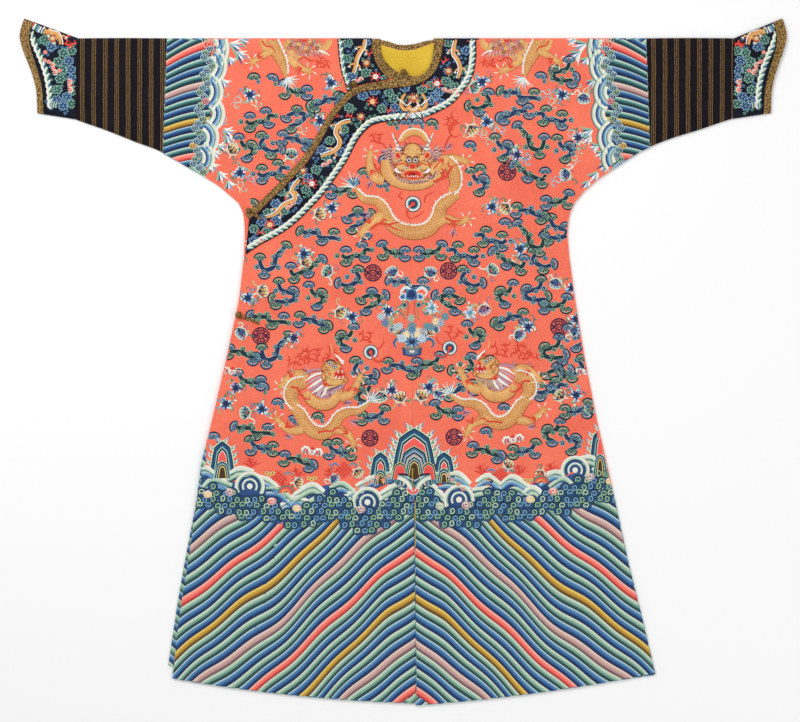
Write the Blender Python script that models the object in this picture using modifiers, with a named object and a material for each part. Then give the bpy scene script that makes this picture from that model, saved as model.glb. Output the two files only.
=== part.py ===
"""A court robe with a side-closing front, laid flat on its back. Metres, +Z up, collar towards +Y.

Garment measures are (across, drop). Across runs from the neck's centre, positive to the wearer's left.
Drop runs down from the shoulder fold. place() turns them into the model's frame, whose origin is under
the middle of the box.
"""

import math

import bmesh
import bpy
from mathutils import Vector

# Cloth and how the layers lie, from the surface up
CLOTH = 0.0016
BAND = 0.0010
BINDING = 0.0020
LINING = 0.0010
SEAM_GAP = 0.0003
LAYER_GAP = 0.0005
FOLD_GAP = 0.0016
FOLD_INSET = CLOTH + FOLD_GAP / 2
UNDER_LAYER = CLOTH + LAYER_GAP
RIPPLE = 0.0007
FOLD_REACH = 0.05
EDGE_REACH = 0.09
HEM_REACH = 0.10
CENTRE_REACH = 0.20
FOLD_STEPS = 4

# Driving sizes
CENTRE_DROP = {"left": 1.4207, "right": 1.4165}
HEM_CURVE = {"left": 0.52, "right": 0.28}
UNDER_HEM_LIFT = 0.045
UNDER_EDGE_INSET = 0.004
UNDER_EDGE_START = 0.35
UNDER_EDGE_LENGTH = 0.06
BACK_HEM_RISE = {"left": 0.010, "right": 0.012}
BACK_CORNER_DROP = 0.003
LAST_ROW_CLEAR = 0.02
SEAM_LEAN = 0.015
HEM_BEND_START = 0.60
NECK_DROP = 0.104
UNDERARM_DROP = 0.386
VENT_TOP = 0.800
VENT_GAP = 0.0007
VENT_TAPER = 0.02
CUFF_TIP = 0.0422
CUFF_LENGTH = 0.1
CUFF_SEAM_SHARE = 0.008
CUFF_BINDING = 0.0160
SLEEVE_REACH = {"left": 0.6910, "right": 0.7029}
CUFF_SHARE = {"left": 0.895, "right": 1.0}
CUFF_WIDEST = 0.1246

# Side of each front, from the sleeve's seam to the hem's corner: drop, and how far across
SIDE = {
    "left": (
        (0.0000, 0.5048), (0.1200, 0.5090), (0.2328, 0.5130), (0.2492, 0.4790), (0.2748, 0.4410),
        (0.3003, 0.4026), (0.3259, 0.3728), (0.3515, 0.3515), (0.3770, 0.3408), (0.4153, 0.3365),
        (0.4665, 0.3408), (0.5600, 0.3536), (0.6880, 0.3749), (0.8158, 0.4000), (0.9010, 0.4196),
        (0.9860, 0.4388), (1.1140, 0.4665), (1.2418, 0.4984), (1.3526, 0.5240),
    ),
    "right": (
        (0.0000, 0.5155), (0.1200, 0.5195), (0.2450, 0.5240), (0.2620, 0.4940), (0.2876, 0.4494),
        (0.3131, 0.4068), (0.3387, 0.3770), (0.3515, 0.3621), (0.3770, 0.3515), (0.4153, 0.3493),
        (0.4750, 0.3515), (0.5600, 0.3621), (0.6880, 0.3898), (0.8158, 0.4196), (0.9010, 0.4409),
        (0.9860, 0.4526), (1.1140, 0.4707), (1.2418, 0.4910), (1.3632, 0.5033),
    ),
}
SLEEVE_SEAM_DROP = {"left": 0.2328, "right": 0.2450}

# The back shows past the right front below the hip
BACK_SIDE_RIGHT = SIDE["right"][:16] + (
    (1.1140, 0.4771), (1.1992, 0.4920), (1.2844, 0.5048), (1.3355, 0.5125),
)

# Underarm edge of the striped sleeve, from its seam to the cuff: across and drop
UNDERARM = {
    "left": (
        (0.5133, 0.2328), (0.5347, 0.2237), (0.5708, 0.2109), (0.6134, 0.1981), (0.6624, 0.1811),
        (0.6878, 0.1734),
    ),
    "right": (
        (0.5243, 0.2450), (0.5430, 0.2364), (0.5790, 0.2237), (0.6433, 0.1981), (0.6920, 0.1811),
        (0.7104, 0.1742),
    ),
}

# Mouth of the horse-hoof cuff: drop, and reach past the cuff's own seam
CUFF_MOUTH = (
    (-0.0422, 0.1154), (-0.0128, 0.1246), (0.0055, 0.1246), (0.0349, 0.1154),
    (0.0716, 0.1007), (0.1044, 0.0916), (0.1265, 0.0890), (0.1615, 0.0880),
)

# Edge of the cloth under the neck binding, from the fold to the bottom of the neck: across and drop
NECK = {
    "left": (
        (0.0737, -0.0100), (0.0735, 0.0000), (0.0709, 0.0296), (0.0618, 0.0605), (0.0490, 0.0809),
        (0.0256, 0.0967), (0.0, 0.1040),
    ),
    "right": (
        (0.0806, -0.0100), (0.0805, 0.0000), (0.0788, 0.0296), (0.0709, 0.0528), (0.0569, 0.0735),
        (0.0394, 0.0863), (0.0100, 0.1040),
    ),
}
BACK_NECK = {
    "left": (
        (0.0000, 0.0735), (0.0052, 0.0700), (0.0107, 0.0511), (0.0170, 0.0334), (0.0239, 0.0149),
        (0.0266, 0.00015),
    ),
    "right": (
        (0.0000, 0.0805), (0.0058, 0.0770), (0.0149, 0.0618), (0.0190, 0.0439), (0.0256, 0.0234),
        (0.0266, 0.00015),
    ),
}

# Curved edge of the overlapping front, from the neck to the underarm: drop, and across to the right
OVERLAP_EDGE = (
    (0.1056, 0.0053), (0.1101, 0.0670), (0.1135, 0.0929), (0.1212, 0.1163), (0.1330, 0.1275),
    (0.1534, 0.1470), (0.1775, 0.1636), (0.2018, 0.1770), (0.2265, 0.1910), (0.2482, 0.2043),
    (0.2700, 0.2207), (0.2910, 0.2400), (0.3135, 0.2614), (0.3350, 0.2832), (0.3598, 0.3085),
    (0.3790, 0.3297), (0.3860, 0.3400),
)

# Neck binding from under the overlap, up the right neck, round the back neck and down to the underarm.
# Each row is the neckline's edge and the outer edge, across and drop.
BINDING_RIGHT_NECK = (
    ((-0.0150, 0.0778), (-0.0310, 0.0895)), ((-0.0234, 0.0735), (-0.0391, 0.0858)),
    ((-0.0439, 0.0579), (-0.0566, 0.0732)), ((-0.0569, 0.0373), (-0.0706, 0.0525)),
    ((-0.0607, 0.0166), (-0.0785, 0.0293)), ((-0.0612, 0.0034), (-0.0802, 0.0034)),
)
BINDING_BACK_NECK = (
    ((-0.0600, 0.0048), (-0.0772, 0.0054)), ((-0.0520, 0.0057), (-0.0612, 0.0145)),
    ((-0.0439, 0.0077), (-0.0436, 0.0187)), ((-0.0234, 0.0147), (-0.0232, 0.0252)),
    ((-0.0050, 0.0153), (-0.0050, 0.0260)), ((0.0149, 0.0128), (0.0149, 0.0235)),
    ((0.0334, 0.0071), (0.0332, 0.0166)), ((0.0440, 0.0056), (0.0508, 0.0103)),
    ((0.0515, 0.0048), (0.0705, 0.0048)),
)
BINDING_LEFT_NECK = (
    ((0.0541, 0.0034), (0.0734, 0.0034)), ((0.0515, 0.0320), (0.0706, 0.0296)),
    ((0.0464, 0.0554), (0.0615, 0.0603)), ((0.0362, 0.0735), (0.0487, 0.0806)),
    ((0.0192, 0.0824), (0.0254, 0.0964)), ((0.0000, 0.0820), (0.0000, 0.1037)),
    ((-0.0192, 0.0800), (-0.0165, 0.1056)), ((-0.0362, 0.0890), (-0.0362, 0.1070)),
)
BINDING_SETBACK = 0.0006
NECK_STEPS = 11
BINDING_WIDTH = 0.0135
BINDING_EDGE_STEPS = 16

# Lower edge of the navy collar band, from the left shoulder round to the right side: across and drop
BAND_EDGE = (
    (0.1427, 0.0030), (0.1430, 0.0373), (0.1406, 0.0605), (0.1367, 0.0786), (0.1263, 0.0993),
    (0.1135, 0.1172), (0.0980, 0.1355), (0.0773, 0.1508), (0.0541, 0.1612), (0.0283, 0.1715),
    (-0.0302, 0.1764), (-0.0575, 0.1806), (-0.0767, 0.1847), (-0.0958, 0.2011), (-0.1120, 0.2228),
    (-0.1310, 0.2607), (-0.1527, 0.2933), (-0.1798, 0.3312), (-0.2070, 0.3610), (-0.2313, 0.3855),
    (-0.2613, 0.4100), (-0.2939, 0.4290), (-0.3155, 0.4398), (-0.3478, 0.4616),
)
BAND_STEPS = 40

# The band on the under front's shoulder, across and drop: along the neck binding, along its own far side,
# and along the binding of the overlap
SHOULDER_BAND_NECK = (
    (-0.0801, 0.0030), (-0.0785, 0.0296), (-0.0706, 0.0526), (-0.0571, 0.0733), (-0.0412, 0.0875),
)
SHOULDER_BAND_EDGE = (
    (-0.1523, 0.0030), (-0.1497, 0.0373), (-0.1448, 0.0709), (-0.1367, 0.0967), (-0.1318, 0.1150),
)
SHOULDER_BAND_FOOT = (
    (-0.0412, 0.0875), (-0.0664, 0.0930), (-0.0960, 0.0984), (-0.1180, 0.1052), (-0.1318, 0.1150),
)
SHOULDER_BAND_STEPS = 9
SHOULDER_BAND_COLUMNS = 7

# Lining behind the neck: its depth, half its width, its middle, its highest edge, and shares of its depth
LINING_DEPTH = 0.135
LINING_HALF = 0.066
LINING_MIDDLE = -0.005
LINING_TOP = 0.0085
LINING_CLEAR = 0.0004
LINING_ROWS = (0.0, 0.25, 0.6, 1.0)
LINING_COLUMNS = 9

# Ball buttons: across, drop, radius, heading of the loop's tails in degrees, the tails' length,
# and what the button lies on
FASTENINGS = {
    "neck": (-0.0117, 0.0735, 0.0048, -37.0, 0.013, "binding"),
    "chest": (-0.1171, 0.0979, 0.0053, 202.0, 0.014, "shoulder"),
    "underarm": (-0.3406, 0.3683, 0.0046, -33.0, 0.026, "band"),
    "hip": (-0.3622, 0.5897, 0.0062, -22.0, 0.041, "front"),
}
CORD_RADIUS = 0.0014
CORD_POINTS = 11
CORD_OPENING = math.radians(42)

ROWS_SKIRT = (0.54, 0.62, 0.70, 0.78, 0.86, 0.94, 1.02, 1.10, 1.18, 1.26, 1.33, 1.375)
ROWS_SIDE = (
    0.15, 0.18, 0.21, 0.2328, 0.245, 0.256, 0.268, 0.28, 0.295, 0.31, 0.325, 0.34, 0.36, 0.386, 0.42, 0.47,
) + ROWS_SKIRT
ROWS_FRONT = (
    FOLD_INSET, 0.006, 0.018, 0.03, 0.042, 0.052, 0.0605, 0.068, 0.075, 0.081, 0.086, 0.091, 0.0955,
    0.0995, 0.104, 0.125,
) + ROWS_SIDE
ROWS_BACK = (
    FOLD_INSET, 0.0052, 0.008, 0.0107, 0.0149, 0.0170, 0.019, 0.0215, 0.0239, 0.0256, 0.0266, 0.045,
    0.075, 0.104,
) + ROWS_SIDE
ROWS_OVERLAP = (
    0.1056, 0.1079, 0.1101, 0.1135, 0.1172, 0.1212, 0.133, 0.1534, 0.1775, 0.2018, 0.2265, 0.2482, 0.27,
    0.291, 0.3135, 0.335, 0.3598, 0.379, 0.386, 0.42, 0.47,
) + ROWS_SKIRT
COLUMNS = (0.0, 0.08, 0.2, 0.34, 0.48, 0.62, 0.75, 0.86, 0.94, 1.0)

# Steps and gaps of the flattened sleeves and cuffs
SEAM_FOLD = 0.0010
CUFF_GAP = 0.0008
CLOSING_FROM = 0.6
SLEEVE_BOW = 0.0006
ACROSS_STEPS = 8
SLEEVE_STEPS = 6
CUFF_STEPS = 7
BINDING_LIFT = 0.0007


def ramp(value):
    """Smooth rise from 0 to 1."""
    t = min(max(value, 0.0), 1.0)
    return t * t * (3 - 2 * t)


def look_up(table, key):
    """Straight-line reading of a table of (key, value) rows."""
    if key <= table[0][0]:
        return table[0][1]
    for (k0, v0), (k1, v1) in zip(table, table[1:]):
        if key <= k1:
            return v0 + (v1 - v0) * (key - k0) / (k1 - k0)
    return table[-1][1]


def smooth_path(points, count):
    """Evenly spaced points on a Catmull-Rom curve through the given ones, both ends kept."""
    ends = [Vector(p) for p in points]
    ends = [2 * ends[0] - ends[1]] + ends + [2 * ends[-1] - ends[-2]]
    fine = []
    steps = 12
    for i in range(1, len(ends) - 2):
        a, b, c, d = ends[i - 1:i + 3]
        for k in range(steps):
            t = k / steps
            square = (2 * a - 5 * b + 4 * c - d) * t ** 2
            cube = (3 * b - a - 3 * c + d) * t ** 3
            fine.append(0.5 * (2 * b + (c - a) * t + square + cube))
    fine.append(ends[-2])
    lengths = [0.0]
    for p, q in zip(fine, fine[1:]):
        lengths.append(lengths[-1] + (q - p).length)
    found = []
    j = 0
    for i in range(count):
        wanted = lengths[-1] * i / (count - 1)
        while j < len(fine) - 2 and lengths[j + 1] < wanted:
            j += 1
        share = (wanted - lengths[j]) / (lengths[j + 1] - lengths[j])
        found.append(fine[j].lerp(fine[j + 1], min(share, 1.0)))
    return found


def neck_table(side):
    """The neck's edge as rows of (drop, across), from a smooth curve through its points."""
    return tuple((p.y, p.x) for p in smooth_path(NECK[side], 60))


def segment_distance(x, y, a, b):
    dx, dy = b[0] - a[0], b[1] - a[1]
    t = ((x - a[0]) * dx + (y - a[1]) * dy) / (dx * dx + dy * dy)
    t = min(max(t, 0.0), 1.0)
    return math.hypot(x - a[0] - t * dx, y - a[1] - t * dy)


def closed_edge(side):
    """The sewn underarm and side, across and drop, out to the cuff."""
    sign = 1 if side == "left" else -1
    sleeve = [(sign * x, d) for x, d in reversed(UNDERARM[side])]
    body = [(sign * x, d) for d, x in SIDE[side] if d > SLEEVE_SEAM_DROP[side]]
    return sleeve + body


CLOSED_EDGE = {side: closed_edge(side) for side in SIDE}


def edge_distance(x, drop):
    """How far a point lies from the sewn edge of its own side."""
    edge = CLOSED_EDGE["left" if x > 0 else "right"]
    return min(segment_distance(x, drop, a, b) for a, b in zip(edge, edge[1:]))


def hem_drop(x):
    """Drop of the front hem at this place across."""
    side = "left" if x > SEAM_LEAN else "right"
    corner_drop, corner = SIDE[side][-1]
    width = corner + (SEAM_LEAN if side == "right" else -SEAM_LEAN)
    share = min(abs(x - SEAM_LEAN) / width, 1.0)
    curve = HEM_CURVE[side]
    rise = CENTRE_DROP[side] - corner_drop
    return CENTRE_DROP[side] - rise * (curve * share + (1 - curve) * share ** 2)


def ripple(x, drop):
    """Soft unevenness of cloth laid flat, from 0 to RIPPLE."""
    long_wave = 0.27 * math.sin(9 * x + 4 * drop)
    short_wave = 0.23 * math.sin(11 * drop - 5 * x + 1.3)
    return RIPPLE * (0.5 + long_wave + short_wave)


def under_height(x, drop):
    """Lower face of the first front layer over the back."""
    edge = ramp(edge_distance(x, drop) / EDGE_REACH)
    hem = ramp((hem_drop(x) - drop) / HEM_REACH)
    soft = ripple(x, drop) * edge * hem * ramp((drop - FOLD_INSET) / FOLD_REACH)
    return CLOTH + SEAM_GAP + (FOLD_GAP - SEAM_GAP) * edge * hem + soft


def outer_height(x, drop):
    """Lower face of the outer front, which lies on the under front to the wearer's right."""
    over = ramp(1 - max(x, 0.0) / CENTRE_REACH) * ramp(drop / NECK_DROP)
    over *= ramp((hem_drop(x) - drop) / (UNDER_HEM_LIFT * 0.9))
    return under_height(x, drop) + UNDER_LAYER * over


def outer_top(x, drop):
    return outer_height(x, drop) + CLOTH


REACH = {side: SLEEVE_REACH[side] + CUFF_WIDEST * CUFF_SHARE[side] for side in SIDE}
MIDDLE_ACROSS = (REACH["left"] - REACH["right"]) / 2
MIDDLE_DROP = (CENTRE_DROP["left"] - CUFF_TIP) / 2


def place(x, drop, z):
    return Vector((x - MIDDLE_ACROSS, MIDDLE_DROP - drop, z))


def material(name, colour, roughness, metallic=0.0):
    made = bpy.data.materials.get(name) or bpy.data.materials.new(name)
    made.use_nodes = True
    shader = made.node_tree.nodes["Principled BSDF"]
    shader.inputs["Base Color"].default_value = (*colour, 1.0)
    shader.inputs["Roughness"].default_value = roughness
    shader.inputs["Metallic"].default_value = metallic
    made.diffuse_color = (*colour, 1.0)
    return made


def sheet(name, grid, thickness, offset, finish, ring=False):
    """A wall on a grid of points, thickened along their normals by offset 1 and against them by -1.

    ring joins the grid's last column to its first.
    """
    mesh = bpy.data.meshes.new(name)
    columns = len(grid[0])
    vertices = [p for row in grid for p in row]
    faces = []
    for i in range(len(grid) - 1):
        for j in range(columns if ring else columns - 1):
            a, b = i * columns + j, i * columns + (j + 1) % columns
            faces.append((a, b, b + columns, a + columns))
    mesh.from_pydata(vertices, [], faces)
    made = bpy.data.objects.new(name, mesh)
    robe.objects.link(made)
    thick = made.modifiers.new("Thickness", "SOLIDIFY")
    thick.thickness = thickness
    thick.offset = offset
    thick.use_even_offset = True
    mesh.materials.append(finish)
    mesh.shade_smooth()
    mesh.set_sharp_from_angle(angle=math.radians(40))
    return made


def lean(drop):
    """How far the centre seams have moved to the wearer's left at this drop."""
    return SEAM_LEAN * ramp((drop - NECK_DROP) / (CENTRE_DROP["left"] - NECK_DROP))


def side_rows(side, inner, outer, height, hem, rows):
    """Rows of one layer from the shoulder to the hem. hem is its drop at the centre and at the corner."""
    sign = 1 if side == "left" else -1
    centre, corner = hem
    curve = HEM_CURVE[side]
    grid = []
    for drop in [r for r in rows if r < centre - LAST_ROW_CLEAR] + [centre]:
        bend = (centre - corner) * ramp((drop - HEM_BEND_START) / (centre - HEM_BEND_START))
        x_in = sign * look_up(inner, drop) + lean(drop)
        x_out = sign * look_up(outer, drop - bend)
        row = []
        for u in COLUMNS:
            x = x_in + (x_out - x_in) * u
            d = drop - bend * (curve * u + (1 - curve) * u ** 2)
            row.append((x, d, height(x, d)))
        grid.append(row)
    return grid


def fold_rows(front_row, back_row):
    """The shoulder fold: a half turn from the back's first row to the front's."""
    rows = []
    for k in range(1, FOLD_STEPS):
        angle = math.pi * k / FOLD_STEPS
        row = []
        for f, b in zip(front_row, back_row):
            share = k / FOLD_STEPS
            middle, radius = (f[2] + b[2]) / 2, (f[2] - b[2]) / 2
            x = b[0] + (f[0] - b[0]) * share
            row.append((x, f[1] - radius * math.sin(angle), middle - radius * math.cos(angle)))
        rows.append(row)
    return rows


def body(name, side, front_inner, front_outer, front_height, front_hem, back_outer, back_hem, finish):
    """One width of the robe, back and front in one over the shoulder, as it is cut."""
    front = side_rows(side, front_inner, front_outer, front_height, front_hem, ROWS_FRONT)
    back = side_rows(side, BACK_NECK[side], back_outer, lambda x, d: CLOTH, back_hem, ROWS_BACK)
    grid = list(reversed(back)) + fold_rows(front[0], back[0]) + front
    placed = [[place(*p) for p in row] for row in grid]
    return sheet(name, placed, CLOTH, 1 if side == "right" else -1, finish)


def front_overlap(finish):
    """The outer right front, from the curved closing edge to the hem and out to the right side."""
    side = SIDE["right"]
    edge = OVERLAP_EDGE + tuple((d, x) for d, x in side if d > UNDERARM_DROP)
    seam = ((0.0, SEAM_GAP), (VENT_TOP, SEAM_GAP), (VENT_TOP + VENT_TAPER, VENT_GAP))
    hem = (CENTRE_DROP["right"], side[-1][0])
    grid = side_rows("right", seam, edge, outer_height, hem, ROWS_OVERLAP)
    placed = [[place(*p) for p in row] for row in grid]
    return sheet("front_overlap", placed, CLOTH, 1, finish)


def closing(share):
    """How far a sleeve has closed from its fold towards its seam, from 0 to 1."""
    return ramp((share - CLOSING_FROM) / (1 - CLOSING_FROM))


def tube_ring(top, bottom, gap_top, gap_bottom, across_steps, height):
    """Inner face of a flattened sleeve between two points of its outline, as (across, drop, z)."""
    top, bottom = Vector(top), Vector(bottom)
    width = (bottom - top).length
    down = (bottom - top) / width
    start, end = CLOTH + gap_top / 2, width - CLOTH - gap_bottom / 2
    ring = []
    for k in range(across_steps + 1):
        p = top + down * (end + (start - end) * k / across_steps)
        ring.append((p.x, p.y, CLOTH))
    for k in range(1, FOLD_STEPS):
        angle = math.pi * k / FOLD_STEPS
        p = top + down * (start - gap_top / 2 * math.sin(angle))
        ring.append((p.x, p.y, CLOTH + gap_top / 2 * (1 - math.cos(angle))))
    for k in range(across_steps + 1):
        share = k / across_steps
        p = top + down * (start + (end - start) * share)
        gap = gap_top + (gap_bottom - gap_top) * closing(share)
        soft = height(p.x, p.y) * math.sin(math.pi * share) ** 0.5 if 0 < k < across_steps else 0.0
        ring.append((p.x, p.y, CLOTH + gap + soft))
    for k in range(1, FOLD_STEPS):
        angle = math.pi * k / FOLD_STEPS
        p = top + down * (end + gap_bottom / 2 * math.sin(angle))
        ring.append((p.x, p.y, CLOTH + gap_bottom / 2 * (1 + math.cos(angle))))
    return ring


def sleeve_extension(side, finish):
    """The dark striped lower sleeve, a flattened tube from the body's sleeve seam to the cuff."""
    sign = 1 if side == "left" else -1
    start, end = SIDE[side][0][1] + SEAM_GAP, SLEEVE_REACH[side]
    fold = [(start, 0.0), ((start + end) / 2, -SLEEVE_BOW), (end, 0.0)]
    top = smooth_path(fold, SLEEVE_STEPS)
    seam_x, seam_drop = UNDERARM[side][0]
    bottom = smooth_path(((seam_x + SEAM_GAP, seam_drop), ) + UNDERARM[side][1:], SLEEVE_STEPS)
    rings = []
    for t, b in zip(top, bottom):
        ring = tube_ring((sign * t.x, t.y), (sign * b.x, b.y), FOLD_GAP, SEAM_FOLD, ACROSS_STEPS, ripple)
        rings.append([place(*p) for p in ring])
    return sheet("sleeve_extension_" + side, rings, CLOTH, 1 if side == "left" else -1, finish, ring=True)


def cuff_patch(side, share, s):
    """A point of the flat cuff.

    share runs from its seam to its mouth, and s from the top fold to the underarm.
    """
    sign = 1 if side == "left" else -1
    low_x, low_drop = UNDERARM[side][-1]
    seam_top = Vector((SLEEVE_REACH[side] + CUFF_GAP, 0.0))
    seam_bottom = Vector((low_x + CUFF_GAP, low_drop))
    seam = seam_top.lerp(seam_bottom, s)
    mouth = MOUTH[side](s)
    p = seam.lerp(mouth, share)
    return (sign * p.x, p.y)


def mouth_of(side):
    """The mouth's curve as a function of s, in across and drop."""
    steps = 41
    mouth = [(SLEEVE_REACH[side] + reach * CUFF_SHARE[side], drop) for drop, reach in CUFF_MOUTH]
    points = smooth_path(mouth, steps)

    def at(s):
        position = min(max(s, 0.0), 1.0) * (steps - 1)
        i = min(int(position), steps - 2)
        return points[i].lerp(points[i + 1], position - i)

    return at


MOUTH = {side: mouth_of(side) for side in SIDE}


def cuff_tube(name, side, first, last, steps, finish):
    """A stretch of the horse-hoof cuff between two shares of its length, as a flattened tube."""
    rings = []
    for i in range(steps + 1):
        share = first + (last - first) * i / steps
        outline = [Vector(cuff_patch(side, share, k / ACROSS_STEPS)) for k in range(ACROSS_STEPS + 1)]
        width = sum((b - a).length for a, b in zip(outline, outline[1:]))
        inset_top, inset_bottom = (CLOTH + FOLD_GAP / 2) / width, (CLOTH + SEAM_FOLD / 2) / width

        def inside(k):
            return inset_top + (1 - inset_top - inset_bottom) * k / ACROSS_STEPS

        ring = []
        for k in range(ACROSS_STEPS, -1, -1):
            ring.append((*cuff_patch(side, share, inside(k)), CLOTH))
        for k in range(1, FOLD_STEPS):
            angle = math.pi * k / FOLD_STEPS
            s = inset_top - FOLD_GAP / 2 / width * math.sin(angle)
            ring.append((*cuff_patch(side, share, s), CLOTH + FOLD_GAP / 2 * (1 - math.cos(angle))))
        for k in range(ACROSS_STEPS + 1):
            gap = FOLD_GAP + (SEAM_FOLD - FOLD_GAP) * closing(k / ACROSS_STEPS)
            point = cuff_patch(side, share, inside(k))
            soft = ripple(*point) * math.sin(math.pi * k / ACROSS_STEPS)
            ring.append((*point, CLOTH + gap + soft))
        for k in range(1, FOLD_STEPS):
            angle = math.pi * k / FOLD_STEPS
            s = 1 - inset_bottom + SEAM_FOLD / 2 / width * math.sin(angle)
            ring.append((*cuff_patch(side, share, s), CLOTH + SEAM_FOLD / 2 * (1 + math.cos(angle))))
        rings.append([place(*p) for p in ring])
    return sheet(name, rings, CLOTH, 1 if side == "left" else -1, finish, ring=True)


def cuff(side, ground, gold):
    """The navy horse-hoof cuff and the brocade binding at its mouth."""
    binding_share = CUFF_BINDING / (CUFF_LENGTH * CUFF_SHARE[side])
    cuff_tube("cuff_" + side, side, 0.0, 1 - binding_share - CUFF_SEAM_SHARE, CUFF_STEPS, ground)
    cuff_tube("cuff_binding_" + side, side, 1 - binding_share, 1.0, 2, gold)


def strip(name, rows, height, thickness, finish, columns=3):
    """A flat strip between paired edge points, lying with its middle at height(x, drop)."""
    grid = []
    for inner, outer in rows:
        inner, outer = Vector(inner), Vector(outer)
        row = [inner.lerp(outer, k / (columns - 1)) for k in range(columns)]
        grid.append([place(p.x, p.y, height(p.x, p.y)) for p in row])
    return sheet(name, grid, thickness, 0, finish)


def overlap_binding_rows():
    """Paired edges of the binding along the overlap's curved edge."""
    lower = smooth_path([(-x, d) for d, x in OVERLAP_EDGE[2:]], BINDING_EDGE_STEPS)
    rows = []
    for i, p in enumerate(lower):
        before, after = lower[max(i - 1, 0)], lower[min(i + 1, len(lower) - 1)]
        along = (after - before).normalized()
        out = Vector((along.y, -along.x))
        out = out if out.y < 0 else -out
        rows.append((p + out * (BINDING_WIDTH + SEAM_GAP), p + out * SEAM_GAP))
    return rows


def binding_height_outer(x, drop):
    """Middle of the binding on the outer front, just over the inner stretch where they cross."""
    return outer_height(x, drop) + BINDING_LIFT + BINDING / 2


def binding_height_under(x, drop):
    return under_height(x, drop) + BINDING / 2


def neck_binding(finish):
    """One bias strip: under the overlap, up the right neck, over both shoulders, down to the underarm."""
    def laid(rows, height, steps=0):
        made = []
        if steps:
            rows = list(zip(*(smooth_path([r[edge] for r in rows], steps) for edge in (0, 1))))
        for inner, outer in rows:
            inner, outer = Vector(inner), Vector(outer)
            outer = outer + (inner - outer).normalized() * BINDING_SETBACK
            row = [inner, inner.lerp(outer, 0.5), outer]
            made.append([(p.x, p.y, height(p.x, p.y)) for p in row])
        return made

    def turned(front_row, back_row, from_front):
        rows = []
        for k in range(1, FOLD_STEPS):
            angle = math.pi * k / FOLD_STEPS
            row = []
            for f, b in zip(front_row, back_row):
                middle, radius = (f[2] + b[2]) / 2, (f[2] - b[2]) / 2
                swing = math.cos(angle) if from_front else -math.cos(angle)
                share = k / FOLD_STEPS if from_front else 1 - k / FOLD_STEPS
                x = f[0] + (b[0] - f[0]) * share
                flat = f[1] + (b[1] - f[1]) * share
                row.append((x, flat - radius * math.sin(angle), middle + radius * swing))
            rows.append(row)
        return rows

    right = laid(BINDING_RIGHT_NECK, binding_height_under, NECK_STEPS)
    back = laid(BINDING_BACK_NECK, lambda x, d: BINDING / 2)
    left = laid(BINDING_LEFT_NECK, binding_height_outer, NECK_STEPS + 4)
    edge = laid(overlap_binding_rows(), binding_height_outer)
    right_fold = turned(right[-1], back[0], True)
    left_fold = turned(left[0], back[-1], False)
    grid = right + right_fold + back + left_fold + left + edge
    placed = [[place(*p) for p in row] for row in grid]
    return sheet("neck_binding", placed, BINDING, 0, finish)


def collar_band(finish):
    """The navy band on the outer front: from the left shoulder round the neck and along the overlap."""
    upper = [outer for inner, outer in BINDING_LEFT_NECK[:-1]] + [(-x, d) for d, x in OVERLAP_EDGE[1:]]
    near = smooth_path(upper, BAND_STEPS)
    far = smooth_path(BAND_EDGE, BAND_STEPS)
    near = [p + (q - p).normalized() * SEAM_GAP for p, q in zip(near, far)]

    def height(x, drop):
        return outer_top(x, drop) + LAYER_GAP + BAND / 2

    return strip("collar_band_outer", list(zip(near, far)), height, BAND, finish)


def shoulder_band(finish):
    """The same band on the under front's shoulder, where the overlap leaves it in sight."""
    near = smooth_path(SHOULDER_BAND_NECK, SHOULDER_BAND_STEPS)
    far = smooth_path(SHOULDER_BAND_EDGE, SHOULDER_BAND_STEPS)
    foot = smooth_path(SHOULDER_BAND_FOOT, SHOULDER_BAND_COLUMNS)
    grid = []
    for k, (start, end) in enumerate(zip(near, far)):
        share = (k / (SHOULDER_BAND_STEPS - 1)) ** 2
        row = []
        for j, low in enumerate(foot):
            u = j / (SHOULDER_BAND_COLUMNS - 1)
            p = start.lerp(end, u) + (low - near[-1].lerp(far[-1], u)) * share
            row.append(place(p.x, p.y, under_height(p.x, p.y) + CLOTH + LAYER_GAP + BAND / 2))
        grid.append(row)
    return sheet("collar_band_shoulder", grid, BAND, 0, finish)


def neck_lining(finish):
    """The lining of the back, which shows through the neck."""
    grid = []
    for share in LINING_ROWS:
        row = []
        for k in range(LINING_COLUMNS):
            x = LINING_MIDDLE + LINING_HALF * (2 * k / (LINING_COLUMNS - 1) - 1)
            side = "left" if x > 0 else "right"
            edge = look_up(sorted((v, d) for d, v in BACK_NECK[side]), abs(x))
            top = max(LINING_TOP, edge + LINING_CLEAR)
            drop = top + (LINING_DEPTH - top) * share
            row.append(place(x, drop, CLOTH + SEAM_GAP + LINING / 2))
        grid.append(row)
    return sheet("neck_lining", grid, LINING, 0, finish)


def fastening_height(carrier):
    """Height of the cloth that a fastening lies on."""
    return {
        "binding": lambda x, drop: outer_height(x, drop) + BINDING_LIFT + BINDING,
        "band": lambda x, drop: outer_top(x, drop) + LAYER_GAP + BAND,
        "front": outer_top,
        "shoulder": lambda x, drop: under_height(x, drop) + CLOTH + LAYER_GAP + BAND,
    }[carrier]


def button(name, x, drop, radius, height, finish):
    """A ball button, resting on the cloth."""
    mesh = bpy.data.meshes.new(name)
    shape = bmesh.new()
    bmesh.ops.create_uvsphere(shape, u_segments=12, v_segments=8, radius=radius)
    shape.to_mesh(mesh)
    shape.free()
    made = bpy.data.objects.new(name, mesh)
    made.location = place(x, drop, height(x, drop) + radius + SEAM_GAP)
    robe.objects.link(made)
    mesh.materials.append(finish)
    mesh.shade_smooth()


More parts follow.
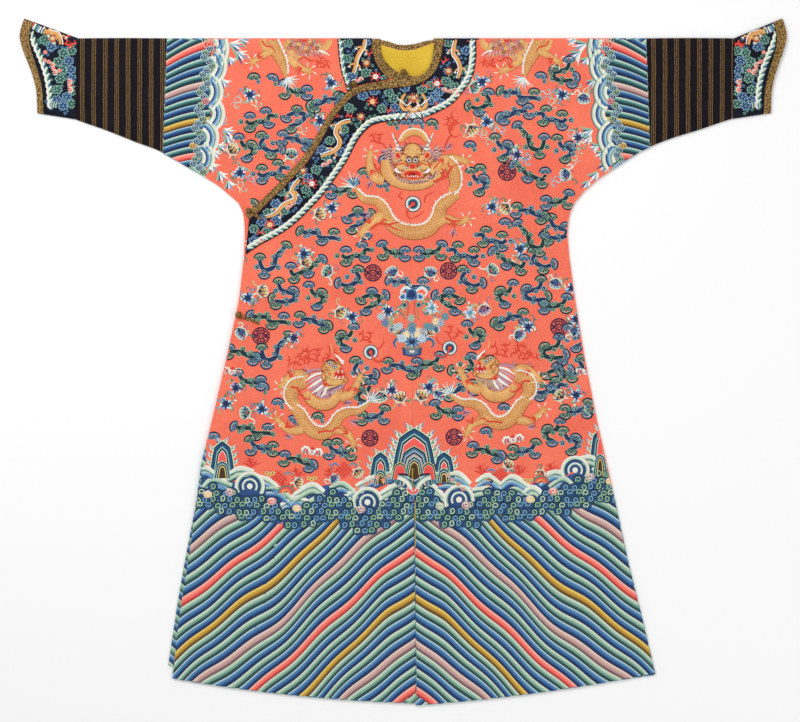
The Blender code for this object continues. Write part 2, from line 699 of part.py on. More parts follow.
def loop(name, x, drop, radius, heading, tail, height, finish):
    """A rolled cord that rings the ball and lies back as two tails sewn to the front."""
    turn = math.radians(heading)
    along = Vector((math.cos(turn), -math.sin(turn)))
    across = Vector((math.sin(turn), math.cos(turn)))
    ring = math.sqrt((radius + CORD_RADIUS + SEAM_GAP) ** 2 - (radius - CORD_RADIUS) ** 2)
    spread = CORD_RADIUS + SEAM_GAP
    tails = [along * (ring + tail * share) + across * spread for share in (1.0, 0.7, 0.4)]
    points = list(tails)
    for k in range(CORD_POINTS):
        angle = CORD_OPENING + (2 * math.pi - 2 * CORD_OPENING) * k / (CORD_POINTS - 1)
        points.append(along * ring * math.cos(angle) + across * ring * math.sin(angle))
    points += [p - across * 2 * spread for p in reversed(tails)]
    curve = bpy.data.curves.new(name, "CURVE")
    curve.dimensions = "3D"
    curve.bevel_depth = CORD_RADIUS
    curve.bevel_resolution = 1
    curve.use_fill_caps = True
    spline = curve.splines.new("POLY")
    spline.points.add(len(points) - 1)
    for target, p in zip(spline.points, points):
        spot = (x + p.x, drop + p.y)
        target.co = (*place(*spot, height(*spot) + CORD_RADIUS + SEAM_GAP), 1.0)
    made = bpy.data.objects.new(name, curve)
    robe.objects.link(made)
    curve.materials.append(finish)


for old in list(bpy.data.objects):
    bpy.data.objects.remove(old)
robe = bpy.data.collections.new("robe")
bpy.context.scene.collection.children.link(robe)

coral = material("coral_satin", (0.83, 0.16, 0.11), 0.5)
navy = material("navy_satin", (0.012, 0.016, 0.05), 0.5)
striped = material("striped_sleeve", (0.03, 0.02, 0.03), 0.6)
gold = material("gold_brocade", (0.32, 0.20, 0.04), 0.45, 0.3)
yellow = material("yellow_lining", (0.75, 0.52, 0.05), 0.55)
brass = material("brass", (0.35, 0.22, 0.09), 0.3, 1.0)

LEFT_HEM = (CENTRE_DROP["left"], SIDE["left"][-1][0])
BACK_LEFT_HEM = (LEFT_HEM[0] - BACK_HEM_RISE["left"], LEFT_HEM[1] + BACK_CORNER_DROP)
UNDER_HEM = (CENTRE_DROP["right"] - UNDER_HEM_LIFT, SIDE["right"][-1][0] - UNDER_HEM_LIFT)
BACK_RIGHT_HEM = (CENTRE_DROP["right"] - BACK_HEM_RISE["right"], BACK_SIDE_RIGHT[-1][0])
UNDER_SIDE = tuple(
    (d, x - UNDER_EDGE_INSET * ramp((d - UNDER_EDGE_START) / UNDER_EDGE_LENGTH)) for d, x in SIDE["right"]
)
body(
    "body_left", "left", neck_table("left"), SIDE["left"], outer_height, LEFT_HEM,
    SIDE["left"], BACK_LEFT_HEM, coral,
)
body(
    "body_right", "right", neck_table("right"), UNDER_SIDE, under_height, UNDER_HEM,
    BACK_SIDE_RIGHT, BACK_RIGHT_HEM, coral,
)
front_overlap(coral)
for side in SIDE:
    sleeve_extension(side, striped)
    cuff(side, navy, gold)
neck_binding(gold)
collar_band(navy)
shoulder_band(navy)
neck_lining(yellow)
for name, (x, drop, radius, heading, tail, carrier) in FASTENINGS.items():
    button("button_" + name, x, drop, radius, fastening_height(carrier), brass)
    loop("button_loop_" + name, x, drop, radius, heading, tail, fastening_height(carrier), gold)
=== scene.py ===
import math

import bmesh
import bpy
import numpy as np
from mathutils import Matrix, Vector
from mathutils.bvhtree import BVHTree


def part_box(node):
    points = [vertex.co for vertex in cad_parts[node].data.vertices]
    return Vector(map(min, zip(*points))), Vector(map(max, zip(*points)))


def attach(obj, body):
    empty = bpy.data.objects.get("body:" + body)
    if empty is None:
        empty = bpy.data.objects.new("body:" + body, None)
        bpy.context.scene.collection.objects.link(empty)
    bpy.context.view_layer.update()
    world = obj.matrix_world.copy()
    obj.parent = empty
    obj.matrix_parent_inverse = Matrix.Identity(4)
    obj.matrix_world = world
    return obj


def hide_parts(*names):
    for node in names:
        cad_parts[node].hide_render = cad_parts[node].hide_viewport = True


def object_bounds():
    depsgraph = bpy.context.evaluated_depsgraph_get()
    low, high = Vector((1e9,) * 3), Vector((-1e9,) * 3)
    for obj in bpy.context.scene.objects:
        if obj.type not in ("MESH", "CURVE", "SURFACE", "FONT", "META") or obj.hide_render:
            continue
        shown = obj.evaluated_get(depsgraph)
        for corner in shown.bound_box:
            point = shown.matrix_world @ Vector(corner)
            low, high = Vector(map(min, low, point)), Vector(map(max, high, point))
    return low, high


# Looks of a court robe laid flat: satin, woven stripes, brocade and embroidery over the fixed frame.
# Garment measures are (across, drop) in metres, as in the part's source: across from the neck's centre,
# positive to the wearer's left, and drop down from the shoulder fold. Places of the embroidery are in
# pixels of the photograph, PX metres each.

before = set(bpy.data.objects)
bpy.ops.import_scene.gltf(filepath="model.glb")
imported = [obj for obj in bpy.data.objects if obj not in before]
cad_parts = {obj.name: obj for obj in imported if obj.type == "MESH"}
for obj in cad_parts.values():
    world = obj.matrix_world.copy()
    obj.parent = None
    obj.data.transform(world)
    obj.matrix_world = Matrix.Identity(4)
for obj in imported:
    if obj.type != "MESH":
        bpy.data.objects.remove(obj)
cad_low, cad_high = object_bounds()
NECK_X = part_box("body_left")[0][0]
SHOULDER_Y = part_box("body_left")[1][1]

PX = 0.002129
NECK_PX = 409.0
SHOULDER_PX = 38.0

# Cloth and how the layers lie, from the surface up
CLOTH = 0.0016
BAND = 0.0010
BINDING = 0.0020
LINING = 0.0010
SEAM_GAP = 0.0003
LAYER_GAP = 0.0005
FOLD_GAP = 0.0016
FOLD_INSET = CLOTH + FOLD_GAP / 2
UNDER_LAYER = CLOTH + LAYER_GAP
RIPPLE = 0.0007
EDGE_REACH = 0.09
HEM_REACH = 0.10
CENTRE_REACH = 0.20
FOLD_STEPS = 4

# Driving sizes
CENTRE_DROP = {"left": 1.4207, "right": 1.4165}
HEM_CURVE = {"left": 0.52, "right": 0.28}
UNDER_HEM_LIFT = 0.045
UNDER_EDGE_INSET = 0.004
SEAM_LEAN = 0.015
HEM_BEND_START = 0.60
NECK_DROP = 0.104
UNDERARM_DROP = 0.386
VENT_TOP = 0.800
VENT_GAP = 0.0007
CUFF_BINDING = 0.0160
SLEEVE_REACH = {"left": 0.6910, "right": 0.7029}
CUFF_SHARE = {"left": 0.895, "right": 1.0}

# Side of each front: drop from the shoulder, and how far across, from the sleeve's seam to the hem's corner
SIDE = {
    "left": ((0.0000, 0.5048), (0.1200, 0.5090), (0.2328, 0.5130), (0.2492, 0.4790), (0.2748, 0.4410),
             (0.3003, 0.4026), (0.3259, 0.3728), (0.3515, 0.3515), (0.3770, 0.3408), (0.4153, 0.3365),
             (0.4665, 0.3408), (0.5600, 0.3536), (0.6880, 0.3749), (0.8158, 0.4000), (0.9010, 0.4196),
             (0.9860, 0.4388), (1.1140, 0.4665), (1.2418, 0.4984), (1.3526, 0.5240),),
    "right": ((0.0000, 0.5155), (0.1200, 0.5195), (0.2450, 0.5240), (0.2620, 0.4940), (0.2876, 0.4494),
              (0.3131, 0.4068), (0.3387, 0.3770), (0.3515, 0.3621), (0.3770, 0.3515), (0.4153, 0.3493),
              (0.4750, 0.3515), (0.5600, 0.3621), (0.6880, 0.3898), (0.8158, 0.4196), (0.9010, 0.4409),
              (0.9860, 0.4526), (1.1140, 0.4707), (1.2418, 0.4910), (1.3632, 0.5033),),
}
SLEEVE_SEAM_DROP = {"left": 0.2328, "right": 0.2450}

# The back shows past the right front below the hip
BACK_SIDE_RIGHT = SIDE["right"][:16] + ((1.1140, 0.4771), (1.1992, 0.4920), (1.2844, 0.5048),
                                        (1.3355, 0.5125))

# Underarm edge of the striped sleeve, from its seam to the cuff: across and drop
UNDERARM = {
    "left": ((0.5133, 0.2328), (0.5347, 0.2237), (0.5708, 0.2109), (0.6134, 0.1981), (0.6624, 0.1811),
             (0.6878, 0.1734),), "right": ((0.5243, 0.2450), (0.5430, 0.2364), (0.5790, 0.2237),
                                           (0.6433, 0.1981), (0.6920, 0.1811), (0.7104, 0.1742),),
}

# Mouth of the horse-hoof cuff: drop, and reach past the cuff's own seam
CUFF_MOUTH = (
    (-0.0422, 0.1154), (-0.0128, 0.1246), (0.0055, 0.1246), (0.0349, 0.1154), (0.0716, 0.1007),
    (0.1044, 0.0916), (0.1265, 0.0890), (0.1615, 0.0880),
)

# Edge of the cloth under the neck binding, from the shoulder fold to the bottom of the neck: across and drop
NECK = {
    "left": ((0.0737, -0.0100), (0.0735, 0.0000), (0.0709, 0.0296), (0.0618, 0.0605), (0.0490, 0.0809),
             (0.0256, 0.0967), (0.0, 0.1040),),
    "right": ((0.0806, -0.0100), (0.0805, 0.0000), (0.0788, 0.0296), (0.0709, 0.0528), (0.0569, 0.0735),
              (0.0394, 0.0863), (0.0100, 0.1040),),
}
BACK_NECK = {
    "left": ((0.0000, 0.0735), (0.0052, 0.0700), (0.0107, 0.0511), (0.0170, 0.0334), (0.0239, 0.0149),
             (0.0266, 0.00015),), "right": ((0.0000, 0.0805), (0.0058, 0.0770), (0.0149, 0.0618),
                                            (0.0190, 0.0439), (0.0256, 0.0234), (0.0266, 0.00015),),
}

# Curved edge of the overlapping front, from the neck to the underarm: drop and across, to the wearer's right
OVERLAP_EDGE = (
    (0.1056, 0.0053), (0.1101, 0.0670), (0.1135, 0.0929), (0.1212, 0.1163), (0.1330, 0.1275),
    (0.1534, 0.1470), (0.1775, 0.1636), (0.2018, 0.1770), (0.2265, 0.1910), (0.2482, 0.2043),
    (0.2700, 0.2207), (0.2910, 0.2400), (0.3135, 0.2614), (0.3350, 0.2832), (0.3598, 0.3085),
    (0.3790, 0.3297), (0.3860, 0.3400),
)

# Neck binding from under the overlap, up the right neck, round the back neck and down to the underarm.
# Each row is the neckline's edge and the outer edge, across and drop.
BINDING_RIGHT_NECK = (
    ((-0.0150, 0.0778), (-0.0310, 0.0895)), ((-0.0234, 0.0735), (-0.0391, 0.0858)),
    ((-0.0439, 0.0579), (-0.0566, 0.0732)), ((-0.0569, 0.0373), (-0.0706, 0.0525)),
    ((-0.0607, 0.0166), (-0.0785, 0.0293)), ((-0.0612, 0.0034), (-0.0802, 0.0034)),
)
BINDING_BACK_NECK = (
    ((-0.0600, 0.0048), (-0.0772, 0.0054)), ((-0.0520, 0.0057), (-0.0612, 0.0145)),
    ((-0.0439, 0.0077), (-0.0436, 0.0187)), ((-0.0234, 0.0147), (-0.0232, 0.0252)),
    ((-0.0050, 0.0153), (-0.0050, 0.0260)), ((0.0149, 0.0128), (0.0149, 0.0235)),
    ((0.0334, 0.0071), (0.0332, 0.0166)), ((0.0440, 0.0056), (0.0508, 0.0103)),
    ((0.0515, 0.0048), (0.0705, 0.0048)),
)
BINDING_LEFT_NECK = (
    ((0.0541, 0.0034), (0.0734, 0.0034)), ((0.0515, 0.0320), (0.0706, 0.0296)),
    ((0.0464, 0.0554), (0.0615, 0.0603)), ((0.0362, 0.0735), (0.0487, 0.0806)),
    ((0.0192, 0.0824), (0.0254, 0.0964)), ((0.0000, 0.0820), (0.0000, 0.1037)),
    ((-0.0192, 0.0800), (-0.0165, 0.1056)), ((-0.0362, 0.0890), (-0.0362, 0.1070)),
)
BINDING_SETBACK = 0.0006
NECK_STEPS = 11
BINDING_WIDTH = 0.0135
BINDING_EDGE_STEPS = 16

# Lower edge of the navy collar band, from the left shoulder round to the right side: across and drop
BAND_EDGE = (
    (0.1427, 0.0030), (0.1430, 0.0373), (0.1406, 0.0605), (0.1367, 0.0786), (0.1263, 0.0993),
    (0.1135, 0.1172), (0.0980, 0.1355), (0.0773, 0.1508), (0.0541, 0.1612), (0.0283, 0.1715),
    (-0.0302, 0.1764), (-0.0575, 0.1806), (-0.0767, 0.1847), (-0.0958, 0.2011), (-0.1120, 0.2228),
    (-0.1310, 0.2607), (-0.1527, 0.2933), (-0.1798, 0.3312), (-0.2070, 0.3610), (-0.2313, 0.3855),
    (-0.2613, 0.4100), (-0.2939, 0.4290), (-0.3155, 0.4398), (-0.3478, 0.4616),
)
# Band on the under front's shoulder: its edge by the neck, its outer edge and its foot, across and drop
SHOULDER_BAND_NECK = (
    (-0.0801, 0.0030), (-0.0785, 0.0296), (-0.0706, 0.0526), (-0.0571, 0.0733), (-0.0412, 0.0875),
)
SHOULDER_BAND_EDGE = (
    (-0.1523, 0.0030), (-0.1497, 0.0373), (-0.1448, 0.0709), (-0.1367, 0.0967), (-0.1318, 0.1150),
)
SHOULDER_BAND_FOOT = (
    (-0.0412, 0.0875), (-0.0664, 0.0930), (-0.0960, 0.0984), (-0.1180, 0.1052), (-0.1318, 0.1150),
)
SHOULDER_BAND_STEPS = 9
SHOULDER_BAND_COLUMNS = 7


ROWS_SKIRT = (0.54, 0.62, 0.70, 0.78, 0.86, 0.94, 1.02, 1.10, 1.18, 1.26, 1.33, 1.375)
ROWS_SIDE = (
    0.15, 0.18, 0.21, 0.2328, 0.245, 0.256, 0.268, 0.28, 0.295, 0.31, 0.325, 0.34, 0.36, 0.386, 0.42, 0.47,
) + ROWS_SKIRT
ROWS_FRONT = (
    FOLD_INSET, 0.006, 0.018, 0.03, 0.042, 0.052, 0.0605, 0.068, 0.075, 0.081, 0.086, 0.091, 0.0955, 0.0995,
    0.104, 0.125,
) + ROWS_SIDE
ROWS_BACK = (FOLD_INSET, 0.0052, 0.008, 0.0107, 0.0149, 0.0170, 0.019, 0.0215, 0.0239, 0.0256, 0.0266,
             0.045, 0.075, 0.104) + ROWS_SIDE
COLUMNS = [k / 40 for k in range(41)]


def ramp(value):
    """Smooth rise from 0 to 1."""
    t = min(max(value, 0.0), 1.0)
    return t * t * (3 - 2 * t)


def look_up(table, key):
    """Straight-line reading of a table of (key, value) rows."""
    if key <= table[0][0]:
        return table[0][1]
    for (k0, v0), (k1, v1) in zip(table, table[1:]):
        if key <= k1:
            return v0 + (v1 - v0) * (key - k0) / (k1 - k0)
    return table[-1][1]


def smooth_path(points, count):
    """Evenly spaced points on a smooth curve through the given ones, both ends kept."""
    ends = [Vector(p) for p in points]
    ends = [2 * ends[0] - ends[1]] + ends + [2 * ends[-1] - ends[-2]]
    fine = []
    steps = 12
    for i in range(1, len(ends) - 2):
        a, b, c, d = ends[i - 1:i + 3]
        for k in range(steps):
            t = k / steps
            square = (2 * a - 5 * b + 4 * c - d) * t ** 2
            cube = (3 * b - a - 3 * c + d) * t ** 3
            fine.append(0.5 * (2 * b + (c - a) * t + square + cube))
    fine.append(ends[-2])
    lengths = [0.0]
    for p, q in zip(fine, fine[1:]):
        lengths.append(lengths[-1] + (q - p).length)
    found = []
    j = 0
    for i in range(count):
        wanted = lengths[-1] * i / (count - 1)
        while j < len(fine) - 2 and lengths[j + 1] < wanted:
            j += 1
        share = (wanted - lengths[j]) / (lengths[j + 1] - lengths[j])
        found.append(fine[j].lerp(fine[j + 1], min(share, 1.0)))
    return found


def neck_table(side):
    """The neck's edge as rows of (drop, across), from a smooth curve through its points."""
    return tuple((p.y, p.x) for p in smooth_path(NECK[side], 60))


def segment_distance(x, y, a, b):
    """Distance from a point to a straight stretch."""
    dx, dy = b[0] - a[0], b[1] - a[1]
    t = ((x - a[0]) * dx + (y - a[1]) * dy) / (dx * dx + dy * dy)
    t = min(max(t, 0.0), 1.0)
    return math.hypot(x - a[0] - t * dx, y - a[1] - t * dy)


def closed_edge(side):
    """The sewn underarm and side, across and drop, out to the cuff."""
    sign = 1 if side == "left" else -1
    sleeve = [(sign * x, d) for x, d in reversed(UNDERARM[side])]
    body = [(sign * x, d) for d, x in SIDE[side] if d > SLEEVE_SEAM_DROP[side]]
    return sleeve + body


CLOSED_EDGE = {side: closed_edge(side) for side in SIDE}


def edge_distance(x, drop):
    """How far a point lies from the sewn edge of its own side."""
    edge = CLOSED_EDGE["left" if x > 0 else "right"]
    return min(segment_distance(x, drop, a, b) for a, b in zip(edge, edge[1:]))


def hem_drop(x):
    """Drop of the front hem at this place across."""
    side = "left" if x > SEAM_LEAN else "right"
    corner_drop, corner = SIDE[side][-1]
    share = min(abs(x - SEAM_LEAN) / (corner + (SEAM_LEAN if side == "right" else -SEAM_LEAN)), 1.0)
    curve = HEM_CURVE[side]
    return CENTRE_DROP[side] - (CENTRE_DROP[side] - corner_drop) * (curve * share + (1 - curve)
                                                                    * share ** 2)


def crease(x, drop):
    """Height of the creases, as soft ridges that fade at their ends."""
    height = 0.0
    for x0, d0, x1, d1, half, rise in CREASES:
        dx, dy = x1 - x0, d1 - d0
        along = ((x - x0) * dx + (drop - d0) * dy) / (dx * dx + dy * dy)
        if not 0 < along < 1:
            continue
        off = abs((x - x0) * dy - (drop - d0) * dx) / math.hypot(dx, dy)
        if off < 3 * half:
            height += rise * math.sin(math.pi * along) * math.exp(-((off / half) ** 2))
    return height


def ripple(x, drop):
    """Soft unevenness of cloth laid flat, with its creases."""
    slow = RIPPLE * (0.5 + 0.27 * math.sin(9 * x + 4 * drop) + 0.23 * math.sin(11 * drop - 5 * x + 1.3))
    return slow + crease(x, drop)


def under_height(x, drop):
    """Lower face of the first front layer over the back."""
    edge = ramp(edge_distance(x, drop) / EDGE_REACH)
    hem = ramp((hem_drop(x) - drop) / HEM_REACH)
    soft = ripple(x, drop) * edge * hem * ramp((drop - FOLD_INSET) / 0.05)
    return CLOTH + SEAM_GAP + (FOLD_GAP - SEAM_GAP) * edge * hem + soft


def outer_height(x, drop):
    """Lower face of the outer front, which lies on the under front to the wearer's right."""
    over = ramp(1 - max(x, 0.0) / CENTRE_REACH) * ramp(drop / NECK_DROP)
    over *= ramp((hem_drop(x) - drop) / (UNDER_HEM_LIFT * 0.9))
    return under_height(x, drop) + UNDER_LAYER * over


def outer_top(x, drop):
    """Height of the outer front's upper face."""
    return outer_height(x, drop) + CLOTH


ROW_STEP = 0.014
# Creases: across and drop of both ends, half width and rise
CREASES = (
    (0.330, 0.400, 0.180, 0.300, 0.006, 0.0007), (0.345, 0.380, 0.240, 0.230, 0.007, 0.0008),
    (0.370, 0.350, 0.330, 0.160, 0.008, 0.0006), (-0.340, 0.420, -0.200, 0.520, 0.007, 0.0006),
    (-0.360, 0.340, -0.300, 0.140, 0.008, 0.0007), (-0.400, 0.300, -0.390, 0.100, 0.007, 0.0005),
    (0.150, 0.480, 0.155, 0.960, 0.006, 0.0004), (-0.170, 0.560, -0.185, 1.100, 0.006, 0.0004),
    (-0.300, 0.700, 0.020, 0.705, 0.005, 0.0004), (0.020, 0.700, 0.330, 0.698, 0.005, 0.0004),
    (0.250, 0.900, 0.330, 1.320, 0.010, 0.0007), (0.120, 0.980, 0.150, 1.380, 0.012, 0.0006),
    (-0.250, 0.930, -0.340, 1.330, 0.010, 0.0007), (-0.090, 1.020, -0.110, 1.390, 0.012, 0.0006),
    (0.400, 1.000, 0.440, 1.330, 0.010, 0.0005), (-0.400, 1.020, -0.440, 1.330, 0.010, 0.0005),
    (0.560, 0.030, 0.570, 0.190, 0.006, 0.0005), (0.640, 0.020, 0.636, 0.160, 0.005, 0.0004),
    (-0.600, 0.020, -0.590, 0.190, 0.006, 0.0005), (-0.660, 0.020, -0.668, 0.160, 0.005, 0.0004),
    (0.060, 0.200, 0.110, 0.330, 0.008, 0.0005), (-0.050, 0.230, -0.120, 0.340, 0.008, 0.0004),
)


def finer(rows, step=ROW_STEP):
    """The same rows with more between them, so that none are more than step apart."""
    made = [rows[0]]
    for a, b in zip(rows, rows[1:]):
        parts = max(1, math.ceil((b - a) / step))
        made += [a + (b - a) * k / parts for k in range(1, parts + 1)]
    return tuple(made)


ROWS_SKIRT = finer(ROWS_SKIRT)
ROWS_FRONT = finer(ROWS_FRONT)
ROWS_BACK = finer(ROWS_BACK)


def place(x, drop, z):
    """A point in the shared frame, from its place across, its drop and its height."""
    return Vector((x + NECK_X, SHOULDER_Y - drop, z))


def linear(*rgb):
    """Linear colour from red, green and blue of 0 to 255."""
    return tuple((v / 255 / 12.92) if v < 10 else ((v / 255 + 0.055) / 1.055) ** 2.4 for v in rgb)


def walk(points):
    """Length of the line through these points."""
    return sum((b - a).length for a, b in zip(points, points[1:]))


def cut_size(grid, ring):
    """Width, length and area of the flat cut that makes this grid of points."""
    rows = [row + row[:1] for row in grid] if ring else grid
    columns = list(zip(*rows))
    area = 0.0
    for a, b in zip(rows, rows[1:]):
        for j in range(len(a) - 1):
            area += (a[j + 1] - a[j]).cross(b[j] - a[j]).length / 2
            area += (b[j + 1] - b[j]).cross(b[j + 1] - a[j + 1]).length / 2
    width = max(walk(row) for row in rows)
    length = max(walk(c) for c in (columns[0], columns[len(columns) // 2], columns[-1]))
    return width, length, area


CLOTHS = {}


def sheet(name, grid, thickness, offset, finish, ring=False):
    """A thin shell of cloth on a grid of points, standing for the solid of that name."""
    columns = len(grid[0])
    faces = []
    for i in range(len(grid) - 1):
        for j in range(columns if ring else columns - 1):
            a, b = i * columns + j, i * columns + (j + 1) % columns
            faces.append((a, b, b + columns, a + columns))
    mesh = bpy.data.meshes.new(name + "_cloth")
    mesh.from_pydata([p for row in grid for p in row], [], faces)
    made = bpy.data.objects.new(name + "_cloth", mesh)
    bpy.context.scene.collection.objects.link(made)
    thick = made.modifiers.new("Thickness", "SOLIDIFY")
    thick.thickness = thickness
    thick.offset = offset
    thick.use_even_offset = True
    thick.thickness_clamp = 1.0
    flat = bpy.data.meshes.new_from_object(made.evaluated_get(bpy.context.evaluated_depsgraph_get()))
    made.modifiers.clear()
    made.data = flat
    flat.materials.clear()
    flat.materials.append(finish[0])
    flat.shade_smooth()
    flat.set_sharp_from_angle(angle=math.radians(50))
    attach(made, "root")
    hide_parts(name)
    width, length, area = cut_size(grid, ring)
    CLOTHS[name] = made
    return made


def lean(drop):
    """How far the centre seams have moved to the wearer's left at this drop."""
    return SEAM_LEAN * ramp((drop - NECK_DROP) / (CENTRE_DROP["left"] - NECK_DROP))


def side_rows(side, inner, outer, height, hem, rows):
    """Rows of one layer from the shoulder to the hem, which is (drop at the centre, drop at the corner)."""
    sign = 1 if side == "left" else -1
    centre, corner = hem
    curve = HEM_CURVE[side]
    grid = []
    for drop in [r for r in rows if r < centre - 0.02] + [centre]:
        bend = (centre - corner) * ramp((drop - HEM_BEND_START) / (centre - HEM_BEND_START))
        x_in = sign * look_up(inner, drop) + lean(drop)
        x_out = sign * look_up(outer, drop - bend)
        row = []
        for u in COLUMNS:
            x = x_in + (x_out - x_in) * u
            d = drop - bend * (curve * u + (1 - curve) * u ** 2)
            row.append((x, d, height(x, d)))
        grid.append(row)
    return grid


def fold_rows(front_row, back_row):
    """The shoulder fold: a half turn from the back's first row to the front's."""
    rows = []
    for k in range(1, FOLD_STEPS):
        angle = math.pi * k / FOLD_STEPS
        row = []
        for f, b in zip(front_row, back_row):
            share = k / FOLD_STEPS
            middle, radius = (f[2] + b[2]) / 2, (f[2] - b[2]) / 2
            x = b[0] + (f[0] - b[0]) * share
            row.append((x, f[1] - radius * math.sin(angle), middle - radius * math.cos(angle)))
        rows.append(row)
    return rows


def body(name, side, front_inner, front_outer, front_height, front_hem, back_outer, back_hem, finish):
    """One width of the robe, back and front in one over the shoulder, as it is cut."""
    front = side_rows(side, front_inner, front_outer, front_height, front_hem, ROWS_FRONT)
    back = side_rows(side, BACK_NECK[side], back_outer, lambda x, d: CLOTH, back_hem, ROWS_BACK)
    grid = list(reversed(back)) + fold_rows(front[0], back[0]) + front
    placed = [[place(*p) for p in row] for row in grid]
    return sheet(name, placed, CLOTH, 1 if side == "right" else -1, finish)


def front_overlap(finish):
    """The outer right front, from the curved closing edge to the hem and out to the right side."""
    side = SIDE["right"]
    edge = OVERLAP_EDGE + tuple((d, x) for d, x in side if d > UNDERARM_DROP)
    seam = ((0.0, SEAM_GAP), (VENT_TOP, SEAM_GAP), (VENT_TOP + 0.02, VENT_GAP), (2.0, VENT_GAP))
    rows = (
        0.1056, 0.1079, 0.1101, 0.1135, 0.1172, 0.1212, 0.133, 0.1534, 0.1775, 0.2018, 0.2265, 0.2482, 0.27,
        0.291, 0.3135, 0.335, 0.3598, 0.379, 0.386, 0.42, 0.47,
    ) + ROWS_SKIRT
    grid = side_rows("right", seam, edge, outer_height, (CENTRE_DROP["right"], SIDE["right"][-1][0]), rows)
    placed = [[place(*p) for p in row] for row in grid]
    return sheet("front_overlap", placed, CLOTH, 1, finish)


def tube_ring(top, bottom, gap_top, gap_bottom, across_steps, height):
    """Inner face of a flattened sleeve between two points of its outline, as (across, drop, z)."""
    top, bottom = Vector(top), Vector(bottom)
    width = (bottom - top).length
    down = (bottom - top) / width
    start, end = CLOTH + gap_top / 2, width - CLOTH - gap_bottom / 2
    ring = []
    for k in range(across_steps + 1):
        p = top + down * (end + (start - end) * k / across_steps)
        ring.append((p.x, p.y, CLOTH))
    for k in range(1, FOLD_STEPS):
        angle = math.pi * k / FOLD_STEPS
        p = top + down * (start - gap_top / 2 * math.sin(angle))
        ring.append((p.x, p.y, CLOTH + gap_top / 2 * (1 - math.cos(angle))))
    for k in range(across_steps + 1):
        share = k / across_steps
        p = top + down * (start + (end - start) * share)
        gap = gap_top + (gap_bottom - gap_top) * ramp((share - 0.6) / 0.4)
        ring.append((p.x, p.y, CLOTH + gap + height(p.x, p.y) * math.sin(math.pi * share) ** 0.5
                     if 0 < k < across_steps else CLOTH + gap))
    for k in range(1, FOLD_STEPS):
        angle = math.pi * k / FOLD_STEPS
        p = top + down * (end + gap_bottom / 2 * math.sin(angle))
        ring.append((p.x, p.y, CLOTH + gap_bottom / 2 * (1 + math.cos(angle))))
    return ring


SEAM_FOLD = 0.0010
CUFF_GAP = 0.0008


def sleeve_extension(side, finish):
    """The dark striped lower sleeve, a flattened tube from the body's sleeve seam to the cuff."""
    sign = 1 if side == "left" else -1
    start = SIDE[side][0][1] + SEAM_GAP
    top = smooth_path([(start, 0.0), ((start + SLEEVE_REACH[side]) / 2, -0.0006),
                       (SLEEVE_REACH[side], 0.0)], SLEEVE_STEPS)
    under = [(x + (SEAM_GAP if i == 0 else 0.0), d) for i, (x, d) in enumerate(UNDERARM[side])]
    bottom = smooth_path(under, SLEEVE_STEPS)
    rings = []
    for t, b in zip(top, bottom):
        ring = tube_ring((sign * t.x, t.y), (sign * b.x, b.y), FOLD_GAP, SEAM_FOLD, ACROSS_STEPS, ripple)
        rings.append([place(*p) for p in ring])
    return sheet("sleeve_extension_" + side, rings, CLOTH, 1 if side == "left" else -1, finish, ring=True)


def cuff_patch(side, share, s):
    """A point of the flat cuff: share runs from seam to mouth, s from the top fold to the underarm."""
    sign = 1 if side == "left" else -1
    seam_top = Vector((SLEEVE_REACH[side] + CUFF_GAP, 0.0))
    seam_bottom = Vector((UNDERARM[side][-1][0] + CUFF_GAP, UNDERARM[side][-1][1]))
    seam = seam_top.lerp(seam_bottom, s)
    mouth = MOUTH[side](s)
    p = seam.lerp(mouth, share)
    return (sign * p.x, p.y)


def mouth_of(side):
    """The mouth's curve as a function of s, in across and drop."""
    steps = 41
    reached = [(SLEEVE_REACH[side] + reach * CUFF_SHARE[side], drop) for drop, reach in CUFF_MOUTH]
    points = smooth_path(reached, steps)

    def at(s):
        """The mouth's point at s."""
        position = min(max(s, 0.0), 1.0) * (steps - 1)
        i = min(int(position), steps - 2)
        return points[i].lerp(points[i + 1], position - i)

    return at


MOUTH = {side: mouth_of(side) for side in SIDE}


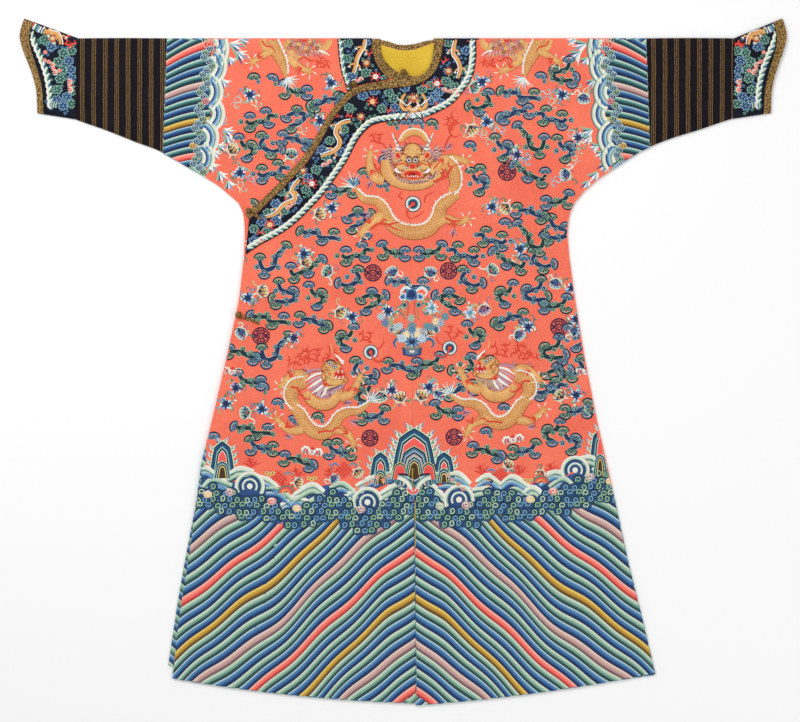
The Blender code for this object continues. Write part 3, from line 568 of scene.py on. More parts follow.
def cuff_tube(name, side, first, last, steps, finish):
    """A stretch of the horse-hoof cuff between two shares of its length, as a flattened tube."""
    rings = []
    for i in range(steps + 1):
        share = first + (last - first) * i / steps
        outline = [Vector(cuff_patch(side, share, k / ACROSS_STEPS)) for k in range(ACROSS_STEPS + 1)]
        width = sum((b - a).length for a, b in zip(outline, outline[1:]))
        inset_top, inset_bottom = (CLOTH + FOLD_GAP / 2) / width, (CLOTH + SEAM_FOLD / 2) / width

        def inside(k):
            """Share between the two folds at a column."""
            return inset_top + (1 - inset_top - inset_bottom) * k / ACROSS_STEPS

        ring = []
        for k in range(ACROSS_STEPS, -1, -1):
            ring.append((*cuff_patch(side, share, inside(k)), CLOTH))
        for k in range(1, FOLD_STEPS):
            angle = math.pi * k / FOLD_STEPS
            s = inset_top - FOLD_GAP / 2 / width * math.sin(angle)
            ring.append((*cuff_patch(side, share, s), CLOTH + FOLD_GAP / 2 * (1 - math.cos(angle))))
        for k in range(ACROSS_STEPS + 1):
            gap = FOLD_GAP + (SEAM_FOLD - FOLD_GAP) * ramp((k / ACROSS_STEPS - 0.6) / 0.4)
            point = cuff_patch(side, share, inside(k))
            soft = ripple(*point) * math.sin(math.pi * k / ACROSS_STEPS)
            ring.append((*point, CLOTH + gap + soft))
        for k in range(1, FOLD_STEPS):
            angle = math.pi * k / FOLD_STEPS
            s = 1 - inset_bottom + SEAM_FOLD / 2 / width * math.sin(angle)
            ring.append((*cuff_patch(side, share, s), CLOTH + SEAM_FOLD / 2 * (1 + math.cos(angle))))
        rings.append([place(*p) for p in ring])
    return sheet(name, rings, CLOTH, 1 if side == "left" else -1, finish, ring=True)


def cuff(side, ground, gold):
    """Both stretches of a cuff: the navy silk and its gold binding."""
    binding_share = CUFF_BINDING / (0.1 * CUFF_SHARE[side])
    cuff_tube("cuff_" + side, side, 0.0, 1 - binding_share - 0.008, CUFF_STEPS, ground)
    cuff_tube("cuff_binding_" + side, side, 1 - binding_share, 1.0, 2, gold)


def strip(name, rows, height, thickness, finish):
    """A flat strip between paired edge points, lying with its middle at height(x, drop)."""
    columns = 3
    grid = []
    for inner, outer in rows:
        inner, outer = Vector(inner), Vector(outer)
        row = [inner.lerp(outer, k / (columns - 1)) for k in range(columns)]
        grid.append([place(p.x, p.y, height(p.x, p.y)) for p in row])
    return sheet(name, grid, thickness, 0, finish)


def overlap_binding_rows():
    """Paired edges of the binding along the overlap's curved edge."""
    lower = smooth_path([(-x, d) for d, x in OVERLAP_EDGE[2:]], BINDING_EDGE_STEPS)
    rows = []
    for i, p in enumerate(lower):
        before, after = lower[max(i - 1, 0)], lower[min(i + 1, len(lower) - 1)]
        along = (after - before).normalized()
        out = Vector((along.y, -along.x))
        out = out if out.y < 0 else -out
        rows.append((p + out * (BINDING_WIDTH + SEAM_GAP), p + out * SEAM_GAP))
    return rows


BINDING_LIFT = 0.0007


def binding_height_outer(x, drop):
    """Middle of the binding on the outer front, just over the inner stretch where they cross."""
    return outer_height(x, drop) + BINDING_LIFT + BINDING / 2


def binding_height_under(x, drop):
    """Height of the neck binding's middle where it lies on the under front."""
    return under_height(x, drop) + BINDING / 2


def neck_binding(finish):
    """One bias strip: under the overlap, up the right neck, over both shoulders and down to the underarm."""
    def laid(rows, height, steps=0):
        """Rows of points across the strip, each at its height."""
        made = []
        if steps:
            rows = list(zip(smooth_path([r[0] for r in rows], steps),
                            smooth_path([r[1] for r in rows], steps)))
        for inner, outer in rows:
            inner, outer = Vector(inner), Vector(outer)
            outer = outer + (inner - outer).normalized() * BINDING_SETBACK
            row = [inner, inner.lerp(outer, 0.5), outer]
            made.append([(p.x, p.y, height(p.x, p.y)) for p in row])
        return made

    def turned(front_row, back_row, from_front):
        """Rows that carry the strip round the shoulder's fold."""
        rows = []
        for k in range(1, FOLD_STEPS):
            angle = math.pi * k / FOLD_STEPS
            row = []
            for f, b in zip(front_row, back_row):
                middle, radius = (f[2] + b[2]) / 2, (f[2] - b[2]) / 2
                swing = math.cos(angle) if from_front else -math.cos(angle)
                share = k / FOLD_STEPS if from_front else 1 - k / FOLD_STEPS
                flat = f[1] + (b[1] - f[1]) * share
                row.append((f[0] + (b[0] - f[0]) * share, flat - radius * math.sin(angle),
                            middle + radius * swing))
            rows.append(row)
        return rows

    right = laid(BINDING_RIGHT_NECK, binding_height_under, NECK_STEPS)
    back = laid(BINDING_BACK_NECK, lambda x, d: BINDING / 2)
    left = laid(BINDING_LEFT_NECK, binding_height_outer, NECK_STEPS + 4)
    edge = laid(overlap_binding_rows(), binding_height_outer)
    grid = right + turned(right[-1], back[0], True) + back + turned(left[0], back[-1], False) + left + edge
    placed = [[place(*p) for p in row] for row in grid]
    return sheet("neck_binding", placed, BINDING, 0, finish)


BAND_STEPS = 40


def collar_band(finish):
    """The navy band on the outer front: down from the left shoulder, round the neck and along the overlap."""
    upper = [pair[1] for pair in BINDING_LEFT_NECK[:-1]] + [(-x, d) for d, x in OVERLAP_EDGE[1:]]
    near = smooth_path(upper, BAND_STEPS)
    far = smooth_path(BAND_EDGE, BAND_STEPS)
    near = [p + (q - p).normalized() * SEAM_GAP for p, q in zip(near, far)]

    def height(x, drop):
        """Height of the band's middle."""
        return outer_top(x, drop) + LAYER_GAP + BAND / 2

    return strip("collar_band_outer", list(zip(near, far)), height, BAND, finish)


def shoulder_band(finish):
    """The same band on the under front's shoulder, where the overlap leaves it in sight."""
    near = smooth_path(SHOULDER_BAND_NECK, SHOULDER_BAND_STEPS)
    far = smooth_path(SHOULDER_BAND_EDGE, SHOULDER_BAND_STEPS)
    foot = smooth_path(SHOULDER_BAND_FOOT, SHOULDER_BAND_COLUMNS)
    grid = []
    for k, (start, end) in enumerate(zip(near, far)):
        share = (k / (SHOULDER_BAND_STEPS - 1)) ** 2
        row = []
        for j, low in enumerate(foot):
            u = j / (SHOULDER_BAND_COLUMNS - 1)
            p = start.lerp(end, u) + (low - near[-1].lerp(far[-1], u)) * share
            row.append(place(p.x, p.y, under_height(p.x, p.y) + CLOTH + LAYER_GAP + BAND / 2))
        grid.append(row)
    return sheet("collar_band_shoulder", grid, BAND, 0, finish)


LINING_DEPTH = 0.135
LINING_HALF = 0.066
LINING_MIDDLE = -0.0050
LINING_TOP = 0.0085
LINING_SETBACK = 0.0004
LINING_COLUMNS = 9
LINING_ROWS = (0.0, 0.25, 0.6, 1.0)


def neck_lining(finish):
    """The lining of the back, which shows through the neck."""
    grid = []
    for share in LINING_ROWS:
        row = []
        for k in range(LINING_COLUMNS):
            x = LINING_MIDDLE + LINING_HALF * (2 * k / (LINING_COLUMNS - 1) - 1)
            side = "left" if x > 0 else "right"
            top = max(LINING_TOP, look_up(sorted((v, d) for d, v in BACK_NECK[side]), abs(x))
                      + LINING_SETBACK)
            row.append(place(x, top + (LINING_DEPTH - top) * share, CLOTH + SEAM_GAP + LINING / 2))
        grid.append(row)
    return sheet("neck_lining", grid, LINING, 0, finish)


def nodes_of(name, roughness, shine=0.2):
    """A material with its shader's own values set, and its node tree."""
    made = bpy.data.materials.new(name)
    made.use_nodes = True
    shader = made.node_tree.nodes["Principled BSDF"]
    shader.inputs["Roughness"].default_value = roughness
    shader.inputs["Specular IOR Level"].default_value = shine
    return made, made.node_tree, shader


def add(tree, kind, settings=(), **inputs):
    """A node of that kind, with its properties and unlinked inputs set."""
    node = tree.nodes.new(kind)
    for key, value in dict(settings).items():
        setattr(node, key, value)
    for key, value in inputs.items():
        socket = node.inputs[int(key[1:])] if key[0] == "i" and key[1:].isdigit() else node.inputs[key]
        if isinstance(value, bpy.types.NodeSocket):
            tree.links.new(value, socket)
        else:
            socket.default_value = value
    return node


def maths(tree, operation, a, b=0.0):
    """The result of one sum in a shader."""
    return add(tree, "ShaderNodeMath", {"operation": operation}, i0=a, i1=b).outputs[0]


def blend_colours(tree, share, a, b, mode="MIX"):
    """Two colours mixed in a shader, each a socket or plain numbers."""
    mix = add(tree, "ShaderNodeMix", {"data_type": "RGBA", "blend_type": mode})
    for socket, value in ((mix.inputs[0], share), (mix.inputs[6], a), (mix.inputs[7], b)):
        if isinstance(value, bpy.types.NodeSocket):
            tree.links.new(value, socket)
        elif hasattr(value, "__len__"):
            socket.default_value = (*value[:3], 1.0)
        else:
            socket.default_value = value
    return mix.outputs[2]


def weave_bump(tree, shader, place_by, scale, strength, pucker=0.0):
    """Fine threads both ways, and the slow pucker of stitched cloth."""
    warp = add(tree, "ShaderNodeTexWave", {"bands_direction": "X"}, Vector=place_by, Scale=scale,
               Distortion=0.6)
    weft = add(tree, "ShaderNodeTexWave", {"bands_direction": "Y"}, Vector=place_by, Scale=scale * 0.7,
               Distortion=0.6)
    threads = maths(tree, "ADD", warp.outputs[1], weft.outputs[1])
    slow = add(tree, "ShaderNodeTexNoise", Vector=place_by, Scale=45.0, Detail=3.0)
    first = add(tree, "ShaderNodeBump", Strength=strength, Distance=0.0002, Height=threads)
    second = add(tree, "ShaderNodeBump", Strength=pucker, Distance=0.004, Height=slow.outputs[0],
                 Normal=first.outputs[0])
    tree.links.new(second.outputs[0], shader.inputs["Normal"])


def ramp_of(tree, factor, *stops):
    """A colour ramp of (position, colour or grey)."""
    node = add(tree, "ShaderNodeValToRGB", i0=factor)
    elements = node.color_ramp.elements
    while len(elements) < len(stops):
        elements.new(0.5)
    for element, (position, colour) in zip(elements, stops):
        element.position = position
        element.color = (*(colour if isinstance(colour, tuple) else (colour, ) * 3), 1.0)
    return node.outputs[0]


# Stripes of the layers that only show at their edges
UNDER_SLANT = 0.9
ARM_STRIPES_FROM = 0.432
UNDER_PITCH = 0.019
STRIPES_FROM = 505
FOLD_BAND = 0.0042
FOLD_FROM = 0.1105
FOLD_HALF = 0.0385


def striped_below(tree, spot, tone):
    """Slanting stripes under a height, which show at the cloth's edges and on the layers below the front."""
    place_by = add(tree, "ShaderNodeSeparateXYZ", Vector=spot)
    aside = maths(tree, "ABSOLUTE", maths(tree, "SUBTRACT", place_by.outputs[0], NECK_X))
    down = maths(tree, "SUBTRACT", SHOULDER_Y, place_by.outputs[1])
    slanted = maths(tree, "ADD", down, maths(tree, "MULTIPLY", aside, UNDER_SLANT))
    turns = maths(tree, "FRACT", maths(tree, "DIVIDE", slanted, UNDER_PITCH * 2))
    stripes = ramp_of(tree, turns, (0.0, linear(206, 222, 200)), (0.2, linear(140, 184, 160)),
                      (0.48, linear(26, 54, 56)), (0.52, linear(170, 204, 218)),
                      (0.72, linear(66, 116, 166)), (1.0, linear(20, 30, 66)))
    below = maths(tree, "GREATER_THAN", down, (STRIPES_FROM - SHOULDER_PX) * PX)
    below = maths(tree, "MAXIMUM", below, maths(tree, "GREATER_THAN", aside, ARM_STRIPES_FROM))
    tone = blend_colours(tree, below, tone, stripes)
    fold = maths(tree, "MULTIPLY", maths(tree, "LESS_THAN", down, FOLD_BAND),
                 maths(tree, "LESS_THAN", maths(tree, "ABSOLUTE",
                                                maths(tree, "SUBTRACT", aside, FOLD_FROM)), FOLD_HALF))
    return blend_colours(tree, fold, tone, linear(30, 36, 52))


def satin(name, colour, light, dark, roughness=0.5, pucker=0.25, striped=False):
    """Plain satin: weave, painted glints of light on floating threads as small paler flecks, and slightly
    uneven dye.
    """
    made, tree, shader = nodes_of(name, roughness, 0.12)
    spot = add(tree, "ShaderNodeTexCoord").outputs["Object"]
    uneven = add(tree, "ShaderNodeTexNoise", Vector=spot, Scale=9.0, Detail=5.0, Roughness=0.6)
    # Painted highlight: small flecks blended toward the paler colour stand in for glints of light on floating
    # threads.
    flecks = add(tree, "ShaderNodeTexNoise", Vector=spot, Scale=420.0, Detail=2.0)
    tone = blend_colours(tree, ramp_of(tree, uneven.outputs[0], (0.35, 0.0), (0.68, 1.0)), dark, colour)
    tone = blend_colours(tree, ramp_of(tree, flecks.outputs[0], (0.5, 0.0), (0.72, 0.65)), tone, light)
    if striped:
        tone = striped_below(tree, spot, tone)
    tree.links.new(tone, shader.inputs["Base Color"])
    weave_bump(tree, shader, spot, 1400.0, 0.25, pucker)
    return made


SLEEVE_PITCH = 11.45
SLEEVE_START = 0.25
SLEEVE_GROUP = 0.44
SLEEVE_LINE = 0.15
SLEEVE_THREAD = 0.36


def striped_cloth():
    """Dark silk with groups of four fine gold lines, running down the sleeve."""
    made, tree, shader = nodes_of("striped_sleeve", 0.6, 0.06)
    spot = add(tree, "ShaderNodeTexCoord").outputs["Object"]
    across = add(tree, "ShaderNodeSeparateXYZ", Vector=spot)
    wander = add(tree, "ShaderNodeTexNoise", Vector=spot, Scale=14.0, Detail=2.0)
    shifted = maths(tree, "ADD", across.outputs[0], maths(tree, "MULTIPLY", wander.outputs[0], 0.0035))
    turns = maths(tree, "DIVIDE", maths(tree, "ABSOLUTE", shifted), SLEEVE_PITCH * PX)
    group = maths(tree, "FRACT", maths(tree, "ADD", turns, SLEEVE_START))
    inside = maths(tree, "LESS_THAN", group, SLEEVE_GROUP)
    line = maths(tree, "FRACT", maths(tree, "DIVIDE", group, SLEEVE_LINE))
    thread = maths(tree, "LESS_THAN", line, SLEEVE_THREAD)
    worn = add(tree, "ShaderNodeTexNoise", Vector=spot, Scale=260.0, Detail=3.0)
    shown = maths(tree, "MULTIPLY", maths(tree, "MULTIPLY", inside, thread),
                  ramp_of(tree, worn.outputs[0], (0.3, 0.45), (0.6, 1.0)))
    uneven = add(tree, "ShaderNodeTexNoise", Vector=spot, Scale=30.0, Detail=4.0)
    ground = blend_colours(tree, uneven.outputs[0], linear(16, 13, 20), linear(30, 25, 32))
    tone = blend_colours(tree, shown, ground, linear(142, 110, 64))
    tree.links.new(tone, shader.inputs["Base Color"])
    weave_bump(tree, shader, spot, 1100.0, 0.3, 0.2)
    return made


def brocade():
    """Gold-brown brocade with dark and bright flecks."""
    made, tree, shader = nodes_of("gold_brocade", 0.45)
    shader.inputs["Metallic"].default_value = 0.15
    spot = add(tree, "ShaderNodeTexCoord").outputs["Object"]
    flecks = add(tree, "ShaderNodeTexVoronoi", Vector=spot, Scale=330.0)
    figure = add(tree, "ShaderNodeTexNoise", Vector=spot, Scale=190.0, Detail=3.0)
    dark = ramp_of(tree, flecks.outputs["Distance"], (0.25, 0.0), (0.62, 1.0))
    tone = blend_colours(tree, dark, linear(190, 152, 88), linear(80, 56, 26))
    tone = blend_colours(tree, ramp_of(tree, figure.outputs[0], (0.5, 0.0), (0.66, 0.8)), tone,
                         linear(122, 98, 50))
    tree.links.new(tone, shader.inputs["Base Color"])
    relief = add(tree, "ShaderNodeBump", Strength=0.6, Distance=0.0004, Height=dark)
    tree.links.new(relief.outputs[0], shader.inputs["Normal"])
    return made


def thread_finish(name, roughness, metallic=0.0, stitch=2.6, gold=False):
    """Embroidery: the colour laid on each stitch, with lines across the strip that the stitches run over."""
    made, tree, shader = nodes_of(name, roughness, 0.22)
    shader.inputs["Metallic"].default_value = metallic
    colour = add(tree, "ShaderNodeVertexColor", {"layer_name": "thread"}).outputs[0]
    along = add(tree, "ShaderNodeUVMap", {"uv_map": "stitch"}).outputs[0]
    lines = add(tree, "ShaderNodeTexWave", {"bands_direction": "X"}, Vector=along, Scale=stitch,
                Distortion=1.2)
    shade = add(tree, "ShaderNodeMath", {"operation": "MULTIPLY_ADD"}, i0=lines.outputs[1], i1=0.16,
                i2=0.90)
    tone = blend_colours(tree, 1.0, colour, shade.outputs[0], "MULTIPLY")
    height = lines.outputs[1]
    if gold:
        scales = add(tree, "ShaderNodeTexVoronoi", {"feature": "DISTANCE_TO_EDGE"}, Vector=along,
                     Scale=0.78)
        dark = ramp_of(tree, scales.outputs["Distance"], (0.02, 0.5), (0.2, 0.0))
        tone = blend_colours(tree, dark, tone, linear(190, 84, 46))
        height = maths(tree, "SUBTRACT", lines.outputs[1], dark)
    tree.links.new(tone, shader.inputs["Base Color"])
    relief = add(tree, "ShaderNodeBump", Strength=0.5, Distance=0.0004, Height=height)
    tree.links.new(relief.outputs[0], shader.inputs["Normal"])
    return made


def metal(name, colour, roughness):
    """Dark cast metal."""
    made, tree, shader = nodes_of(name, roughness, 0.5)
    shader.inputs["Metallic"].default_value = 0.7
    spot = add(tree, "ShaderNodeTexCoord").outputs["Object"]
    worn = add(tree, "ShaderNodeTexNoise", Vector=spot, Scale=600.0, Detail=3.0)
    tone = blend_colours(tree, worn.outputs[0], tuple(c * 0.5 for c in colour), colour)
    tree.links.new(tone, shader.inputs["Base Color"])
    return made


# Each satin's second colour is the paler tint of its painted glints; the third is the darker side of its
# uneven dye.
CORAL = (satin("coral_satin_cloth", linear(248, 120, 94), linear(255, 150, 118), linear(236, 104, 82),
               striped=True), "coral_satin")
NAVY = (satin("navy_satin_cloth", linear(17, 19, 36), linear(28, 32, 54), linear(10, 11, 24)), "navy_satin")
YELLOW = (satin("yellow_lining_cloth", linear(226, 190, 62), linear(240, 208, 90), linear(206, 166, 44),
                0.6, 0.5), "yellow_lining")
STRIPED = (striped_cloth(), "striped_sleeve")
BROCADE = (brocade(), "gold_brocade")

ACROSS_STEPS = 26
SLEEVE_STEPS = 20
CUFF_STEPS = 14
LEFT_HEM = (CENTRE_DROP["left"], SIDE["left"][-1][0])
BACK_LEFT_HEM = (LEFT_HEM[0] - 0.010, LEFT_HEM[1] + 0.003)
UNDER_HEM = (CENTRE_DROP["right"] - UNDER_HEM_LIFT, SIDE["right"][-1][0] - UNDER_HEM_LIFT)
BACK_RIGHT_HEM = (CENTRE_DROP["right"] - 0.012, BACK_SIDE_RIGHT[-1][0])
under_side = tuple((d, x - UNDER_EDGE_INSET * ramp((d - 0.35) / 0.06)) for d, x in SIDE["right"])
body("body_left", "left", neck_table("left"), SIDE["left"], outer_height, LEFT_HEM, SIDE["left"],
     BACK_LEFT_HEM, CORAL)
body("body_right", "right", neck_table("right"), under_side, under_height, UNDER_HEM, BACK_SIDE_RIGHT,
     BACK_RIGHT_HEM, CORAL)
front_overlap(CORAL)
for side in SIDE:
    sleeve_extension(side, STRIPED)
    cuff(side, NAVY, BROCADE)
neck_binding(BROCADE)
collar_band(NAVY)
shoulder_band(NAVY)
neck_lining(YELLOW)


# The fasteners keep their solids and only take a finish
FASTENERS = ("neck", "chest", "underarm", "hip")
BRASS = metal("aged_brass", linear(150, 112, 62), 0.45)
for place_name in FASTENERS:
    for node, made in (("button_", BRASS), ("button_loop_", BROCADE[0])):
        solid = bpy.data.objects[node + place_name]
        for material_slot in solid.material_slots:
            material_slot.material = made

def surface_of(*names):
    """The cloths of those names as one surface to lay embroidery on."""
    points, faces = [], []
    for name in names:
        mesh = CLOTHS[name].data
        base = len(points)
        points += [v.co.copy() for v in mesh.vertices]
        faces += [[base + i for i in p.vertices] for p in mesh.polygons]
    return BVHTree.FromPolygons(points, faces)


def edges_of(bands, start=0.0, span=1):
    """Where the bands of a strip begin and end, by their shares of its width."""
    whole = sum(b[0] for b in bands)
    edges = [start]
    for b in bands:
        edges.append(edges[-1] + span * b[0] / whole)
    return edges


class Work:
    """Embroidery of one kind, gathered in pixels of the photograph and laid on its cloth at the end."""

    def __init__(self, name, finish, *grounds):
        """Name and finish of the piece, and the names of the pieces it lies on."""
        self.name, self.finish, self.grounds = name, finish, grounds
        self.points, self.uvs, self.faces, self.colours = [], [], [], []

    def point(self, x, y, lift, u, v):
        """Add a point: its place in the picture, its lift in millimetres, its place on the thread."""
        self.points.append((x, y, lift))
        self.uvs.append((u, v))
        return len(self.points) - 1

    def face(self, corners, colours):
        """Add a face with one colour for each corner."""
        self.faces.append(corners)
        self.colours += colours

    def ribbon(self, path, widths, bands, lift=0.3, rise=0.3, step=2.0, smooth=True):
        """Satin stitch along a path. Widths are spaced evenly along it. Bands run from its left side to
        its right, each as (share, colour where it starts, colour where it ends)."""
        if isinstance(widths, (int, float)):
            widths = (widths, widths)
        length = sum(math.dist(a, b) for a, b in zip(path, path[1:]))
        count = max(3, int(length / step) + 2)
        line = smooth_path([(*p, ) for p in path], count) if smooth else [Vector(p) for p in path]
        count = len(line)
        if len(bands) == 1:
            a, b = bands[0][1:]
            middle = tuple((i + j) / 2 for i, j in zip(a, b))
            bands = ((1, a, middle), (1, middle, b))
        edges = edges_of(bands, -1.0, 2)
        base = len(self.points)
        travelled = 0.0
        for i, p in enumerate(line):
            before, after = line[max(i - 1, 0)], line[min(i + 1, count - 1)]
            along = (after - before).normalized()
            side = Vector((-along.y, along.x))
            if i:
                travelled += (p - line[i - 1]).length
            place_in = i / (count - 1) * (len(widths) - 1)
            k = min(int(place_in), len(widths) - 2)
            half = (widths[k] + (widths[k + 1] - widths[k]) * (place_in - k)) / 2
            for v in edges:
                q = p + side * half * v
                self.point(q.x, q.y, lift + rise * (1 - v * v), travelled, half * v)
        self.weave(base, count, bands)

    def weave(self, base, count, bands, back=False):
        """Faces of a strip of count rows of points, in the bands' colours; back turns them over."""
        n = len(bands) + 1
        for i in range(count - 1):
            for j, band in enumerate(bands):
                p = base + i * n + j
                corners, shades = (p, p + 1, p + n + 1, p + n), [band[1], band[2], band[2], band[1]]
                self.face(corners[::-1] if back else corners, shades)

    def patch(self, outline, rings, lift=0.3, rise=0.2, centre=None):
        """A filled shape. Rings run from its centre out, each as (share at its outer edge, two colours)."""
        n = len(outline)
        if centre is None:
            centre = (sum(p[0] for p in outline) / n, sum(p[1] for p in outline) / n)
        middle = self.point(*centre, lift + rise, 0.0, 0.0)
        rims = []
        for share, a, b in rings:
            rims.append([])
            for k, (x, y) in enumerate(outline):
                px, py = centre[0] + (x - centre[0]) * share, centre[1] + (y - centre[1]) * share
                rims[-1].append(self.point(px, py, lift + rise * (1 - share * share), px - centre[0],
                                           py - centre[1]))
        for k in range(n):
            m = (k + 1) % n
            share, a, b = rings[0]
            self.face((middle, rims[0][m], rims[0][k]), [a, b, b])
            for inner, outer, (share, a, b) in zip(rims, rims[1:], rings[1:]):
                self.face((inner[k], inner[m], outer[m], outer[k]), [a, a, b, b])

    def disc(self, x, y, rx, ry, rings, lift=0.3, rise=0.2, turn=0.0, sides=12):
        """An ellipse filled with rings."""
        c, s = math.cos(math.radians(turn)), math.sin(math.radians(turn))
        outline = []
        for k in range(sides):
            a = 2 * math.pi * k / sides
            dx, dy = rx * math.cos(a), ry * math.sin(a)
            outline.append((x + dx * c - dy * s, y + dx * s + dy * c))
        self.patch(outline, rings, lift, rise, (x, y))

    def arc(self, x, y, radius, start, end, width, bands, lift=0.3, rise=0.3, step=2.0, inward=0.0):
        """A ribbon round a centre, in degrees with 0 to the right and 90 down; inward spirals it in."""
        count = max(5, int(abs(math.radians(end - start)) * radius / step) + 3)
        path = []
        for k in range(count):
            t = k / (count - 1)
            a = math.radians(start + (end - start) * t)
            r = radius * (1 - inward * t)
            path.append((x + r * math.cos(a), y + r * math.sin(a)))
        self.ribbon(path, width, bands, lift, rise, step, smooth=False)

    def meets(self, ground, x, y):
        """Where the cloth lies under a place in the picture, or nothing where it misses."""
        spot = Vector(((x - NECK_PX) * PX + NECK_X, SHOULDER_Y - (y - SHOULDER_PX) * PX, 0.1))
        return ground.ray_cast(spot, Vector((0.0, 0.0, -1.0)))[0]

    def lay(self):
        """Drop every point on the cloth below it, leave out what misses it, and make one piece."""
        ground = surface_of(*self.grounds)
        placed, missed = [], set()
        for i, (x, y, lift) in enumerate(self.points):
            spot = self.meets(ground, x, y)
            if spot is None:
                missed.add(i)
                spot = Vector()
            spot.z += lift * 0.001
            placed.append(spot)
        faces, colours, uvs, at = [], [], [], 0
        for corners in self.faces:
            if not missed.intersection(corners):
                faces.append(corners)
                colours += self.colours[at:at + len(corners)]
                uvs += [self.uvs[c] for c in corners]
            at += len(corners)
        mesh = bpy.data.meshes.new(self.name)
        mesh.from_pydata(placed, [], faces)
        used = np.zeros(len(placed), dtype=bool)
        for corners in faces:
            used[list(corners)] = True
        srgb = np.array(colours, dtype=float) / 255
        lit = np.where(srgb < 0.04045, srgb / 12.92, ((srgb + 0.055) / 1.055) ** 2.4)
        attribute = mesh.color_attributes.new("thread", "BYTE_COLOR", "CORNER")
        attribute.data.foreach_set("color", np.hstack([lit, np.ones((len(lit), 1))]).ravel())
        layer = mesh.uv_layers.new(name="stitch")
        layer.data.foreach_set("uv", np.array(uvs, dtype=float).ravel())
        mesh.shade_smooth()
        made = bpy.data.objects.new(self.name, mesh)
        bpy.context.scene.collection.objects.link(made)
        shape = bmesh.new()
        shape.from_mesh(mesh)
        bmesh.ops.delete(shape, geom=[v for v in shape.verts if not v.link_faces], context="VERTS")
        shape.to_mesh(mesh)
        shape.free()
        mesh.materials.append(self.finish)
        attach(made, "root")
        return made


GROUND = ("body_left", "body_right", "front_overlap")
SILK = thread_finish("embroidery_silk", 0.42)
GOLD_THREAD = thread_finish("embroidery_gold", 0.42, 0.12, gold=True)

# Thread colours, red, green and blue
NIGHT = (26, 34, 62)
DEEP = (34, 58, 104)
BLUE = (52, 92, 150)
SKY = (120, 170, 208)
MIST = (188, 216, 226)
PINE = (20, 56, 60)
JADE = (72, 136, 120)
LEAF = (150, 196, 160)
PALE = (192, 222, 190)
IVORY = (240, 236, 220)
WHITE = (250, 248, 242)
SUN = (249, 208, 132)
OCHRE = (232, 170, 100)
EARTH = (118, 62, 36)
RED = (222, 56, 38)
ROSE = (238, 92, 82)
BLUSH = (250, 176, 160)
MAUVE = (176, 120, 140)
LILAC = (206, 166, 178)
PLUM = (78, 30, 72)
INK = (18, 18, 26)
RUST = (170, 84, 48)
EMBER = (240, 120, 84)
CORAL_RED = (240, 96, 70)


def one(colour, other=None):
    """A single band or ring of one colour, or shading between two."""
    return ((1, colour, other or colour), )


def on_side(side, middle, *points):
    """Points given by their distance from a middle line and their height, on one side of it."""
    return [(middle + side * x, y) for x, y in points]


def plain(*rings):
    """Rings or bands of one colour each."""
    return tuple((share, colour, colour) for share, colour in rings)


def turned(points, x, y, angle=0.0, size=1.0, flip=1):
    """Points of a motif moved to its place."""
    c, s = math.cos(math.radians(angle)) * size, math.sin(math.radians(angle)) * size
    return [(x + flip * (px * c - py * s), y + px * s + py * c) for px, py in points]


def cap(work, x, y, angle, size, dark, mid, light, lift=0.3):
    """A cloud's head: a dark arch, a pale arch under it and a pair of dark curls with pale eyes."""
    for arch, width, colour, up in (([(-5.9, 1.9), (-5.2, -0.9), (-2.9, -2.7), (0.0, -3.3), (2.9, -2.7),
                                      (5.2, -0.9), (5.9, 1.9)], 2.5, light, 0.0),
                                    ([(-6.3, 1.7), (-5.4, -1.2), (-3.0, -3.1), (0.0, -3.8), (3.0, -3.1),
                                      (5.4, -1.2), (6.3, 1.7)], 1.9, dark, 0.1)):
        work.ribbon(turned(arch, x, y, angle, size), (width * size * 0.6, width * size, width * size * 0.6),
                    one(colour), lift + up, 0.08, 1.7 * size)
    for side in (-1, 1):
        (cx, cy), = turned([(side * 2.5, 1.0)], x, y, angle, size)
        work.disc(cx, cy, 3.0 * size, 2.6 * size, ((0.88, dark, mid), (1.0, light, light)), lift + 0.08,
                  0.06, angle, 11)
        hook = [(1.0, 1.9), (0.9, 0.2), (2.5, -0.7), (3.9, 0.4), (3.3, 1.7), (2.2, 1.3)]
        work.ribbon(turned([(side * px, py) for px, py in hook], x, y, angle, size), 0.54 * size,
                    one(light), lift + 0.24, 0.05, 1.2 * size)
    work.disc(*turned([(0, 0.2)], x, y, angle, size)[0], 1.4 * size, 1.7 * size, one(dark, mid),
              lift + 0.22, 0.05, angle, 8)


def curl(work, x, y, angle, size, dark, light, lift=0.32):
    """A single curl on a stem: a dark hook round a pale eye."""
    work.disc(x, y, 3.1 * size, 2.8 * size, plain((0.84, dark), (1.0, light)), lift, 0.05, angle, 11)
    hook = [(-1.6, 1.5), (-1.8, -0.6), (-0.2, -1.6), (1.4, -0.5), (0.8, 0.8), (-0.3, 0.4)]
    work.ribbon(turned(hook, x, y, angle, size), 0.66 * size, one(light), lift + 0.16, 0.05, 1.1 * size)


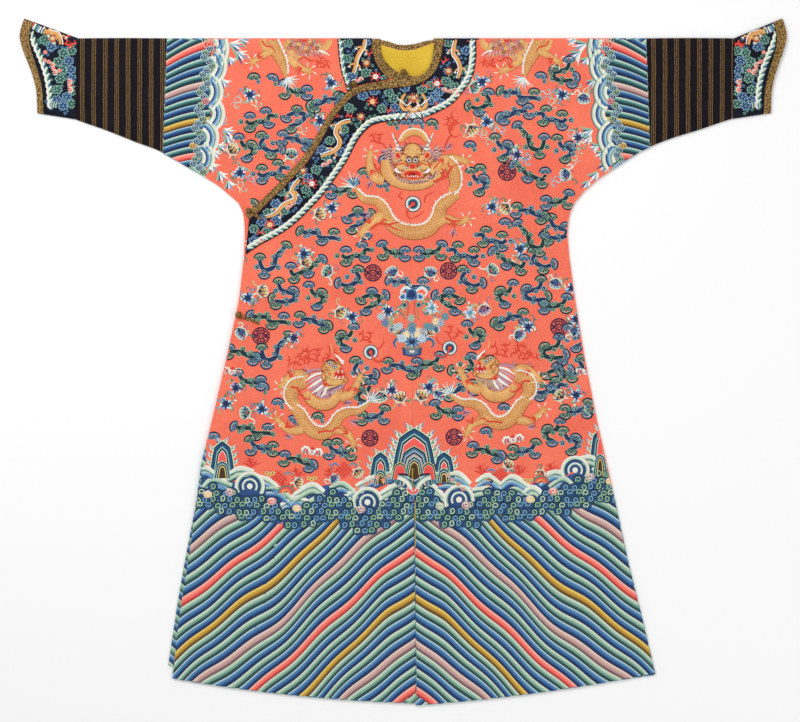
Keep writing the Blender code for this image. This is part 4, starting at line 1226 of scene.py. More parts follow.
# Clouds as a stem, its heads as (x, y, angle) and its curls as (x, y, angle)
CLOUDS = (
    (((-7, -6), (-6, -1), (-2.5, 4), (6, 1.5), (10, -10), (19, -20)),
     ((-7, -9, 0), (-2.5, 9.5, 180), (20, -21, 25)),
     ((-10, 1, -40), (11.5, 1.5, 80), (7, -9, -30), (15, -15, 60))),
    (((-8.5, -3), (-5, 2), (4, -1), (10, -3.5), (14, -7.5), (20, -12.5), (25, -15)),
     ((-8, -7, 0), (-5, 7, 180), (10, 1.5, 165), (24, -14, 50)), ((14, -9, -20), (19, -13, 10))),
    (((-7.5, -11), (-4.5, -4), (5, -1), (9, 0), (7, 6), (-3, 8), (-11, 7)),
     ((-7, -13, 0), (8, -4, 20), (-10, 12, 180), (-14, 4, -70)),
     ((-10, -3, 200), (10, 6, 90), (1, 10, 150))),
    (((-6, -7), (-3, -2), (5, 0), (5, 6), (-2, 9)), ((-8, -11, 0), (5, -4, 15), (0, 11, 180)),
     ((-9, 2, -60), (9, 0, 60))), (((7, -9), (10, -2), (0, 5), (-8, 3)),
                                   ((10, -12, 15), (-11, 2, -80), (0, 9, 180)),
                                   ((-2, -4, -40), (12, 1, 60), (4, -10, -20))),
    (((-10, 0), (-1, -3), (8, -1), (6, 4), (0, 8), (-8, 11)),
     ((0, -7, 0), (-11, 3, 200), (-6, 14, 180), (14, -3, 70)), ((4, 5, 20), )),
    (((-19, -3), (-10, -1), (-1, -1), (3, 4), (15, 4), (20, 5)), ((16, -2, 0), (4, 8, 180), (-18, -3, -60)),
     ((-8, -3, 10), (-1, -4, 0), (21, 5, 60), (-12, 2, 180))),
    (((-12, -1), (-2, 0), (7, 4), (15, 7)), ((-13, -5, 0), (-14, 4, 180), (11, 10, 180), (16, 5, 60)),
     ((1, -3, 0), (9, 1, 20))), (((-10, 2), (-6, 5), (3, 3), (11, 3), (13, -3), (18, -3)),
                                 ((-6, -3, 0), (-6, 10, 180), (10, -8, 0), (13, 6, 180)),
                                 ((-15, 3, -60), (4, 2, 0), (20, -3, 60))),
    (((-11, -8), (-7, -2), (0, 0), (10, 1)), ((-12, -9, -10), (-11, 4, 180), (11, -3, 0), (11, 5, 180)),
     ((0, -2, 0), (2, 3, 170))),
)
INDIGO = (26, 44, 82)
FOREST = (20, 42, 50)
CLOUD_TINTS = (
    ((INDIGO, (36, 60, 98), (154, 192, 194)), (FOREST, (34, 76, 76), (160, 198, 170))),
    ((FOREST, (28, 58, 62), (162, 198, 172)), (INDIGO, (44, 76, 118), (148, 188, 198))),
    ((INDIGO, (42, 70, 108), (154, 190, 194)), (INDIGO, (50, 86, 128), (150, 190, 200))),
)


def cloud(work, x, y, kind, flip=1, tint=0, size=1.0, lift=0.3):
    """A cloud of one of the kinds, with its stem in one tint and heads in two."""
    stem, heads, curls = CLOUDS[kind % len(CLOUDS)]
    first, second = CLOUD_TINTS[tint % len(CLOUD_TINTS)]
    path = turned(stem, x, y, 0, size, flip)
    work.ribbon(path, (4.6 * size, 5.7 * size, 4.6 * size), one(first[2]), lift - 0.05, 0.02, 2.2)
    work.ribbon(path, (3.5 * size, 4.7 * size, 3.5 * size), one(first[0], first[1]), lift + 0.04, 0.08, 2.2)
    length = sum(math.dist(p, q) for p, q in zip(path, path[1:]))
    line = smooth_path(path, max(4, int(length / (7.8 * size))))
    for k in range(1, len(line) - 1):
        along = (line[k + 1] - line[k - 1]).normalized()
        way = (1 if k % 2 else -1) * flip
        spot = line[k] + Vector((-along.y, along.x)) * 2.0 * size * way
        curl(work, spot.x, spot.y, math.degrees(math.atan2(along.y, along.x)) + 90 * way, size * 0.9,
             first[0], first[2], lift + 0.08)
    for px, py, angle in curls:
        (cx, cy), = turned([(px, py)], x, y, 0, size, flip)
        curl(work, cx, cy, flip * angle, size, first[0], first[2], lift + 0.04)
    for k, (px, py, angle) in enumerate(heads):
        (cx, cy), = turned([(px, py)], x, y, 0, size, flip)
        cap(work, cx, cy, flip * angle, size * 0.94, *(first if k % 3 == 1 else second), lift + 0.02)


def wisp(work, x, y, turn=0.0, size=1.0, first=LEAF, second=MAUVE, lift=0.3):
    """A loose scroll of two fine threads with a bud at its end."""
    for path, colour in (([(-6, 1), (-4, -2.6), (-1, -2), (0, 1), (3, 2.6), (5.4, 0.4), (4, -1.6)], first),
                         ([(-4.6, 3.2), (-2.4, 4.2), (0.4, 3.2), (2, 5.2), (4.6, 5.6)], second)):
        work.ribbon(turned(path, x, y, turn, size), (0.9 * size, 1.3 * size, 1.0 * size, 0.6 * size),
                    one(colour, IVORY), lift, 0.06, 1.4)
    for px, py in ((-6, 1.6), (4.4, -1.4)):
        (cx, cy), = turned([(px, py)], x, y, turn, size)
        work.disc(cx, cy, 1.5 * size, 1.2 * size, ((0.5, second, second), (1.0, IVORY, first)), lift + 0.06,
                  0.08, turn, 8)


def small_cloud(work, x, y, angle=0, tint=0, size=1.0, lift=0.3):
    """A cloud of one cap and one curl."""
    first, second = CLOUD_TINTS[tint % len(CLOUD_TINTS)]
    cap(work, x, y, angle, size, *second, lift)
    (cx, cy), = turned([(4.5, 5.0)], x, y, angle, size)
    curl(work, cx, cy, angle + 90, size * 0.8, first[0], first[2], lift + 0.03)


def petals(work, x, y, radius, count, inner, outer, lift=0.35, turn=0.0, width=0.5):
    """A ring of pointed petals."""
    for k in range(count):
        a = math.radians(turn) + 2 * math.pi * k / count
        c, s = math.cos(a), math.sin(a)
        path = [(x + c * radius * t, y + s * radius * t) for t in (0.1, 0.5, 1.0)]
        work.ribbon(path, (radius * width * 0.5, radius * width, radius * 0.1), one(inner, outer),
                    lift + 0.01 * (k % 2), 0.12, radius * 0.35)


def sprig(work, x, y, size=1.0, turn=0.0, flower=BLUE, leaf=LEAF, kind=0, lift=0.32):
    """A flower with ragged petals, small leaves and curling ribbons."""
    pale = flower == WHITE
    middle = SKY if pale else DEEP
    outer = {BLUE: (MIST, WHITE, SKY), WHITE: (MIST, WHITE, IVORY)}.get(flower, (LILAC, WHITE, MIST))
    for k, (reach, bend) in enumerate(((9.5, 2.9), (8.5, -3.0), (10.5, 3.2), (8.0, -2.6), (9.0, 3.0))):
        a = math.radians(turn + 40 + 72 * k + 17 * math.sin(k * 2.1 + x))
        c, s = math.cos(a), math.sin(a)

        def at(px, py):
            """A place given along this leaf and beside it."""
            return x + size * (px * c - py * s), y + size * (px * s + py * c)

        path = [(2, 0), (reach * 0.5, bend), (reach, bend * 0.3), (reach + 0.6, -bend * 0.6),
                (reach - 1.4, -bend * 0.5)]
        tint = (JADE, leaf, MAUVE, (84, 120, 110), (150, 140, 110))[(k + kind) % 5]
        work.ribbon([at(*p) for p in path], (1.0 * size, 0.9 * size, 0.5 * size), one(tint), lift, 0.06,
                    1.6)
        for j, share in enumerate((0.45, 0.8)):
            px, py = at(reach * share, bend * (1.5 - share) + (1.2 if j else -1.2))
            work.disc(px, py, 1.6 * size, 0.9 * size, one((JADE, IVORY, LEAF, SKY)[(k + j + kind) % 4]),
                      lift + 0.06, 0.06, math.degrees(a) + 50 * (1 if j else -1), 8)
    for k in range(9):
        a = math.radians(turn + 40 * k + 12 * math.sin(k * 3.1 + y))
        reach = (6.6, 5.2, 6.0)[k % 3] * size
        tip = (x + reach * math.cos(a), y + reach * math.sin(a))
        work.ribbon([(x, y), ((x + tip[0]) / 2, (y + tip[1]) / 2), tip],
                    (1.6 * size, 2.7 * size, 0.9 * size), one(outer[k % 3]), lift + 0.12 + 0.01 * k, 0.12,
                    1.6)
    for k in range(7):
        a = math.radians(turn + 51 * k)
        reach = (5.0, 4.1)[k % 2] * size
        tip = (x + reach * math.cos(a), y + reach * math.sin(a))
        work.ribbon([(x, y), ((x + tip[0]) / 2, (y + tip[1]) / 2), tip],
                    (2.0 * size, 2.4 * size, 0.5 * size), one((flower, middle)[k % 2], middle),
                    lift + 0.26 + 0.01 * k, 0.1, 1.6)
    work.disc(x, y, 2.0 * size, 1.8 * size, one(middle, JADE if pale else NIGHT), lift + 0.42, 0.08, 0, 8)


def emblem(work, x, y, size=1.0, turn=0.0, kind=0, lift=0.32):
    """A small fan-shaped emblem with ribs and ribbons."""
    size *= 1.5
    body = turned([(-4.6, -2.4), (-1.8, -4.2), (2.2, -4.4), (5.0, -1.8), (4.4, 1.6), (1, 3.6), (-3.5, 2.8)],
                  x, y, turn, size)
    fill = (((96, 150, 140), (170, 200, 180)), (BLUE, (170, 200, 214)), ((214, 170, 96), (236, 214, 160)),
            ((150, 108, 150), (206, 176, 196)))[kind % 4]
    work.patch(body, ((0.4, fill[0], fill[0]), (0.82, fill[1], fill[1]),
                      (1.0, (228, 222, 200), (228, 222, 200))), lift + 0.08, 0.12)
    for k in range(5):
        rib = turned([(0.4, 2.6), (-3.4 + 1.9 * k, -0.4), (-4.0 + 2.1 * k, -2.6 - 0.6 * math.sin(k * 0.8))],
                     x, y, turn, size)
        work.ribbon(rib, (0.5 * size, 0.6 * size, 0.5 * size),
                    one((DEEP, PINE, PLUM, EARTH)[(k + kind) % 4]), lift + 0.22, 0.04, 1.6)
    for k in range(4):
        start = turned([(-3.0 + 2.0 * k, 2.2)], x, y, turn, size)[0]
        bend = turned([(-5.0 + 3.2 * k, 4.8 + 1.2 * math.cos(k * 1.7 + x))], x, y, turn, size)[0]
        end = turned([(-7.2 + 4.6 * k, 5.6 - 2.6 * (k % 2))], x, y, turn, size)[0]
        tail = turned([(-6.6 + 4.0 * k, 3.6 - 2.0 * (k % 2))], x, y, turn, size)[0]
        work.ribbon([start, bend, end, tail], (1.0 * size, 0.9 * size, 0.7 * size, 0.4 * size),
                    one((IVORY, JADE, (206, 190, 140), MAUVE)[(k + kind) % 4]), lift + 0.02 * k, 0.06, 1.6)
    for k in range(3):
        (cx, cy), = turned([(-2.5 + 2.6 * k, -0.4 + 1.2 * (k % 2))], x, y, turn, size)
        work.disc(cx, cy, 0.9 * size, 0.9 * size, one((NIGHT, (190, 80, 80), BLUE)[(k + kind) % 3]),
                  lift + 0.28, 0.06, 0, 7)


def bat(work, x, y, size=1.0, turn=0.0, main=BLUSH, dark=ROSE, lift=0.34):
    """A bat with spread wings."""
    size *= 1.2
    for side in (-1, 1):
        wing = [(0.5, 0), (3, -4), (7, -4.5), (9.5, -1), (8, 2.5), (6.2, 0.8), (4.8, 3), (3.2, 1.2),
                (1.6, 2.6)]
        wing = [(side * px, py) for px, py in wing]
        if side < 0:
            wing.reverse()
        work.patch(turned(wing, x, y, turn, size), plain((0.55, dark), (0.8, main), (1.0, IVORY)),
                   lift + 0.02, 0.12)
        for reach in (3.5, 6.0):
            rib = [(side * 1.0, -0.5), (side * reach * 0.7, -2.6), (side * reach, 0.8)]
            work.ribbon(turned(rib, x, y, turn, size), 0.5 * size, one(IVORY), lift + 0.2, 0.03, 2.0)
    work.disc(*turned([(0, 0)], x, y, turn, size)[0], 1.6 * size, 2.6 * size, one(dark, main), lift + 0.2,
              0.12, turn, 9)
    work.disc(*turned([(0, -3)], x, y, turn, size)[0], 1.4 * size, 1.2 * size, one(RED), lift + 0.24, 0.1,
              turn, 8)


# The fret, drawn on half of the roundel and mirrored: short bars as across, down, across, down
FRET = (
    (0.0, -7.0, 0.0, -2.6), (0.0, 2.6, 0.0, 7.0), (0.9, -5.4, 4.2, -5.4), (4.2, -5.4, 4.2, -3.8),
    (1.8, -3.8, 5.6, -3.8), (0.0, -2.4, 3.4, -2.4), (3.4, -2.4, 3.4, 0.0), (5.4, -2.2, 5.4, 2.2),
    (0.0, 0.0, 2.0, 0.0), (3.6, 0.0, 6.8, 0.0), (0.0, 2.4, 3.4, 2.4), (1.8, 3.8, 5.6, 3.8),
    (4.2, 3.8, 4.2, 5.4), (0.9, 5.4, 4.2, 5.4), (1.6, -1.2, 5.2, -1.2), (1.6, 1.2, 5.2, 1.2),
    (6.6, -2.6, 6.6, -0.8), (6.6, 0.8, 6.6, 2.6), (1.6, -7.0, 2.8, -6.4), (1.6, 7.0, 2.8, 6.4),
)


def roundel(work, x, y, radius, lift=0.32):
    """A roundel of plain fret."""
    work.arc(x, y, radius - 0.7, 0, 360, 1.4, one((70, 24, 60)), lift, 0.12, 1.6)
    size = (radius - 0.8) / 8.2
    for side in (-1, 1):
        for ax, ay, bx, by in FRET:
            a = (x + side * ax * size, y + ay * size)
            b = (x + side * bx * size, y + by * size)
            work.ribbon([a, ((a[0] + b[0]) / 2, (a[1] + b[1]) / 2), b], 1.15 * size,
                        one((70, 24, 60), (96, 34, 76)), lift, 0.12, 1.5, smooth=False)


def pearl(work, x, y, radius, lift=0.5):
    """A flaming pearl's ball in rings of colour."""
    rings = ((0.28, RED, ROSE), (0.5, NIGHT, DEEP), (0.68, JADE, SKY), (0.88, WHITE, IVORY),
             (1.0, (60, 70, 80), (60, 70, 80)))
    work.disc(x, y, radius, radius, rings, lift, 0.4, 0, 20)


def flame(work, x, y, length, angle, size=1.0, colour=RED, lift=0.4, seed=0):
    """A licking flame with two side tongues."""
    c, s = math.cos(math.radians(angle)), math.sin(math.radians(angle))
    swing = 1 if seed % 2 else -1

    def at(px, py):
        """A place given along the flame and beside it."""
        return (x + px * c - py * s, y + px * s + py * c)

    main = [at(0, 0), at(length * 0.3, swing * 1.8 * size), at(length * 0.6, -swing * 1.6 * size),
            at(length, swing * 1.0 * size)]
    work.ribbon(main, (1.0 * size, 2.0 * size, 1.5 * size, 0.4), one(colour, ROSE), lift, 0.15, 1.6)
    for start, side in ((0.3, swing), (0.58, -swing)):
        root = at(length * start, side * 1.0 * size)
        middle = at(length * (start + 0.1), side * 3.6 * size)
        tip = at(length * (start + 0.34), side * 4.4 * size)
        work.ribbon([root, middle, tip], (1.4 * size, 1.2 * size, 0.3), one(colour), lift + 0.02, 0.1, 1.6)


def tuft(work, x, y, length, angle, spread, count, colours, lift=0.4, width=1.6, bend=2.0):
    """Locks of hair or fin rays fanning out from one point."""
    for k in range(count):
        share = k / (count - 1) - 0.5 if count > 1 else 0.0
        a = math.radians(angle + spread * share)
        c, s = math.cos(a), math.sin(a)
        reach = length * (1 - 0.25 * abs(share) + 0.12 * math.sin(k * 2.7 + x))
        curve = bend * (1 if share > 0 else -1) * abs(share) * 2
        path = [(0, 0), (reach * 0.5, curve * 0.2), (reach, curve)]
        path = [(x + px * c - py * s, y + px * s + py * c) for px, py in path]
        work.ribbon(path, (width, width * 0.9, 0.3), one(colours[k % len(colours)]), lift + 0.012 * k, 0.1,
                    2.2)


def claw(gold, silk, x, y, angle, size=1.0, lift=0.62):
    """A foot with five white claws."""
    gold.disc(x, y, 3.0 * size, 2.6 * size, one(SUN, OCHRE), lift, 0.2, angle, 10)
    for k in range(5):
        a = angle + 62 * (k - 2)
        c, s = math.cos(math.radians(a)), math.sin(math.radians(a))
        toe = [(x + c * r * size, y + s * r * size) for r in (1.5, 4.2, 6.0)]
        gold.ribbon(toe, (2.0 * size, 1.6 * size, 1.0 * size), one(SUN, OCHRE), lift, 0.15, 1.8)
        bend = ((5.4, 0), (7.4, 0.2), (8.4, 1.6))
        hook = [(x + (c * r - s * b) * size, y + (s * r + c * b) * size) for r, b in bend]
        silk.ribbon(hook, (1.2 * size, 1.0 * size, 0.3), one(WHITE), lift + 0.16, 0.12, 1.5)


def leg(gold, silk, points, width, angle, lift=0.5, size=1.0, flames=True):
    """A bent leg with its foot, and flames behind its middle."""
    gold.ribbon(points, (width, width * 0.8, width * 0.5),
                ((1, EARTH, OCHRE), (6, OCHRE, SUN), (6, SUN, OCHRE), (1, OCHRE, EARTH)), lift, 0.45, 1.8)
    if flames:
        middle = points[len(points) // 2]
        tuft(silk, *middle, 8 * size, angle + 150, 60, 4, (RED, CORAL_RED), lift + 0.4, 1.5, 2.2)
    claw(gold, silk, *points[-1], angle, size, lift + 0.2)


def scaled_body(gold, silk, path, widths, spine=-1, lift=0.45, spikes=True):
    """A dragon's body in couched gold, with its scales, its spine on one side and its belly's dark edge."""
    bands = ((1.0, EARTH, OCHRE), (5, OCHRE, SUN), (5, SUN, OCHRE), (1.0, OCHRE, EARTH))
    gold.ribbon(path, widths, bands, lift, 0.5, 1.6)
    length = sum(math.dist(a, b) for a, b in zip(path, path[1:]))
    count = int(length / 2.2)
    line = smooth_path(path, count)
    edge, tips = [], []
    for i, p in enumerate(line):
        along = (line[min(i + 1, count - 1)] - line[max(i - 1, 0)]).normalized()
        side = Vector((-along.y, along.x))
        at = i / (count - 1) * (len(widths) - 1)
        k = min(int(at), len(widths) - 2)
        half = (widths[k] + (widths[k + 1] - widths[k]) * (at - k)) / 2
        edge.append(p + side * half * 0.94 * spine)
        tips.append(p + side * (half + 1.9) * spine - along * 0.9)
        if 0 < i < count - 1:
            rows = 3 if half > 4 else 2
            for r in range(rows):
                v = (-0.62 + 1.24 * (r + 0.5 * (i % 2)) / rows) if rows > 1 else 0
                q = p + side * half * v
                back, out = along * 0.9, side * half * 0.3
                silk.ribbon([tuple(q - out - back), tuple(q + along * 0.5), tuple(q + out - back)], 0.36,
                            one((188, 96, 50)), lift + 0.5 * (1 - v * v) + 0.06, 0.02, 3.0)
    silk.ribbon([tuple(p) for p in edge[::2]], 1.5, one(WHITE, IVORY), lift + 0.3, 0.25, 1.8)
    if spikes:
        for p, tip in list(zip(edge, tips))[1:-1:2]:
            silk.ribbon([tuple(p), tuple((p + tip) / 2), tuple(tip)], (1.3, 0.9, 0.2), one(WHITE),
                        lift + 0.24, 0.08, 2.0)


def branch(work, points, width=1.5, colour=RED, lift=0.4):
    """A thin flame line that wanders and tapers to its end."""
    work.ribbon(points, (width, width, width * 0.8, 0.4), one(colour, (236, 92, 66)), lift, 0.12, 1.6)


def fire(work, x, y, angle, size=1.0, lift=0.36, forks=3):
    """Branching red flames, as wandering lines with short forks."""
    for k in range(forks):
        a = angle + 40 * (k - (forks - 1) / 2)
        px, py = x + 2.2 * k * size, y
        path, length = [(px, py)], 16 * size * (1 - 0.22 * (k % 2))
        for j in range(1, 7):
            turn = math.radians(a + 52 * math.sin(j * 1.9 + k * 1.3 + x * 0.7))
            px, py = px + math.cos(turn) * length / 6, py + math.sin(turn) * length / 6
            path.append((px, py))
            if j in (2, 4, 5):
                fork = math.radians(a + (70 if j % 2 else -70))
                tip = (px + 4.4 * size * math.cos(fork), py + 4.4 * size * math.sin(fork))
                bend = (px + 2.4 * size * math.cos(fork + 0.5), py + 2.4 * size * math.sin(fork + 0.5))
                work.ribbon([(px, py), bend, tip], (1.4, 1.2, 0.4), one(RED), lift, 0.08, 1.6)
        work.ribbon(path, (1.9, 1.9, 1.5, 0.6), one(RED, CORAL_RED), lift + 0.02, 0.1, 1.6)


FLANK_BANDS = ((1, OCHRE, OCHRE), (6, SUN, OCHRE), (0.5, EARTH, EARTH))


def turned_over(bands):
    """The same bands from the other side of the ribbon."""
    return tuple((share, b, a) for share, a, b in reversed(bands))


def lump(work, x, y, rx, ry, lift, turn=0):
    """A rounded part of a face in couched gold, with a thin red-brown edge."""
    work.disc(x, y, rx, ry, ((0.55, SUN, SUN), (0.86, SUN, OCHRE), (1.0, RUST, (150, 70, 40))), lift, 0.5,
              turn, 18)


def front_head(gold, silk):
    """The chest dragon's face, seen from the front."""
    arch = [(400.5, 141.5), (404.5, 136.0), (409, 133.2), (414.1, 132.2), (419.5, 133.4), (424, 136.6),
            (427.3, 142)]
    gold.ribbon(arch, (5, 7.5, 8, 7.5, 5), ((1, EARTH, OCHRE), (5, SUN, OCHRE), (1, OCHRE, EARTH)), 0.5,
                0.4, 1.8)
    rim = [(398.8, 140.5), (403, 133.4), (408.6, 129.8), (414.3, 128.6), (420, 130), (425.2, 133.8),
           (429, 141)]
    silk.ribbon(rim, 1.3, one(IVORY, WHITE), 0.7, 0.2, 1.8)
    silk.disc(413, 164.5, 26.5, 20.5, ((0.6, (206, 146, 96), (206, 146, 96)),
                                       (0.88, (196, 126, 112), (214, 150, 110)), (1.0, MAUVE, LILAC)), 0.44,
              0.1, 0, 30)
    for k in range(84):
        ring, angle = 12.5 + 3.4 * (k % 4), k * 47.0
        x = 413 + ring * 1.16 * math.cos(math.radians(angle))
        y = 164.5 + ring * 0.9 * math.sin(math.radians(angle))
        silk.arc(x, y, 2.0, angle, angle + 300, 0.85, one((MAUVE, SUN, PLUM, ROSE, LILAC, EARTH)[k % 6]),
                 0.66 + 0.01 * (k % 3), 0.1, 1.3, 0.5)
    for side in (-1, 1):
        for k in range(12):
            angle = 90 - side * (112 - 9.5 * k)
            root = (413 + side * (22.5 - 0.25 * (k - 5) ** 2 * 0.3), 150 + k * 2.6)
            tuft(silk, *root, 7.5, angle, 50, 4, (MAUVE, SUN, LILAC, PLUM), 0.6 + 0.012 * k, 1.2, 2.0)
    for k in range(13):
        tuft(silk, 394.5 + 3.0 * k, 179.0 + 0.02 * (k - 6) ** 2, 6.0, 90 + (k - 6) * 8, 50, 4,
             (MAUVE, LILAC, PLUM, SUN), 0.72, 1.2, 1.4)
    for x, y, rx, ry, lift, turn in ((412.6, 172.5, 15.5, 8.0, 0.9, 0), (401.5, 166.0, 6.5, 5.4, 1.0, -20),
                                     (424.0, 166.0, 6.5, 5.4, 1.0, 20), (412.6, 151.2, 9.6, 8.6, 0.95, 0),
                                     (403.8, 158.2, 4.6, 3.6, 1.1, 30), (421.4, 158.2, 4.6, 3.6, 1.1, -30),
                                     (412.6, 156.0, 4.2, 3.4, 1.2, 0), (406.6, 152.0, 3.6, 2.4, 1.25, -30),
                                     (418.6, 152.0, 3.6, 2.4, 1.25, 30)):
        lump(gold, x, y, rx, ry, lift, turn)
    for side in (-1, 1):
        for k in range(6):
            silk.arc(412.6 + side * (9.5 + 1.6 * k), 170.5 + 2.1 * (k % 3), 1.7, 40 * k, 40 * k + 280, 0.8,
                     one((RUST, RED, EARTH)[k % 3]), 1.45, 0.05, 1.2, 0.5)
        eye = (412.3 + side * 3.2, 160.6)
        silk.disc(eye[0], eye[1], 2.9, 2.7,
                  ((0.46, INK, INK), (0.74, WHITE, WHITE), (1.0, (130, 70, 70), PLUM)), 1.6, 0.35,
                  -side * 15, 16)
        brow = on_side(side, 412.4, (0.4, 158.4), (3.4, 156.6), (7.4, 158.6))
        silk.ribbon(brow, (0.7, 1.0, 0.4), one((90, 50, 50)), 1.85, 0.1, 1.4)
        horn = on_side(side, 412.6, (12.4, 150.2), (15.4, 145), (18.0, 139.4), (20.6, 133))
        silk.ribbon(horn, (3.2, 2.3, 1.9, 1.1), one(WHITE, (206, 200, 186)), 1.2, 0.4, 1.8)
        silk.ribbon([horn[0], (412.6 + side * 16.8, 149.0), (412.6 + side * 17.4, 147.0)], (1.8, 1.5, 0.6),
                    one(WHITE), 1.2, 0.3, 1.6)
        for k in range(3):
            x = 412.6 + side * (13.6 + 2.0 * k)
            silk.disc(x, 147.5 - 4.2 * k, 1.5, 0.7, one((120, 110, 100)), 1.55, 0.03, side * 20, 7)
        ear = on_side(side, 412.6, (10.4, 157.5), (13.5, 152.2), (17.4, 152.0), (18.4, 156.0),
                      (14.0, 161.0))
        silk.patch(ear, plain((0.5, RED), (0.8, ROSE), (1.0, SUN)), 1.15, 0.3)
        tusk = on_side(side, 412.4, (17.2, 169.0), (14.2, 172.2), (10.0, 173.2))
        silk.ribbon(tusk, (3.2, 2.4, 0.6), one(WHITE, IVORY), 1.5, 0.25, 1.6)
        whisker = on_side(side, 412.4, (4.4, 167.4), (9.5, 163.6), (16.5, 165.4), (20.5, 161.0))
        silk.ribbon(whisker, (1.6, 1.3, 1.0, 0.4), one(RED), 1.6, 0.1, 1.8)
        silk.ribbon(on_side(side, 412.4, (5.0, 168.6), (7.4, 167.4), (8.4, 169.6)), (1.6, 1.3, 0.5),
                    one(JADE, WHITE), 1.7, 0.12, 1.4)
    nose = [(408.4, 168.0), (409.2, 165.4), (411, 163.4), (413.9, 163.4), (415.8, 165.4), (416.6, 168.0),
            (412.5, 169.8)]
    silk.patch(nose, plain((0.7, RED), (1.0, EMBER)), 1.75, 0.5)
    mouth = [(402.6, 173.4), (406, 171.0), (412.5, 170.4), (419, 171.0), (422.4, 173.4), (421, 178.6),
             (412.5, 180.6), (404, 178.6)]
    silk.patch(mouth, ((0.36, (150, 20, 24), (170, 26, 26)), (0.84, RED, RED),
                       (1.0, (244, 140, 96), (244, 140, 96))), 1.5, 0.15)
    for k in range(6):
        silk.disc(407.4 + 2.05 * k, 176.4 + 0.4 * (k % 2), 0.8, 1.1, one(WHITE, (236, 190, 170)), 1.76, 0.1,
                  0, 7)


def chest_dragon(gold, silk):
    """The dragon on the chest, its head seen from the front."""
    leg(gold, silk, [(384, 180), (376, 178), (371, 170), (369.6, 160), (370.6, 153.5)], 12, -85)
    leg(gold, silk, [(430, 174), (437, 166), (444, 159.6), (455, 158.6), (466, 161.5)], 12, 5)
    scaled_body(gold, silk, [(446, 160), (452.5, 168), (455.3, 178), (454.5, 188), (449.5, 192)],
                (11, 14, 14, 12, 9), -1, 0.62)
    leg(gold, silk, [(436, 224), (445, 219), (455, 221.5), (462, 222), (467, 219.5)], 11, -10)
    leg(gold, silk, [(388, 211), (380, 217), (370, 224), (364, 230), (361.5, 234.5)], 13, 100)
    ring = [(385, 160), (386.5, 171.5), (392.5, 180.5), (402, 185.6), (413, 187.4), (424.5, 186),
            (434, 181), (441, 175)]
    gold.ribbon(ring, (9, 13, 10, 7.5, 7, 7, 6, 5), FLANK_BANDS, 0.7, 0.4, 1.8)
    shoulder = [(431, 172), (437, 169), (443, 163.5), (449, 160)]
    gold.ribbon(shoulder, (8, 13, 13, 10), FLANK_BANDS, 0.66, 0.4, 1.8)
    path = [(458, 194.5), (449.5, 199.5), (441, 206.5), (438, 217), (429.5, 228.5), (414.1, 232.6),
            (398.5, 229.0), (388.3, 219.8), (383.6, 209), (377, 201.6), (369.4, 200.6), (362.5, 198),
            (354.8, 187.5)]
    scaled_body(gold, silk, path, (8, 12.5, 13.5, 14, 15, 15.5, 15, 14, 13, 11, 9, 7.5, 3), 1, 0.5)
    tuft(silk, 354.6, 188.0, 17, -118, 92, 8, (WHITE, IVORY, MIST, SKY), 0.6, 1.5, 3.5)
    tuft(silk, 353.6, 186.0, 9, -100, 60, 4, (JADE, BLUE), 0.75, 1.4, 1.5)
    front_head(gold, silk)
    pearl(silk, 413, 204.2, 8.2, 0.5)
    for path, width, lift in (([(412.0, 205.2), (408.6, 208.6), (406.6, 213.5), (409.5, 218.5),
                                (415, 217.5)], 1.7, 1.0), ([(415, 217.5), (419, 215.2), (424, 211.5)], 1.4,
                                                           0.6), ([(403.5, 199), (399.5, 197.6),
                                                                   (397.6, 193.6)], 1.5, 0.4),
                              ([(399.5, 197.6), (400.8, 193.0), (402.6, 191.2)], 1.2, 0.4),
                              ([(424.5, 203), (425.4, 197.2), (429, 194.2), (434.5, 191.6)], 1.5, 0.4)):
        branch(silk, path, width, RED, lift)
    fire(silk, 379, 143, -112, 1.0, forks=2)
    fire(silk, 449, 131, -78, 1.2, forks=2)
    for path, width, lift in (([(391, 150), (386, 147.5), (382, 143.5), (376, 142.5), (374, 137),
                                (376.5, 131)], 2.0, 0.4), ([(445, 149), (447, 141.5), (451, 136),
                                                            (456, 137.5), (461, 133.5)], 2.0, 0.4),
                              ([(451, 135), (449, 128), (454, 122), (451, 115), (455, 110)], 2.0, 0.4),
                              ([(374, 164), (377, 170), (382, 166.5)], 2.0, 1.1),
                              ([(433, 182), (441, 179), (447, 176), (450, 170), (455, 165.5),
                                (460.5, 164.5)], 2.4, 1.5),
                              ([(441, 178.5), (444, 172), (440.5, 167.5)], 1.9, 1.52),
                              ([(452, 167.5), (448, 165), (449, 161.5)], 1.7, 1.52),
                              ([(434, 169), (437.5, 164.5), (440, 161)], 1.6, 1.2),
                              ([(371, 229), (378, 224.0), (386, 224.5), (394, 228.5), (403, 231.5)], 2.2,
                               1.15), ([(380, 224), (384, 220), (388, 220.5)], 1.8, 1.2),
                              ([(388, 225), (394, 223.5), (401, 221.5)], 1.8, 1.2),
                              ([(445, 218), (453, 221.2), (463, 220.5)], 2.2, 1.15),
                              ([(453, 221), (456, 224.5), (459, 222)], 1.6, 1.15)):
        branch(silk, path, width, RED, lift)
    for x, y, angle in ((371, 213, 160), (372, 181, 120), (454, 229, 100), (446, 150, -50), (388, 152, 170),
                        (436, 150, 10)):
        tuft(silk, x, y, 9, angle, 50, 5, (MAUVE, LILAC, PLUM), 0.42, 1.2, 1.6)


